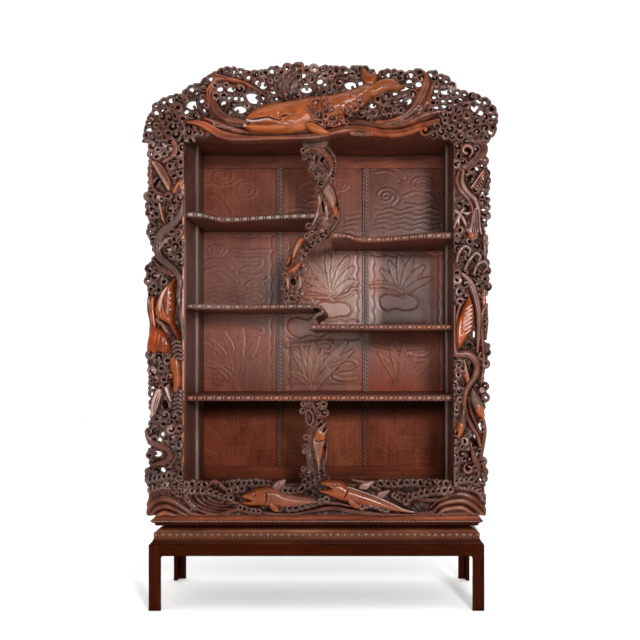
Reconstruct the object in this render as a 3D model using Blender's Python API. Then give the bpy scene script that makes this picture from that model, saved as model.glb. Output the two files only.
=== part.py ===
"""Carved display cabinet on a stand: an open case of stepped shelves behind a deeply carved front frame.

Metres, +Z up, front towards -Y, origin at the middle of the footprint on the floor.
The stand is legs, aprons, two mitred mouldings and a waist. The case stands on it on four dowels and lifts off.
"""

import math

import bmesh
import bpy

# ---------------------------------------------------------------- driving dimensions
GAP = 0.0003  # clearance that every fitted face keeps

# stand
STAND_XC = -0.0145
STAND_HALF = 0.6715
STAND_L, STAND_R = STAND_XC - STAND_HALF, STAND_XC + STAND_HALF
STAND_F, STAND_B = -0.2150, 0.2375
LEG_ARM, LEG_T, LEG_TOP = 0.046, 0.015, 0.264
APRON_Z = 0.2190
RAIL_Z0, RAIL_Z1 = 0.2643, 0.3300
WAIST_Z0, WAIST_Z1 = 0.3303, 0.3357
TOP_Z0, TOP_Z1 = 0.3360, 0.3785
RAIL_DEPTH = 0.095
DOWEL_R, DOWEL_Z0, DOWEL_Z1 = 0.0080, 0.3605, 0.4000

# case
CASE_Z = TOP_Z1 + GAP
PLINTH_L, PLINTH_R = -0.690, 0.661
PLINTH_TOP = 0.4397
FLOOR_Z0, FLOOR_Z1 = 0.4400, 0.4620
IN_L, IN_R = -0.5520, 0.5385  # inner faces of the two side panels
SIDE_T = 0.022
CEIL_Z, CASE_TOP = 1.9320, 1.9540
CASE_B = 0.2275
CARVE_F, CARVE_B = -0.1950, -0.1600  # carved front boards
RELIEF_F = -0.2375  # foremost point of the figures
POST_F, POST_B = -0.1597, -0.1200
PANEL_F, PANEL_B = 0.2040, 0.2140
FRAME_F = 0.1950
MUNTIN_F = 0.1880
MUNTINS = ((-0.2190, -0.1910), (0.1715, 0.1995))
RAIL_BOT_TOP, RAIL_TOP_BOT = 0.5200, 1.8750
BATTEN_Y0, BATTEN_Y1, BATTEN_PROUD = 0.0300, 0.0620, 0.0080
SHELF_REAR = 0.1990
HOUSE = 0.006  # depth of the shelf housings in the side panels

SHELF_LOWER = (0.8365, 0.8610)
SHELF_MID_R = (1.1270, 1.1490)
SHELF_MID_L = (1.2120, 1.2340)
SHELF_UP_R = (1.4990, 1.5235)
SHELF_UP_L = (1.5850, 1.6090)
SHELF_FRONT = -0.1580
UPRIGHT_F, UPRIGHT_B = -0.1540, -0.1000

WIDTH_HALF = 0.7210  # half of the crest's full width
TOP_Z = 2.2095

# ---------------------------------------------------------------- scene and materials
for old in list(bpy.data.objects):
    bpy.data.objects.remove(old, do_unlink=True)

COLOURS = {
    "stand_wood": ((0.105, 0.028, 0.012), 0.38),
    "case_wood": ((0.150, 0.042, 0.022), 0.42),
    "panel_wood": ((0.165, 0.050, 0.028), 0.45),
    "carved_wood": ((0.120, 0.045, 0.028), 0.45),
    "figure_wood": ((0.330, 0.088, 0.022), 0.28),
    "peg_wood": ((0.300, 0.170, 0.090), 0.60),
}
MATERIALS = {}
for mat_name, (rgb, rough) in COLOURS.items():
    mat = bpy.data.materials.new(mat_name)
    mat.use_nodes = True
    shader = mat.node_tree.nodes["Principled BSDF"]
    shader.inputs["Base Color"].default_value = (*rgb, 1.0)
    shader.inputs["Roughness"].default_value = rough
    shader.inputs["Metallic"].default_value = 0.0
    MATERIALS[mat_name] = mat

ROOTS = {}
for root_name in ("stand", "case"):
    empty = bpy.data.objects.new(root_name + "_frame", None)
    bpy.context.scene.collection.objects.link(empty)
    ROOTS[root_name] = empty


def add(name, bm, mat, root="case", helper=False):
    bmesh.ops.recalc_face_normals(bm, faces=bm.faces)
    mesh = bpy.data.meshes.new(name)
    bm.to_mesh(mesh)
    bm.free()
    obj = bpy.data.objects.new(name, mesh)
    bpy.context.scene.collection.objects.link(obj)
    if helper:
        obj.hide_render = True
        obj.display_type = "WIRE"
    else:
        mesh.materials.append(MATERIALS[mat])
        obj.parent = ROOTS[root]
    return obj


def loft(name, sections, mat, root="case", helper=False):
    """Closed solid through rings of equal point count, capped at both ends."""
    bm = bmesh.new()
    rings = [[bm.verts.new(p) for p in ring] for ring in sections]
    n = len(rings[0])
    for a, b in zip(rings, rings[1:]):
        for i in range(n):
            j = (i + 1) % n
            bm.faces.new((a[i], a[j], b[j], b[i]))
    bm.faces.new(list(reversed(rings[0])))
    bm.faces.new(rings[-1])
    return add(name, bm, mat, root, helper)


def prism_y(name, xz, y0, y1, mat, root="case"):
    return loft(name, [[(x, y, z) for x, z in xz] for y in (y0, y1)], mat, root)


def prism_z(name, xy, z0, z1, mat, root="case"):
    return loft(name, [[(x, y, z) for x, y in xy] for z in (z0, z1)], mat, root)


def prism_x(name, yz, x0, x1, mat, root="case"):
    return loft(name, [[(x, y, z) for y, z in yz] for x in (x0, x1)], mat, root)


def box(name, x, y, z, mat, root="case", helper=False):
    ring = [(x[0], y[0]), (x[1], y[0]), (x[1], y[1]), (x[0], y[1])]
    return loft(name, [[(a, b, c) for a, b in ring] for c in z], mat, root, helper)


def cylinder(name, cx, cy, r, z0, z1, mat, root="case", helper=False, sides=16):
    ring = [(cx + r * math.cos(2 * math.pi * i / sides), cy + r * math.sin(2 * math.pi * i / sides)) for i in range(sides)]
    return loft(name, [[(a, b, c) for a, b in ring] for c in (z0, z1)], mat, root, helper)


def boolean(obj, other, operation):
    mod = obj.modifiers.new(operation.lower() + "_" + other.name, "BOOLEAN")
    mod.operation = operation
    mod.solver = "EXACT"
    mod.object = other


def smooth(points, steps=4):
    """Catmull-Rom through the points, so that an outline given by a few of them runs evenly."""
    out = []
    for i in range(len(points) - 1):
        p0 = points[max(i - 1, 0)]
        p1, p2 = points[i], points[i + 1]
        p3 = points[min(i + 2, len(points) - 1)]
        for s in range(steps):
            t = s / steps
            out.append(tuple(0.5 * (2 * b + (c - a) * t + (2 * a - 5 * b + 4 * c - d) * t * t + (3 * b - a - 3 * c + d) * t ** 3) for a, b, c, d in zip(p0, p1, p2, p3)))
    out.append(points[-1])
    return out


# ---------------------------------------------------------------- stand: legs and aprons
def leg(name, cx, cy, sx, sy):
    """Angle-section leg; (cx, cy) is its outer corner and sx, sy point inwards."""
    ring = [(0, 0), (LEG_ARM, 0), (LEG_ARM, LEG_T), (LEG_T, LEG_T), (LEG_T, LEG_ARM), (0, LEG_ARM)]
    obj = prism_z(name, [(cx + sx * a, cy + sy * b) for a, b in ring], 0.0, LEG_TOP, "stand_wood", "stand")
    # mortises for the stub tenons of the two aprons
    for k, (along_x) in enumerate((True, False)):
        if along_x:
            xs = sorted((cx + sx * (LEG_ARM - 0.0085), cx + sx * (LEG_ARM + 0.004)))
            ys = sorted((cy + sy * 0.0042, cy + sy * 0.0108))
        else:
            xs = sorted((cx + sx * 0.0042, cx + sx * 0.0108))
            ys = sorted((cy + sy * (LEG_ARM - 0.0085), cy + sy * (LEG_ARM + 0.004)))
        cutter = box(f"mortise_{name}_{k}", xs, ys, (0.2317, 0.2533), None, helper=True)
        boolean(obj, cutter, "DIFFERENCE")
    return obj


leg("leg_front_left", STAND_L, STAND_F, 1, 1)
leg("leg_front_right", STAND_R, STAND_F, -1, 1)
leg("leg_rear_left", STAND_L, STAND_B, 1, -1)
leg("leg_rear_right", STAND_R, STAND_B, -1, -1)


def apron(name, lo, hi, face, inward, along_x):
    """Apron between two legs, with a small rounded bracket under each end and a stub tenon into each leg."""
    r, n = 0.012, 5
    a, b = lo + GAP, hi - GAP
    outline = [(a, LEG_TOP), (a, APRON_Z - r)]
    outline += [(a + r * (1 - math.cos(math.pi / 2 * i / n)), APRON_Z - r * (1 - math.sin(math.pi / 2 * i / n))) for i in range(1, n + 1)]
    mirrored = [(a + b - u, v) for u, v in reversed(outline)]
    outline = outline + mirrored
    t0, t1 = face + inward * 0.001, face + inward * (LEG_T - 0.001)
    make = prism_y if along_x else prism_x
    obj = make(name, outline, min(t0, t1), max(t0, t1), "stand_wood", "stand")
    m0, m1 = sorted((face + inward * 0.0045, face + inward * 0.0105))
    for k, (u0, u1) in enumerate(((a - 0.0078, a + 0.004), (b - 0.004, b + 0.0078))):
        span = ((u0, u1), (m0, m1)) if along_x else ((m0, m1), (u0, u1))
        tenon = box(f"tenon_{name}_{k}", span[0], span[1], (0.2320, 0.2530), None, helper=True)
        boolean(obj, tenon, "UNION")
    return obj


apron("apron_front", STAND_L + LEG_ARM, STAND_R - LEG_ARM, STAND_F, 1, True)
apron("apron_rear", STAND_L + LEG_ARM, STAND_R - LEG_ARM, STAND_B, -1, True)
apron("apron_left", STAND_F + LEG_ARM, STAND_B - LEG_ARM, STAND_L, 1, False)
apron("apron_right", STAND_F + LEG_ARM, STAND_B - LEG_ARM, STAND_R, -1, False)

# ---------------------------------------------------------------- stand: mitred mouldings
# (inset from the legs' outer plane, height), from the outer foot up and round the inner side
RAIL_PROFILE = [
    (0.0060, RAIL_Z0), (0.0060, 0.2705), (0.0110, 0.2718), (0.0110, 0.2780), (0.0145, 0.2795), (0.0145, 0.2848),
    (0.0165, 0.2866), (0.0165, 0.3088), (0.0195, 0.3110), (0.0270, 0.3175), (0.0370, 0.3240), (0.0500, RAIL_Z1),
    (RAIL_DEPTH, RAIL_Z1), (RAIL_DEPTH, RAIL_Z0),
]
WAIST_OUT, WAIST_IN = 0.0520, 0.0800
TOP_PROFILE = [
    (0.0240, TOP_Z0), (0.0200, 0.3395), (0.0200, 0.3450), (0.0165, 0.3470), (0.0090, 0.3535), (0.0065, 0.3570),
    (0.0085, 0.3605), (0.0130, 0.3650), (0.0190, 0.3720), (0.0240, TOP_Z1),
    (RAIL_DEPTH, TOP_Z1), (RAIL_DEPTH, 0.3643), (RAIL_DEPTH - 0.008, 0.3643), (RAIL_DEPTH - 0.008, 0.3537),
    (RAIL_DEPTH, 0.3537), (RAIL_DEPTH, TOP_Z0),
]


def mitred(prefix, profile):
    """Four rails of one profile, mitred at the corners, each end held back half a gap."""
    e = GAP / math.sqrt(2)
    made = []
    for side in ("front", "rear", "left", "right"):
        ends = []
        for end in (0, 1):
            ring = []
            for o, z in profile:
                d = o + e
                if side in ("front", "rear"):
                    x = STAND_L + d if end == 0 else STAND_R - d
                    y = STAND_F + o if side == "front" else STAND_B - o
                else:
                    y = STAND_F + d if end == 0 else STAND_B - d
                    x = STAND_L + o if side == "left" else STAND_R - o
                ring.append((x, y, z))
            ends.append(ring)
        made.append(loft(f"{prefix}_{side}", ends, "stand_wood", "stand"))
    return made


mitred("stand_rail", RAIL_PROFILE)
mitred("stand_top_moulding", TOP_PROFILE)
waist = box("waist", (STAND_L + WAIST_OUT, STAND_R - WAIST_OUT), (STAND_F + WAIST_OUT, STAND_B - WAIST_OUT), (WAIST_Z0, WAIST_Z1), "stand_wood", "stand")
waist_open = box("waist_open", (STAND_L + WAIST_IN, STAND_R - WAIST_IN), (STAND_F + WAIST_IN, STAND_B - WAIST_IN), (WAIST_Z0 - 0.01, WAIST_Z1 + 0.01), None, helper=True)
boolean(waist, waist_open, "DIFFERENCE")
inset = RAIL_DEPTH - 0.008 + GAP
box("stand_top_panel", (STAND_L + inset, STAND_R - inset), (STAND_F + inset, STAND_B - inset), (0.3540, 0.3640), "stand_wood", "stand")

# ---------------------------------------------------------------- dowels between stand and case
DOWELS = {
    "dowel_front_left": (-0.6450, -0.1350), "dowel_front_right": (0.6160, -0.1350),
    "dowel_rear_left": (-0.6450, 0.1700), "dowel_rear_right": (0.6160, 0.1700),
}
for dowel_name, (px, py) in DOWELS.items():
    cylinder(dowel_name, px, py, DOWEL_R, DOWEL_Z0, DOWEL_Z1, "peg_wood", "stand")
    hole = cylinder("hole_" + dowel_name, px, py, DOWEL_R + GAP, DOWEL_Z0 - GAP, TOP_Z1 + 0.01, None, helper=True)
    rail = bpy.data.objects["stand_top_moulding_left" if px < 0 else "stand_top_moulding_right"]
    boolean(rail, hole, "DIFFERENCE")

# ---------------------------------------------------------------- case: plinth and floor
plinth = {
    "left": box("plinth_side_left", (PLINTH_L, PLINTH_L + 0.070), (CARVE_B + GAP, CASE_B), (CASE_Z, PLINTH_TOP), "case_wood"),
    "right": box("plinth_side_right", (PLINTH_R - 0.070, PLINTH_R), (CARVE_B + GAP, CASE_B), (CASE_Z, PLINTH_TOP), "case_wood"),
}
for dowel_name, (px, py) in DOWELS.items():
    hole = cylinder("seat_" + dowel_name, px, py, DOWEL_R + 0.0005, CASE_Z - 0.01, DOWEL_Z1 + 0.002, None, helper=True)
    boolean(plinth["left" if px < 0 else "right"], hole, "DIFFERENCE")
box("plinth_rear", (PLINTH_L + 0.070 + GAP, PLINTH_R - 0.070 - GAP), (CASE_B - 0.030, CASE_B), (CASE_Z, PLINTH_TOP), "case_wood")
box("floor_board", (PLINTH_L, PLINTH_R), (CARVE_B + GAP, CASE_B), (FLOOR_Z0, FLOOR_Z1), "case_wood")

# ---------------------------------------------------------------- case: sides, posts, battens, top
SIDE_Z = (FLOOR_Z1 + GAP, CEIL_Z - GAP)
for side, inner, out in (("left", IN_L, -1), ("right", IN_R, 1)):
    xs = sorted((inner, inner + out * SIDE_T))
    panel = box(f"side_panel_{side}", xs, (POST_B + GAP, CASE_B), SIDE_Z, "case_wood")
    levels = (SHELF_LOWER, SHELF_MID_L, SHELF_UP_L) if side == "left" else (SHELF_LOWER, SHELF_MID_R, SHELF_UP_R)
    cut_x = sorted((inner - out * 0.004, inner + out * (HOUSE + GAP)))
    for k, (z0, z1) in enumerate(levels):
        housing = box(f"housing_{side}_{k}", cut_x, (POST_B - 0.01, SHELF_REAR + GAP), (z0 - GAP, z1 + GAP), None, helper=True)
        boolean(panel, housing, "DIFFERENCE")
    groove_x = sorted((inner - out * 0.004, inner + out * (0.008 + GAP)))
    groove = box(f"groove_{side}", groove_x, (PANEL_F - GAP, PANEL_B + GAP), (RAIL_BOT_TOP - 0.009, RAIL_TOP_BOT + 0.009), None, helper=True)
    boolean(panel, groove, "DIFFERENCE")
    post_x = sorted((inner, inner + out * 0.032))
    box(f"front_post_{side}", post_x, (POST_F, POST_B), SIDE_Z, "case_wood")
    batten_x = sorted((inner - out * GAP, inner - out * (GAP + BATTEN_PROUD)))
    batten = box(f"side_batten_{side}", batten_x, (BATTEN_Y0, BATTEN_Y1), SIDE_Z, "case_wood")
box("top_board", (IN_L - 0.045, IN_R + 0.045), (CARVE_B + GAP, CASE_B), (CEIL_Z, CASE_TOP), "case_wood")

# ---------------------------------------------------------------- case: framed back
def frame_section(lo, hi, groove_lo, groove_hi, front, back):
    """Section of a back member across its width, with a groove for the panel on the sides asked for."""
    g, p0, p1 = 0.008 + GAP, PANEL_F - GAP, PANEL_B + GAP
    ring = [(lo, front), (hi, front)]
    if groove_hi:
        ring += [(hi, p0), (hi - g, p0), (hi - g, p1), (hi, p1)]
    ring += [(hi, back), (lo, back)]
    if groove_lo:
        ring += [(lo, p1), (lo + g, p1), (lo + g, p0), (lo, p0)]
    return ring


back_x = (IN_L + GAP, IN_R - GAP)
sec = frame_section(FLOOR_Z1 + GAP, RAIL_BOT_TOP, False, True, FRAME_F, CASE_B)
prism_x("back_rail_bottom", [(y, z) for z, y in sec], *back_x, "case_wood")
sec = frame_section(RAIL_TOP_BOT, CEIL_Z - GAP, True, False, FRAME_F, CASE_B)
prism_x("back_rail_top", [(y, z) for z, y in sec], *back_x, "case_wood")
for side, (x0, x1) in zip(("left", "right"), MUNTINS):
    prism_z(f"back_muntin_{side}", frame_section(x0, x1, True, True, MUNTIN_F, CASE_B), RAIL_BOT_TOP + GAP, RAIL_TOP_BOT - GAP, "case_wood")
panel_z = (RAIL_BOT_TOP - 0.0077, RAIL_TOP_BOT + 0.0077)
spans = ((IN_L - 0.0077, MUNTINS[0][0] + 0.0077), (MUNTINS[0][1] - 0.0077, MUNTINS[1][0] + 0.0077), (MUNTINS[1][1] - 0.0077, IN_R + 0.0077))
for side, xs in zip(("left", "centre", "right"), spans):
    box(f"back_panel_{side}", xs, (PANEL_F, PANEL_B), panel_z, "panel_wood")

# ---------------------------------------------------------------- shelves
def shelf(name, x0, x1, levels, front, left_wall, right_wall):
    """Shelf with a shaped front edge, housed in a side panel and scribed round the batten and the muntins."""
    lo, hi = x0, x1
    ring = list(front)
    if right_wall:
        e = IN_R - GAP
        t, b = IN_R + HOUSE, IN_R - GAP - BATTEN_PROUD - GAP
        ring += [(e, POST_B + 2 * GAP), (t, POST_B + 2 * GAP), (t, BATTEN_Y0 - GAP), (b, BATTEN_Y0 - GAP), (b, BATTEN_Y1 + GAP), (t, BATTEN_Y1 + GAP), (t, SHELF_REAR)]
    else:
        ring += [(hi, SHELF_REAR)]
    for m0, m1 in reversed(MUNTINS):
        if lo < m0 and m1 < hi:
            ring += [(m1 + GAP, SHELF_REAR), (m1 + GAP, MUNTIN_F - GAP), (m0 - GAP, MUNTIN_F - GAP), (m0 - GAP, SHELF_REAR)]
    if left_wall:
        e = IN_L + GAP
        t, b = IN_L - HOUSE, IN_L + GAP + BATTEN_PROUD + GAP
        ring += [(t, SHELF_REAR), (t, BATTEN_Y1 + GAP), (b, BATTEN_Y1 + GAP), (b, BATTEN_Y0 - GAP), (t, BATTEN_Y0 - GAP), (t, POST_B + 2 * GAP), (e, POST_B + 2 * GAP)]
    else:
        ring += [(lo, SHELF_REAR)]
    return prism_z(name, ring, levels[0], levels[1], "case_wood")


E_L, E_R = IN_L + GAP, IN_R - GAP
SH_UP_L_END, SH_MID_L_END = -0.0180, -0.0300
SH_UP_R_START, SH_MID_R_START = 0.0400, -0.0480

shelf("shelf_lower", IN_L, IN_R, SHELF_LOWER, [(E_L, SHELF_FRONT), (E_R, SHELF_FRONT)], True, True)
shelf("shelf_middle_right", SH_MID_R_START, IN_R, SHELF_MID_R, [(SH_MID_R_START, SHELF_FRONT), (E_R, SHELF_FRONT)], False, True)
shelf("shelf_middle_left", IN_L, SH_MID_L_END, SHELF_MID_L,
      smooth([(E_L, SHELF_FRONT), (-0.510, -0.156), (-0.455, -0.136), (-0.385, -0.118), (-0.300, -0.116), (-0.215, -0.128), (-0.130, -0.148), (-0.075, -0.157), (SH_MID_L_END, SHELF_FRONT)], 2),
      True, False)
shelf("shelf_upper_left", IN_L, SH_UP_L_END, SHELF_UP_L,
      smooth([(E_L, SHELF_FRONT), (-0.520, -0.156), (-0.487, -0.138), (-0.462, -0.096), (-0.436, -0.056), (-0.395, -0.045), (-0.340, -0.054), (-0.260, -0.082), (-0.180, -0.104), (-0.100, -0.122), (SH_UP_L_END, -0.130)], 2),
      True, False)
shelf("shelf_upper_right", SH_UP_R_START, IN_R, SHELF_UP_R,
      smooth([(SH_UP_R_START, SHELF_FRONT), (0.085, -0.156), (0.112, -0.134), (0.132, -0.086), (0.160, -0.060), (0.215, -0.053), (0.275, -0.062), (0.335, -0.094), (0.395, -0.132), (0.450, -0.154), (E_R, SHELF_FRONT)], 2),
      False, True)

# S-shaped riser that joins the two middle shelves
riser_line = smooth([(SH_MID_L_END + GAP, 1.2232), (-0.0120, 1.2230), (0.0030, 1.2160), (0.0080, 1.2050), (0.0010, 1.1950), (-0.0150, 1.1870), (-0.0260, 1.1780), (-0.0290, 1.1665), (-0.0230, 1.1570)], 3)
half = 0.0072
left_edge, right_edge = [], []
for i, (x, z) in enumerate(riser_line):
    a, b = riser_line[max(i - 1, 0)], riser_line[min(i + 1, len(riser_line) - 1)]
    tx, tz = b[0] - a[0], b[1] - a[1]
    ln = math.hypot(tx, tz)
    nx, nz = -tz / ln * half, tx / ln * half
    left_edge.append((max(x + nx, SH_MID_L_END + GAP), z + nz))
    right_edge.append((max(x - nx, SH_MID_L_END + GAP) if i < 2 else x - nx, z - nz))
foot = SHELF_MID_R[1] + GAP
riser = left_edge + [(-0.0130, foot)] + [(-0.0340, foot)] + list(reversed(right_edge))
prism_y("shelf_riser", riser, SHELF_FRONT + 0.001, SHELF_REAR - 0.004, "case_wood")

# ---------------------------------------------------------------- carved uprights between the shelves
upper = smooth([(-0.070, 1.8700), (-0.058, 1.8200), (-0.040, 1.7850), (-0.018, 1.7350), (-0.010, 1.6850), (-0.0170, 1.6200), (-0.0170, 1.5800), (-0.046, 1.5600), (-0.080, 1.5200), (-0.130, 1.4250), (-0.148, 1.3500), (-0.152, 1.2700), (-0.150, SHELF_MID_L[1] + GAP)], 2)
lower_side = smooth([(-0.084, SHELF_MID_L[1] + GAP), (-0.082, 1.3000), (-0.076, 1.3800), (-0.036, 1.4600), (0.022, 1.4950), (0.0390, 1.5100), (0.0390, 1.5300), (0.064, 1.5800), (0.074, 1.6500), (0.058, 1.7300), (0.046, 1.8000), (0.034, 1.8500), (0.020, 1.8700)], 2)
prism_y("upright_upper", upper + lower_side, UPRIGHT_F, UPRIGHT_B, "carved_wood")
prism_y("upright_capital", [(-0.078, CEIL_Z - GAP), (-0.078, 1.8860), (-0.066, 1.8703), (0.018, 1.8703), (0.030, 1.8860), (0.030, CEIL_Z - GAP)], UPRIGHT_F, UPRIGHT_B, "case_wood")
lower_l = smooth([(-0.080, SHELF_LOWER[0] - GAP), (-0.072, 0.7800), (-0.066, 0.7000), (-0.070, 0.6200), (-0.074, 0.5400), (-0.078, FLOOR_Z1 + GAP)], 2)
lower_r = smooth([(0.024, FLOOR_Z1 + GAP), (0.020, 0.5400), (0.022, 0.6200), (0.018, 0.7000), (0.024, 0.7800), (0.028, SHELF_LOWER[0] - GAP)], 2)
prism_y("upright_lower", lower_l + lower_r, UPRIGHT_F, UPRIGHT_B, "carved_wood")

# ---------------------------------------------------------------- carved front frame
W = WIDTH_HALF
CREST_FOOT = 1.8800
crest_top = smooth([
    (-0.7000, CREST_FOOT + 0.006), (-0.7150, 1.9000), (-W, 1.9250), (-0.7120, 1.9650), (-0.6800, 2.0150), (-0.6350, 2.0600), (-0.5700, 2.0850),
    (-0.5150, 2.1150), (-0.4650, 2.1500), (-0.4250, 2.1800), (-0.3750, 2.1920), (-0.3050, 2.1780), (-0.2500, 2.1760), (-0.1900, 2.1980),
    (-0.1450, 2.1780), (-0.0900, TOP_Z), (-0.0500, 2.1800), (0.0150, 2.2000), (0.0700, 2.1820), (0.1500, 2.1980), (0.2250, 2.1740),
    (0.3000, 2.1820), (0.3700, 2.1860), (0.4300, 2.1760), (0.4900, 2.1650), (0.5400, 2.1250), (0.6000, 2.0980), (0.6650, 2.0720),
    (0.7050, 2.0250), (W, 1.9750), (0.7180, 1.9350), (0.7050, 1.9000), (0.6900, CREST_FOOT + 0.006),
], 2)
crest_foot = [
    (0.6880, CREST_FOOT), (IN_R + 0.002, CREST_FOOT), (0.480, 1.9080), (0.420, 1.8880), (0.320, 1.8820), (0.190, 1.9000), (0.080, 1.8860),
    (-0.080, 1.8800), (-0.300, 1.8830), (-0.430, 1.8900), (IN_L - 0.002, 1.8900), (IN_L - 0.004, CREST_FOOT), (-0.6980, CREST_FOOT),
]
prism_y("crest_board", crest_top + crest_foot, CARVE_F, CARVE_B, "carved_wood")

PIL_Z0, PIL_Z1 = 0.4963, CREST_FOOT - GAP
n = 14
left_out = [(-0.6950 - 0.008 * math.sin(i * 1.9), PIL_Z0 + (PIL_Z1 - PIL_Z0) * i / n) for i in range(n + 1)]
prism_y("pilaster_left", left_out + [(IN_L, PIL_Z1), (IN_L, PIL_Z0)], CARVE_F, CARVE_B, "carved_wood")
right_out = [(0.6700 + 0.008 * math.sin(i * 1.7 + 0.6), PIL_Z0 + (PIL_Z1 - PIL_Z0) * i / n) for i in range(n + 1)]
prism_y("pilaster_right", [(IN_R, PIL_Z0), (IN_R, PIL_Z1)] + list(reversed(right_out)), CARVE_F, CARVE_B, "carved_wood")

base_l, base_r = -0.6900, 0.6610
base_top = [
    (base_l, 0.4860), (base_l + 0.012, 0.4960), (IN_L + GAP, 0.4960), (IN_L + GAP, 0.5150), (-0.480, 0.5260), (-0.400, 0.5160), (-0.300, 0.5260),
    (-0.200, 0.5180), (-0.080, 0.5180), (-0.010, 0.5280), (0.080, 0.5180), (0.220, 0.5240), (0.360, 0.5180), (0.470, 0.5260), (IN_R - GAP, 0.5150),
    (IN_R - GAP, 0.4960), (base_r - 0.012, 0.4960), (base_r, 0.4860),
]
prism_y("base_carving", base_top + [(base_r, CASE_Z), (base_l, CASE_Z)], CARVE_F, CARVE_B, "carved_wood")

# ---------------------------------------------------------------- figures applied to the front frame
def figure(name, spine, front=RELIEF_F, back=CARVE_F - GAP):
    """Half-round figure on a flat back; spine gives (x, z, half height, share of the full relief)."""
    sections = []
    for i, (x, z, h, share) in enumerate(spine):
        a, b = spine[max(i - 1, 0)], spine[min(i + 1, len(spine) - 1)]
        tx, tz = b[0] - a[0], b[1] - a[1]
        ln = math.hypot(tx, tz)
        nx, nz = -tz / ln, tx / ln
        ring = []
        for k in range(9):
            a_ = math.pi * k / 8
            c, s = math.cos(a_), math.sin(a_)
            ring.append((x + nx * h * c, back - (back - front) * share * s, z + nz * h * c))
        sections.append(ring)
    return loft(name, sections, "figure_wood")


figure("crest_whale", [
    (-0.301, 1.9640, 0.010, 0.45), (-0.285, 1.9660, 0.024, 0.70), (-0.240, 1.9720, 0.040, 0.90), (-0.180, 1.9820, 0.056, 1.00), (-0.100, 1.9880, 0.066, 1.00),
    (0.000, 1.9960, 0.070, 0.95), (0.090, 2.0120, 0.062, 0.85), (0.170, 2.0380, 0.046, 0.70), (0.230, 2.0720, 0.032, 0.55), (0.280, 2.1080, 0.026, 0.45), (0.320, 2.1200, 0.030, 0.35), (0.345, 2.1120, 0.012, 0.25),
])
figure("base_fish_left", [
    (-0.318, 0.4760, 0.007, 0.50), (-0.295, 0.4750, 0.018, 0.75), (-0.250, 0.4720, 0.030, 0.95), (-0.190, 0.4700, 0.036, 1.00),
    (-0.120, 0.4660, 0.033, 0.90), (-0.050, 0.4560, 0.026, 0.70), (0.000, 0.4440, 0.018, 0.45), (0.020, 0.4380, 0.009, 0.30),
])
figure("base_fish_right", [
    (-0.004, 0.4930, 0.007, 0.50), (0.020, 0.4880, 0.018, 0.75), (0.060, 0.4800, 0.030, 0.95), (0.120, 0.4640, 0.034, 1.00),
    (0.180, 0.4500, 0.030, 0.90), (0.240, 0.4300, 0.020, 0.70), (0.300, 0.4120, 0.012, 0.50), (0.340, 0.4040, 0.010, 0.35), (0.400, 0.4020, 0.007, 0.20),
])
figure("pilaster_dolphin_left", [
    (-0.578, 1.3150, 0.005, 0.50), (-0.582, 1.2900, 0.016, 0.75), (-0.592, 1.2500, 0.026, 1.00), (-0.604, 1.2000, 0.030, 1.00),
    (-0.622, 1.1500, 0.030, 0.90), (-0.646, 1.1000, 0.028, 0.70), (-0.662, 1.0700, 0.020, 0.45), (-0.672, 1.0500, 0.010, 0.25),
])
figure("pilaster_fish_right", [
    (0.590, 1.0900, 0.005, 0.45), (0.592, 1.1100, 0.014, 0.70), (0.596, 1.1500, 0.024, 1.00), (0.604, 1.2000, 0.027, 1.00),
    (0.612, 1.2500, 0.022, 0.85), (0.618, 1.3000, 0.015, 0.60), (0.620, 1.3400, 0.008, 0.35),
])
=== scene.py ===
import math

import bpy
import numpy as np
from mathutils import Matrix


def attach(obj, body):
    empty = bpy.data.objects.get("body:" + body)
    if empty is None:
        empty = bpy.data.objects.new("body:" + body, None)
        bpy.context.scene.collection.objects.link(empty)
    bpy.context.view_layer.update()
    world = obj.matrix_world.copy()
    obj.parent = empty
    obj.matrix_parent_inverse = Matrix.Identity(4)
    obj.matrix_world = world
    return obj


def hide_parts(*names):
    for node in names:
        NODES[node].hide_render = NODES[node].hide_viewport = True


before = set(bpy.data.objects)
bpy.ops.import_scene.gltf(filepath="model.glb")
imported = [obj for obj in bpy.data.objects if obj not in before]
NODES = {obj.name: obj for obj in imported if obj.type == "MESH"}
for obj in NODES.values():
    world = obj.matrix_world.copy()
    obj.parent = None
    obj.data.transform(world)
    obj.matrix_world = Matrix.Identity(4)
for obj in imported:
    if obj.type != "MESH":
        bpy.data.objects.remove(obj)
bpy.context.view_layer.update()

# ---------------------------------------------------------------- view
# The front of the cabinet is square to the view. A point of the picture plane, counted in 640 units across,
# maps to X and Z at a given depth Y by one-point perspective.
EYE = (0.1595, -3.215, 1.016)
AXIS_U, AXIS_V = 360.0, 357.0


def scale_at(y):
    return 0.004 * (1 + (y + 0.215) / 3.0)


def at(u, v, y):
    s = scale_at(y)
    return EYE[0] + (u - AXIS_U) * s, EYE[2] - (v - AXIS_V) * s


cam_data = bpy.data.cameras.new("camera")
cam_data.sensor_width = 36.0
cam_data.lens = 36.0 * 3.0 / 2.56
cam_data.shift_x = -0.0625
cam_data.shift_y = 0.0578
camera = bpy.data.objects.new("camera", cam_data)
camera.location = EYE
camera.rotation_euler = (math.pi / 2, 0, 0)
bpy.context.scene.collection.objects.link(camera)
bpy.context.scene.camera = camera

# ---------------------------------------------------------------- small geometry helpers
FOAM, WAVE, FIGURE, PALE, DEEP = 1, 2, 3, 4, 5


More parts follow.
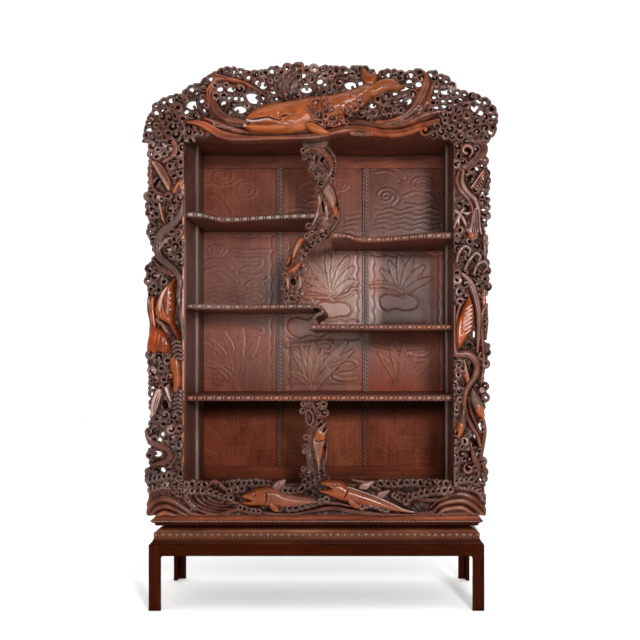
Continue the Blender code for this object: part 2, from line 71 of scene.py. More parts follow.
def spline(points, step=1.4):
    """Catmull-Rom through the points, resampled about every step."""
    p = np.asarray(points, float)
    if len(p) < 3:
        n = max(2, int(np.hypot(*(p[-1] - p[0])) / step) + 1)
        return np.stack([np.interp(np.linspace(0, 1, n), [0, 1], p[:, k]) for k in (0, 1)], 1)
    q = np.vstack([2 * p[0] - p[1], p, 2 * p[-1] - p[-2]])
    out = []
    for i in range(1, len(q) - 2):
        n = max(2, int(np.hypot(*(q[i + 1] - q[i])) / step) + 1)
        t = np.linspace(0, 1, n, endpoint=False)[:, None]
        a, b, c, d = q[i - 1], q[i], q[i + 1], q[i + 2]
        out.append(0.5 * (2 * b + (c - a) * t + (2 * a - 5 * b + 4 * c - d) * t * t + (3 * b - a - 3 * c + d) * t ** 3))
    return np.vstack(out + [p[-1:]])


def closed_spline(points, step=1.4):
    p = np.asarray(points, float)
    n = len(p)
    out = []
    for i in range(n):
        a, b, c, d = p[i - 1], p[i], p[(i + 1) % n], p[(i + 2) % n]
        m = max(2, int(np.hypot(*(c - b)) / step) + 1)
        t = np.linspace(0, 1, m, endpoint=False)[:, None]
        out.append(0.5 * (2 * b + (c - a) * t + (2 * a - 5 * b + 4 * c - d) * t * t + (3 * b - a - 3 * c + d) * t ** 3))
    return np.vstack(out)


def inside(poly, x, z):
    """Crossing-number test of many points against one polygon."""
    poly = np.asarray(poly, float)
    odd = np.zeros(np.broadcast(x, z).shape, bool)
    for (x0, z0), (x1, z1) in zip(poly, np.roll(poly, -1, 0)):
        if z0 == z1:
            continue
        odd ^= ((z0 > z) != (z1 > z)) & (x < (x1 - x0) * (z - z0) / (z1 - z0) + x0)
    return odd


def line_distance(pts, x, z):
    best = np.full(np.broadcast(x, z).shape, 1e9)
    pts = np.asarray(pts, float)
    for (x0, z0), (x1, z1) in zip(pts, pts[1:]):
        dx, dz = x1 - x0, z1 - z0
        u = np.clip(((x - x0) * dx + (z - z0) * dz) / max(dx * dx + dz * dz, 1e-18), 0, 1)
        np.minimum(best, (x - x0 - u * dx) ** 2 + (z - z0 - u * dz) ** 2, out=best)
    return np.sqrt(best)


def along(values, s):
    """A number, or a list of numbers spread evenly along a stroke."""
    if np.isscalar(values):
        return np.full(np.shape(s), float(values))
    return np.interp(s, np.linspace(0, 1, len(values)), values)


# ---------------------------------------------------------------- carved solids
class Carving:
    """A block of wood held as distances on a grid (X, Z, Y). Strokes add wood, cuts remove it."""

    def __init__(self, x, z, y, h):
        self.h = h
        self.x = np.arange(x[0] - 2 * h, x[1] + 3 * h, h)
        self.z = np.arange(z[0] - 2 * h, z[1] + 3 * h, h)
        self.y = np.arange(y[0] - 2 * h, y[1] + 3 * h, h)
        shape = (len(self.x), len(self.z), len(self.y))
        self.D = np.full(shape, 0.05, np.float32)
        self.L = np.zeros(shape, np.uint8)
        self.fat = 1.0  # widens every ribbon

    def window(self, x0, x1, z0, z1):
        i = np.searchsorted(self.x, (x0, x1))
        k = np.searchsorted(self.z, (z0, z1))
        return slice(i[0], i[1]), slice(k[0], k[1])

    def put(self, ix, iz, val, label, soft=0.0):
        if not len(ix):
            return
        old, lab = self.D[ix, iz], self.L[ix, iz]
        lab[val < old] = label
        if soft:
            m = np.clip(0.5 + 0.5 * (old - val) / soft, 0, 1)
            new = old * (1 - m) + val * m - soft * m * (1 - m)
        else:
            new = np.minimum(old, val)
        self.D[ix, iz], self.L[ix, iz] = new, lab

    def take(self, ix, iz, val, label=None):
        if not len(ix):
            return
        old = self.D[ix, iz]
        if label is not None:
            lab = self.L[ix, iz]
            lab[(-val > old) & (val < 0.004)] = label
            self.L[ix, iz] = lab
        self.D[ix, iz] = np.maximum(old, -val)

    def stroke(self, pts, reach):
        """Cells near a line: indices, distance, place along it (0 to 1) and signed offset."""
        p = np.asarray(pts, float)
        lo, hi = p.min(0) - reach, p.max(0) + reach
        sx, sz = self.window(lo[0], hi[0], lo[1], hi[1])
        X, Z = self.x[sx], self.z[sz]
        d = np.full((len(X), len(Z)), 1e9)
        s, t = np.zeros_like(d), np.zeros_like(d)
        ln = np.hypot(*(p[1:] - p[:-1]).T)
        cum = np.concatenate([[0], np.cumsum(ln)])
        for i in range(len(p) - 1):
            (x0, z0), (x1, z1) = p[i], p[i + 1]
            a0, a1 = np.searchsorted(X, (min(x0, x1) - reach, max(x0, x1) + reach))
            b0, b1 = np.searchsorted(Z, (min(z0, z1) - reach, max(z0, z1) + reach))
            if a0 == a1 or b0 == b1:
                continue
            xx, zz = X[a0:a1, None] - x0, Z[None, b0:b1] - z0
            dx, dz = x1 - x0, z1 - z0
            u = np.clip((xx * dx + zz * dz) / max(ln[i] ** 2, 1e-18), 0, 1)
            ex, ez = xx - u * dx, zz - u * dz
            q = np.hypot(ex, ez)
            m = q < d[a0:a1, b0:b1]
            d[a0:a1, b0:b1][m] = q[m]
            s[a0:a1, b0:b1][m] = (cum[i] + u * ln[i])[m]
            t[a0:a1, b0:b1][m] = (np.sign(dx * ez - dz * ex) * q)[m]
        idx = np.nonzero(d < reach)
        return idx[0] + sx.start, idx[1] + sz.start, d[idx], s[idx] / max(cum[-1], 1e-9), t[idx]

    def band(self, pts, width, yf, yb, ridges=0, amp=0.0016, crown=0.004, label=WAVE, soft=0.0028, step=1.4):
        """Flat ribbon along a line of the picture plane, with rounded reeds along it. width is its half width in picture units."""
        y0 = float(np.mean(yf))
        world = np.array([at(u, v, y0) for u, v in spline(pts, step)])
        k = scale_at(y0)
        width = np.asarray(width, float) * self.fat if not np.isscalar(width) else width * self.fat
        wmax = np.max(width) * k
        ix, iz, d, s, t = self.stroke(world, wmax + 2.5 * self.h)
        w = np.maximum(along(width, s) * k, 1e-4)
        q = np.clip(t / w, -1, 1)
        front = along(yf, s) + crown * q * q
        if ridges:
            front = front + amp * (1 - np.abs(np.sin(np.pi * ridges * (q + 1) / 2)))
        yy = self.y[None, :]
        back = along(yb, s)[:, None]
        # the rim turns over on a small radius
        r = 0.004
        a = (d - w + r)[:, None]
        b = np.maximum(front[:, None] - yy, yy - back) + r
        val = np.minimum(np.maximum(a, b), 0) + np.hypot(np.maximum(a, 0), np.maximum(b, 0)) - r
        self.put(ix, iz, val.astype(np.float32), label, soft)

    def tube(self, pts, radius, y, deep=0.0, label=WAVE, soft=0.0, step=1.4):
        """Round strand; deep stretches its section in depth."""
        y0 = float(np.mean(y))
        world = np.array([at(u, v, y0) for u, v in spline(pts, step)])
        k = scale_at(y0)
        ix, iz, d, s, t = self.stroke(world, np.max(radius) * k + 2.5 * self.h)
        off = np.maximum(np.abs(self.y[None, :] - along(y, s)[:, None]) - deep, 0)
        val = np.hypot(d[:, None], off) - (along(radius, s) * k)[:, None]
        self.put(ix, iz, val.astype(np.float32), label, soft)

    def groove(self, pts, radius, y, deep=0.0, label=None, step=1.4):
        y0 = float(np.mean(y))
        world = np.array([at(u, v, y0) for u, v in spline(pts, step)])
        k = scale_at(y0)
        ix, iz, d, s, t = self.stroke(world, np.max(radius) * k + 2.5 * self.h)
        off = np.maximum(np.abs(self.y[None, :] - along(y, s)[:, None]) - deep, 0)
        val = np.hypot(d[:, None], off) - (along(radius, s) * k)[:, None]
        self.take(ix, iz, val.astype(np.float32), label)

    def hook(self, u, v, size, start, sweep, r, y, deep=0.005, label=FOAM, curl=0.35, lean=0.0):
        """Foam curl: a rim that runs round and tightens, ending in a knob. Angles in degrees, sizes in picture units."""
        k = scale_at(y)
        cx, cz = at(u, v, y)
        R, rr = size * k, r * k
        reach = R + 2 * rr + 2.5 * self.h
        sx, sz = self.window(cx - reach, cx + reach, cz - reach, cz + reach)
        X, Z = self.x[sx][:, None] - cx, self.z[sz][None, :] - cz
        if not X.size or not Z.size:
            return
        a0, sw = math.radians(start), math.radians(abs(sweep))
        turn = 1 if sweep >= 0 else -1
        rho, ang = np.hypot(X, Z), np.arctan2(Z, X)
        f = np.mod((ang - a0) * turn, 2 * np.pi) / sw
        rs = R * (1 - curl * np.clip(f, 0, 1))
        e0 = (R * math.cos(a0), R * math.sin(a0))
        a1, r1 = a0 + turn * sw, R * (1 - curl)
        e1 = (r1 * math.cos(a1), r1 * math.sin(a1))
        d0, d1 = np.hypot(X - e0[0], Z - e0[1]), np.hypot(X - e1[0], Z - e1[1])
        d = np.where(f <= 1, np.abs(rho - rs), np.minimum(d0, d1))
        rad = rr * np.where(f <= 1, 1 - 0.30 * f, np.where(d0 < d1, 1.0, 0.70))
        d, rad = np.minimum(d - rad, d1 - 0.95 * rr), 0
        yc = y + lean * (X * math.cos(a0) + Z * math.sin(a0))
        off = np.maximum(np.abs(self.y[None, None, :] - yc[:, :, None]) - deep, 0)
        q = d[:, :, None] + rr
        val = np.hypot(np.maximum(q, 0), off) - rr + np.minimum(q, 0)
        ix, iz = np.meshgrid(np.arange(sx.start, sx.start + X.shape[0]), np.arange(sz.start, sz.start + Z.shape[1]), indexing="ij")
        self.put(ix.ravel(), iz.ravel(), val.reshape(-1, len(self.y)).astype(np.float32), label)

    def ball(self, u, v, r, y, label=FIGURE, squash=1.0, soft=0.0):
        k = scale_at(y)
        cx, cz = at(u, v, y)
        reach = r * k + 2.5 * self.h
        sx, sz = self.window(cx - reach, cx + reach, cz - reach, cz + reach)
        X, Z = self.x[sx][:, None] - cx, self.z[sz][None, :] - cz
        val = np.sqrt((X ** 2 + Z ** 2)[:, :, None] + ((self.y - y) / squash)[None, None, :] ** 2) - r * k
        ix, iz = np.meshgrid(np.arange(sx.start, sx.start + X.shape[0]), np.arange(sz.start, sz.start + Z.shape[1]), indexing="ij")
        self.put(ix.ravel(), iz.ravel(), val.reshape(-1, len(self.y)).astype(np.float32), label, soft)

    def outline(self, poly, y0, step=1.4, curved=True):
        """Signed distance to a closed outline of the picture plane, in its window."""
        pts = closed_spline(poly, step) if curved else np.asarray(poly, float)
        world = np.array([at(u, v, y0) for u, v in pts])
        m = 3 * self.h
        lo, hi = world.min(0) - m, world.max(0) + m
        sx, sz = self.window(lo[0], hi[0], lo[1], hi[1])
        X, Z = self.x[sx][:, None], self.z[sz][None, :]
        sd = line_distance(np.vstack([world, world[:1]]), X, Z)
        sd = np.where(inside(world, X, Z), -sd, sd)
        ix, iz = np.meshgrid(np.arange(sx.start, sx.stop), np.arange(sz.start, sz.stop), indexing="ij")
        keep = (sd < m).ravel()
        return ix.ravel()[keep], iz.ravel()[keep], sd.ravel()[keep]

    def slab(self, poly, yf, yb, label=DEEP, curved=False, r=0.003, lumps=0.0):
        """Board of the given outline; lumps makes its front rise and fall."""
        ix, iz, sd = self.outline(poly, yf, curved=curved)
        front = np.full(len(ix), yf)
        if lumps:
            X, Z = self.x[ix], self.z[iz]
            front = front + lumps * (np.sin(X * 171 + 1.3 * np.sin(Z * 93)) * np.sin(Z * 157 + 1.1 * np.sin(X * 81)) + 0.6 * np.sin(X * 67 - Z * 59))
        a = sd[:, None] + r
        b = np.maximum(front[:, None] - self.y[None, :], self.y[None, :] - yb) + r
        val = np.minimum(np.maximum(a, b), 0) + np.hypot(np.maximum(a, 0), np.maximum(b, 0)) - r
        self.put(ix, iz, val.astype(np.float32), label)

    def lump(self, u, v, size, y, label=FOAM, soft=0.005):
        """Swelling of the ground that a curl is cut from."""
        self.ball(u, v, size, y, label, squash=0.62, soft=soft)

    def curl(self, u, v, size, start, sweep, r, y, deep=0.006, label=FOAM, tail=0.6, tight=0.42, pit=None, tall=1.0, bound=None):
        """Breaking curl of foam: a thick lip that runs in on a tail, turns round a pit and ends in a knob."""
        turn = 1 if sweep >= 0 else -1
        f = np.linspace(0, 1, 13)
        a = np.radians(start) + turn * np.radians(abs(sweep)) * f
        R = size * (1 - tight * f)
        pu, pv = u + R * np.cos(a), v - tall * R * np.sin(a)
        tu, tv = pu[0] - pu[1], pv[0] - pv[1]
        m = math.hypot(tu, tv) or 1
        ou, ov = math.cos(a[0]), -math.sin(a[0])
        line = []
        if tail:
            qu, qv = pu[0] + (tu / m + ou * 0.30) * size * tail, pv[0] + (tv / m + ov * 0.30) * size * tail
            line = [(qu + (tu / m * 0.7 + ou * 0.55) * size * tail, qv + (tv / m * 0.7 + ov * 0.55) * size * tail), (qu, qv)]
            if bound is not None and not inside(bound, *np.array(line).T).all():
                line = []
        if pit is not None:
            self.pierce(u, v, size * 0.66, y=y, through=(-0.3, pit), label=DEEP)
        self.tube(line + list(zip(pu, pv)), [0.40 * r, 0.80 * r, 1.10 * r, 1.25 * r, 1.10 * r, 0.70 * r], y, deep, label, soft=0.0030, step=1.2)
        self.ball(pu[-1], pv[-1], 0.95 * r, y - deep * 0.7, label, soft=0.002)

    def pillow(self, poly, yf, yb, radius, label=FIGURE, soft=0.0, power=2.0, curved=True, ridge=None):
        """Rounded form of the given outline: it rises from yb at its edge to yf at radius (picture units) inside it."""
        ix, iz, sd = self.outline(poly, 0.45 * yf + 0.55 * yb, curved=curved)
        u = np.clip(-sd / (radius * scale_at(yf)), 0, 1)
        rise = (1 - (1 - u) ** power) ** (1 / power)
        front = yb - (yb - yf) * rise
        if ridge is not None:
            front = front + ridge(self.x[ix], self.z[iz], u)
        val = np.maximum(sd[:, None], np.maximum(front[:, None] - self.y[None, :], self.y[None, :] - yb))
        self.put(ix, iz, val.astype(np.float32), label, soft)

    def pierce(self, u, v, rx, ry=None, turn=0.0, y=-0.18, through=None, label=None):
        """Cuts an oval hole, slanted to the front view; through = (y0, y1) limits its depth and makes it straight."""
        ry = ry or rx
        k = scale_at(y)
        cx, cz = at(u, v, y)
        reach = max(rx, ry) * k + 2.5 * self.h + (0.024 if through is None else 0)
        sx, sz = self.window(cx - reach, cx + reach, cz - reach, cz + reach)
        X, Z = self.x[sx][:, None] - cx, self.z[sz][None, :] - cz
        if not X.size or not Z.size:
            return
        c, s = math.cos(math.radians(turn)), math.sin(math.radians(turn))
        A, B = (X * c + Z * s) / (rx * k), (-X * s + Z * c) / (ry * k)
        q = np.hypot(A, B)
        sd = (q - 1) * min(rx, ry) * k
        val = np.repeat(sd[:, :, None], len(self.y), 2)
        if through is None:
            mx, mz = at(u, v, self.y)
            X, Z = self.x[sx][:, None, None] - mx, self.z[sz][None, :, None] - mz
            val = (np.hypot((X * c + Z * s) / (rx * k), (-X * s + Z * c) / (ry * k)) - 1) * min(rx, ry) * k
        else:
            val = np.maximum(val, np.maximum(through[0] - self.y, self.y - through[1])[None, None, :])
        ix, iz = np.meshgrid(np.arange(sx.start, sx.start + X.shape[0]), np.arange(sz.start, sz.start + Z.shape[1]), indexing="ij")
        self.take(ix.ravel(), iz.ravel(), val.reshape(-1, len(self.y)).astype(np.float32), label)

    def crop(self, x=None, z=None, y=None):
        """Saws the block off square at the given limits."""
        for ax, (grid, lim) in enumerate(((self.x, x), (self.z, z), (self.y, y))):
            if lim is None:
                continue
            shape = [1, 1, 1]
            shape[ax] = len(grid)
            self.D = np.maximum(self.D, np.maximum(lim[0] - grid, grid - lim[1]).reshape(shape).astype(np.float32))

    # ------------------------------------------------------------ to a mesh
    def occupancy(self, n):
        """Share of wood in a cube of 2n+1 cells round each grid point."""
        o = (self.D < 0).astype(np.float32)
        for ax in range(3):
            pad = [(0, 0)] * 3
            pad[ax] = (n + 1, n)
            c = np.cumsum(np.pad(o, pad), axis=ax, dtype=np.float32)
            m = o.shape[ax]
            o = (np.take(c, range(2 * n + 1, 2 * n + 1 + m), axis=ax) - np.take(c, range(0, m), axis=ax)) / (2 * n + 1)
        return o

    def surface(self, least=500):
        """Closed quad mesh of the zero surface, one vertex in each cell that it crosses."""
        D = self.D
        for ax in range(3):
            edge = [slice(None)] * 3
            for e in (0, -1):
                edge[ax] = e
                D[tuple(edge)] = np.maximum(D[tuple(edge)], 0.001)
        ins = D < 0
        count = np.zeros(tuple(n - 1 for n in D.shape), np.int8)
        corners = [(i, k, j) for i in (0, 1) for k in (0, 1) for j in (0, 1)]
        for i, k, j in corners:
            count += ins[i:ins.shape[0] - 1 + i, k:ins.shape[1] - 1 + k, j:ins.shape[2] - 1 + j]
        active = (count > 0) & (count < 8)
        cell = np.argwhere(active)
        vals = np.stack([D[cell[:, 0] + i, cell[:, 1] + k, cell[:, 2] + j] for i, k, j in corners], 1)
        labs = np.stack([self.L[cell[:, 0] + i, cell[:, 1] + k, cell[:, 2] + j] for i, k, j in corners], 1)
        label = labs[np.arange(len(cell)), np.argmin(vals, 1)]
        total, n = np.zeros((len(cell), 3)), np.zeros(len(cell))
        off = np.array(corners, float)
        for a in range(8):
            for b in range(a + 1, 8):
                if np.abs(off[a] - off[b]).sum() != 1:
                    continue
                m = (vals[:, a] < 0) != (vals[:, b] < 0)
                t = (vals[m, a] / (vals[m, a] - vals[m, b]))[:, None]
                total[m] += off[a] + t * (off[b] - off[a])
                n[m] += 1
        grid = cell + total / n[:, None]
        number = np.full(active.shape, -1, np.int32)
        number[active] = np.arange(len(cell), dtype=np.int32)
        quads = []
        for ax in range(3):
            b, c = (ax + 1) % 3, (ax + 2) % 3
            lo, hi = [slice(1, -1)] * 3, [slice(1, -1)] * 3
            lo[ax], hi[ax] = slice(0, -1), slice(1, None)
            e = np.argwhere(ins[tuple(lo)] != ins[tuple(hi)])
            e[:, b] += 1
            e[:, c] += 1
            ring = []
            for db, dc in ((-1, -1), (0, -1), (0, 0), (-1, 0)):
                q = e.copy()
                q[:, b] += db
                q[:, c] += dc
                ring.append(number[q[:, 0], q[:, 1], q[:, 2]])
            ring = np.stack(ring, 1)
            flip = ins[e[:, 0], e[:, 1], e[:, 2]]
            ring[flip] = ring[flip][:, ::-1]
            quads.append(ring)
        quads = np.vstack(quads)
        grid, quads, cell, label = self.drop_crumbs(grid, quads, cell, label, least)
        co = np.stack([self.x[0] + grid[:, 0] * self.h, self.y[0] + grid[:, 2] * self.h, self.z[0] + grid[:, 1] * self.h], 1)
        # outward faces
        a, b, c = co[quads[:, 0]], co[quads[:, 1]], co[quads[:, 2]]
        d = co[quads[:, 3]]
        if (np.einsum("ij,ij->i", a, np.cross(b, c)).sum() + np.einsum("ij,ij->i", a, np.cross(c, d)).sum()) < 0:
            quads = quads[:, ::-1]
        return co, quads, cell, label

    @staticmethod
    def drop_crumbs(grid, quads, cell, label, least=500):
        """Leaves out loose bits that hang on nothing."""
        parent = np.arange(len(grid))
        e = np.vstack([quads[:, [0, 1]], quads[:, [1, 2]], quads[:, [2, 3]]])
        for _ in range(60):
            pa, pb = parent[e[:, 0]], parent[e[:, 1]]
            m = np.minimum(pa, pb)
            if (pa == pb).all():
                break
            np.minimum.at(parent, pa, m)
            np.minimum.at(parent, pb, m)
            for _ in range(6):
                parent = parent[parent]
        count = np.bincount(parent, minlength=len(grid))
        keep = count[parent] >= least
        new = np.cumsum(keep) - 1
        q = quads[keep[quads].all(1)]
        return grid[keep], new[q], cell[keep], label[keep]


# The darkest stop of each colour is painted shade, for wood deep in a hollow; DEEP is near-black painted shade for pits
# and cut-outs.
PALETTE = {  # deep in a hollow, on the flat, on a worn edge
    FOAM: ((0.0150, 0.0074, 0.0060), (0.0540, 0.0272, 0.0218), (0.094, 0.0510, 0.0408)),
    WAVE: ((0.0095, 0.0028, 0.0017), (0.0560, 0.0165, 0.0098), (0.122, 0.0400, 0.0235)),
    FIGURE: ((0.0260, 0.0050, 0.0014), (0.1600, 0.0330, 0.0068), (0.215, 0.0500, 0.0120)),
    PALE: ((0.0160, 0.0070, 0.0055), (0.0980, 0.0450, 0.0350), (0.250, 0.1450, 0.1180)),
    DEEP: ((0.0030, 0.0013, 0.0011), (0.0130, 0.0056, 0.0044), (0.0420, 0.0190, 0.0146)),
}


def mesh_object(name, co, faces, tint=None):
    mesh = bpy.data.meshes.new(name)
    faces = np.asarray(faces, np.int32)
    n = faces.shape[1]
    mesh.vertices.add(len(co))
    mesh.vertices.foreach_set("co", np.ascontiguousarray(co, np.float32).ravel())
    mesh.loops.add(faces.size)
    mesh.loops.foreach_set("vertex_index", np.ascontiguousarray(faces).ravel())
    mesh.polygons.add(len(faces))
    mesh.polygons.foreach_set("loop_start", np.arange(0, faces.size, n, dtype=np.int32))
    mesh.polygons.foreach_set("use_smooth", np.ones(len(faces), bool))
    mesh.update(calc_edges=True)
    mesh.validate()
    if tint is not None:
        layer = mesh.color_attributes.new("tint", "FLOAT_COLOR", "POINT")
        if tint.shape[1] == 3:
            tint = np.hstack([tint, np.ones((len(tint), 1))])
        layer.data.foreach_set("color", tint.astype(np.float32).ravel())
    obj = bpy.data.objects.new(name, mesh)
    bpy.context.scene.collection.objects.link(obj)
    return obj


def thin_out(obj, most):
    """Takes faces away where the surface is nearly flat, down to about the given number of triangles."""
    count = 2 * len(obj.data.polygons)
    if count <= most:
        return
    step = obj.modifiers.new("thin", "DECIMATE")
    step.ratio = most / count
    dense, graph = obj.data, bpy.context.evaluated_depsgraph_get()
    thin = bpy.data.meshes.new_from_object(obj.evaluated_get(graph), preserve_all_data_layers=True, depsgraph=graph)
    obj.modifiers.clear()
    obj.data = thin
    bpy.data.meshes.remove(dense)
    thin.name = obj.name


def wobble(co, f, seed=0.0):
    """Slow random variation over the wood, about -1 to 1."""
    x, y, z = co[:, 0] * f + seed, co[:, 1] * f, co[:, 2] * f - seed
    return (np.sin(1.7 * x + 1.3 * np.sin(1.1 * z + y)) + np.sin(1.9 * z + 1.6 * np.sin(0.9 * x - y)) + np.sin(2.3 * (x + z) + np.sin(1.3 * x))) / 3


def carve_object(carving, name, body="case", node=None, level=0.0, relax=1, paint=None, least=500, polish=None, most=180000):
    """Meshes a carving and tints it: painted shade, dark in hollows and further back, pale on worn edges. polish gives
    the share of gloss left.
    """
    co, quads, cell, label = carving.surface(least)
    near, wide = carving.occupancy(2), carving.occupancy(6)
    ci = tuple(cell.T)
    edge = np.clip(0.5 + 2.4 * (0.46 - near[ci]), 0, 1)
    hollow = np.clip(0.5 + 2.6 * (0.40 - wide[ci]), 0, 1)
    depth = (co[:, 1] - carving.y[0]) / (carving.y[-1] - carving.y[0])
    # painted shade: t drops where the wood closes round (hollow) and further back (depth); edge pales the worn edges
    t = np.clip(0.54 * hollow + 0.32 * edge - 0.42 * (depth - 0.44) + 0.16 * wobble(co, 40) + level + 0.05, 0, 1)[:, None]
    pal = np.zeros((8, 3, 3))
    for lab, colours in PALETTE.items():
        pal[lab] = colours
    c = pal[label]
    red = np.clip(0.5 + 0.75 * wobble(co, 22, 3.0), 0, 1)[:, None] * 0.55
    foamy = ((label == FOAM) | (label == DEEP))[:, None]
    c = np.where(foamy[:, :, None], c + (pal[WAVE][None] * 0.85 - c) * red[:, :, None], c)
    tint = np.where(t < 0.5, c[:, 0] + (c[:, 1] - c[:, 0]) * (t / 0.5), c[:, 1] + (c[:, 2] - c[:, 1]) * ((t - 0.5) / 0.5))
    if paint is not None:
        tint = paint(co, label, tint, t[:, 0])
    e = np.vstack([quads[:, [0, 1]], quads[:, [1, 2]], quads[:, [2, 3]], quads[:, [3, 0]]])
    deg = np.maximum(np.bincount(e[:, 0], minlength=len(co)), 1).astype(float)[:, None]

    def average(values):
        return np.stack([np.bincount(e[:, 0], weights=values[e[:, 1], k], minlength=len(values)) for k in range(values.shape[1])], 1) / deg

    for _ in range(2):
        tint = 0.5 * tint + 0.5 * average(tint)
    for _ in range(relax):
        co = co + 0.4 * (average(co) - co)
    gloss = np.ones(len(tint)) if polish is None else polish(co, label)
    obj = mesh_object(name, co, quads, np.hstack([tint, gloss[:, None]]))
    thin_out(obj, most)
    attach(obj, body)
    if node:
        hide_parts(*([node] if isinstance(node, str) else node))
    CARVED.append(obj)
    return obj


CARVED = []


def warm(blobs, y=-0.205, colour=(0.135, 0.0300, 0.0090)):
    """Redder wood in soft patches: (across, down, half width, half height, strength) in picture units."""
    def paint(co, label, tint, t):
        u, v = AXIS_U + (co[:, 0] - EYE[0]) / scale_at(y), AXIS_V - (co[:, 2] - EYE[2]) / scale_at(y)
        k = np.zeros(len(co))
        for bu, bv, ru, rv, strength in blobs:
            k = np.maximum(k, strength * np.clip(1.6 - 1.6 * ((u - bu) / ru) ** 2 - 1.6 * ((v - bv) / rv) ** 2, 0, 1))
        k = k * np.where(label == WAVE, 1.0, np.where(label == FOAM, 0.45, np.where(label == PALE, 0.3, 0.0))) * np.clip(0.85 + 0.35 * wobble(co, 60, 2.0), 0, 1)
        # the redder colour is scaled by t, so it keeps the painted shade of the hollows
        return tint + (np.array(colour) * (0.16 + 1.5 * t * t)[:, None] - tint) * k[:, None]
    return paint


def scatter(poly, spacing, seed, avoid=(), tries=6000):
    """Evenly spread points in a picture-plane outline, kept off the given lines: avoid is [(points, clearance), ...]."""
    rng = np.random.default_rng(seed)
    poly = np.asarray(poly, float)
    lo, hi = poly.min(0), poly.max(0)
    pts = lo + rng.random((tries, 2)) * (hi - lo)
    pts = pts[inside(poly, pts[:, 0], pts[:, 1])]
    for line, gap in avoid:
        if not len(pts):
            break
        line = np.asarray(line, float)
        if len(line) == 1:
            d = np.hypot(pts[:, 0] - line[0, 0], pts[:, 1] - line[0, 1])
        else:
            d = line_distance(line, pts[:, 0], pts[:, 1])
        pts = pts[d > gap]
    kept = []
    for p in pts:
        if all((p[0] - q[0]) ** 2 + (p[1] - q[1]) ** 2 > spacing ** 2 for q in kept):
            kept.append(p)
    return kept, rng


def roll(carving, specs, pit=None, deep=0.006, tail=0.6, tall=1.0, bound=None, knobs=0.0):
    """Swells the ground and cuts curls from it: (across, down, size, start, sweep, lip, depth, label).
    Most have a lip that turns round a hollow; a share of them, knobs, are domes with a comma cut round them."""
    dome = [0.5 + 0.5 * math.sin(n * 2.63 + u) < knobs for n, (u, *_) in enumerate(specs)]
    for (u, v, R, start, sweep, r, y, lab), d in zip(specs, dome):
        carving.lump(u, v, R * (0.5 + 0.5 * tall) + (1.3 if d else 1.6) * r, y + (0.0002 if d else 0.0042), lab, soft=0.006)
    for (u, v, R, start, sweep, r, y, lab), d in zip(specs, dome):
        a = math.radians(start + sweep / 2 + 180)
        if d:
            f = np.linspace(0, 1, 9)
            q = np.radians(start) + math.radians(sweep) * f
            R2 = R * (0.92 - 0.50 * f)
            carving.groove(list(zip(u + R2 * np.cos(q), v - tall * R2 * np.sin(q))), [0.12 * R, 0.22 * R, 0.28 * R, 0.30 * R, 0.20 * R], y - 0.0050, 0.0055, label=DEEP)
        else:
            carving.pierce(u + 0.20 * R * math.cos(a), v - 0.20 * R * tall * math.sin(a), R * 0.60, R * 0.46 * (0.6 + 0.4 * tall), math.degrees(a), y=y, through=(-0.3, min(pit, y + 0.0200) if pit is not None else y + 0.0070), label=DEEP)
    for n, ((u, v, R, start, sweep, r, y, lab), d) in enumerate(zip(specs, dome)):
        if not d:
            carving.curl(u, v, R, start, sweep, r, y, 0.8 * deep, lab, tail * (0.6 + 0.4 * math.sin(n * 2.7)), tall=tall * (1 + 0.16 * math.sin(n * 1.9)), bound=bound)


def foam(carving, poly, spacing, seed, y, size=(1.9, 3.5), r=(0.80, 1.35), avoid=(), pit=None, lead=None, deep=0.005, label=FOAM, tries=6000, tail=0.9):
    """Fills an outline with foam curls of many sizes, the largest first, each on a tail that runs in among its neighbours."""
    rng = np.random.default_rng(seed)
    poly = np.asarray(poly, float)
    lo, hi = poly.min(0), poly.max(0)
    kept, specs = np.zeros((0, 3)), []
    mean = (size[0] + size[1]) / 2
    for R in np.linspace(size[1] * 1.12, size[0] * 0.66, 7):
        pts = lo + rng.random((tries // 7, 2)) * (hi - lo)
        pts = pts[inside(poly, pts[:, 0], pts[:, 1])]
        for line, gap in avoid:
            if not len(pts):
                break
            line = np.asarray(line, float)
            d = np.hypot(pts[:, 0] - line[0, 0], pts[:, 1] - line[0, 1]) if len(line) == 1 else line_distance(line, pts[:, 0], pts[:, 1])
            pts = pts[d > gap + 0.7 * (R - mean)]
        for u, v in pts:
            if len(kept) and (np.hypot(kept[:, 0] - u, kept[:, 1] - v) < (kept[:, 2] + R) * spacing / (2.35 * mean)).any():
                continue
            kept = np.vstack([kept, [[u, v, R]]])
            base = lead(u, v) if lead else 60.0 + 60 * math.sin(u * 0.09 + v * 0.06)
            turn = 1 if rng.random() < 0.7 else -1
            lab = label if rng.random() < 0.86 else (WAVE if rng.random() < 0.7 else PALE)
            specs.append((u, v, R, base + rng.uniform(-80, 80), turn * rng.uniform(180, 270), float(np.clip(0.34 * R, 0.72 * r[0], r[1])), y - 0.0016 * (R - mean) + rng.uniform(-0.0045, 0.0035), lab))
    roll(carving, specs, pit, deep, tail, bound=poly, knobs=0.42)
    return [(u, v) for u, v, R in kept]


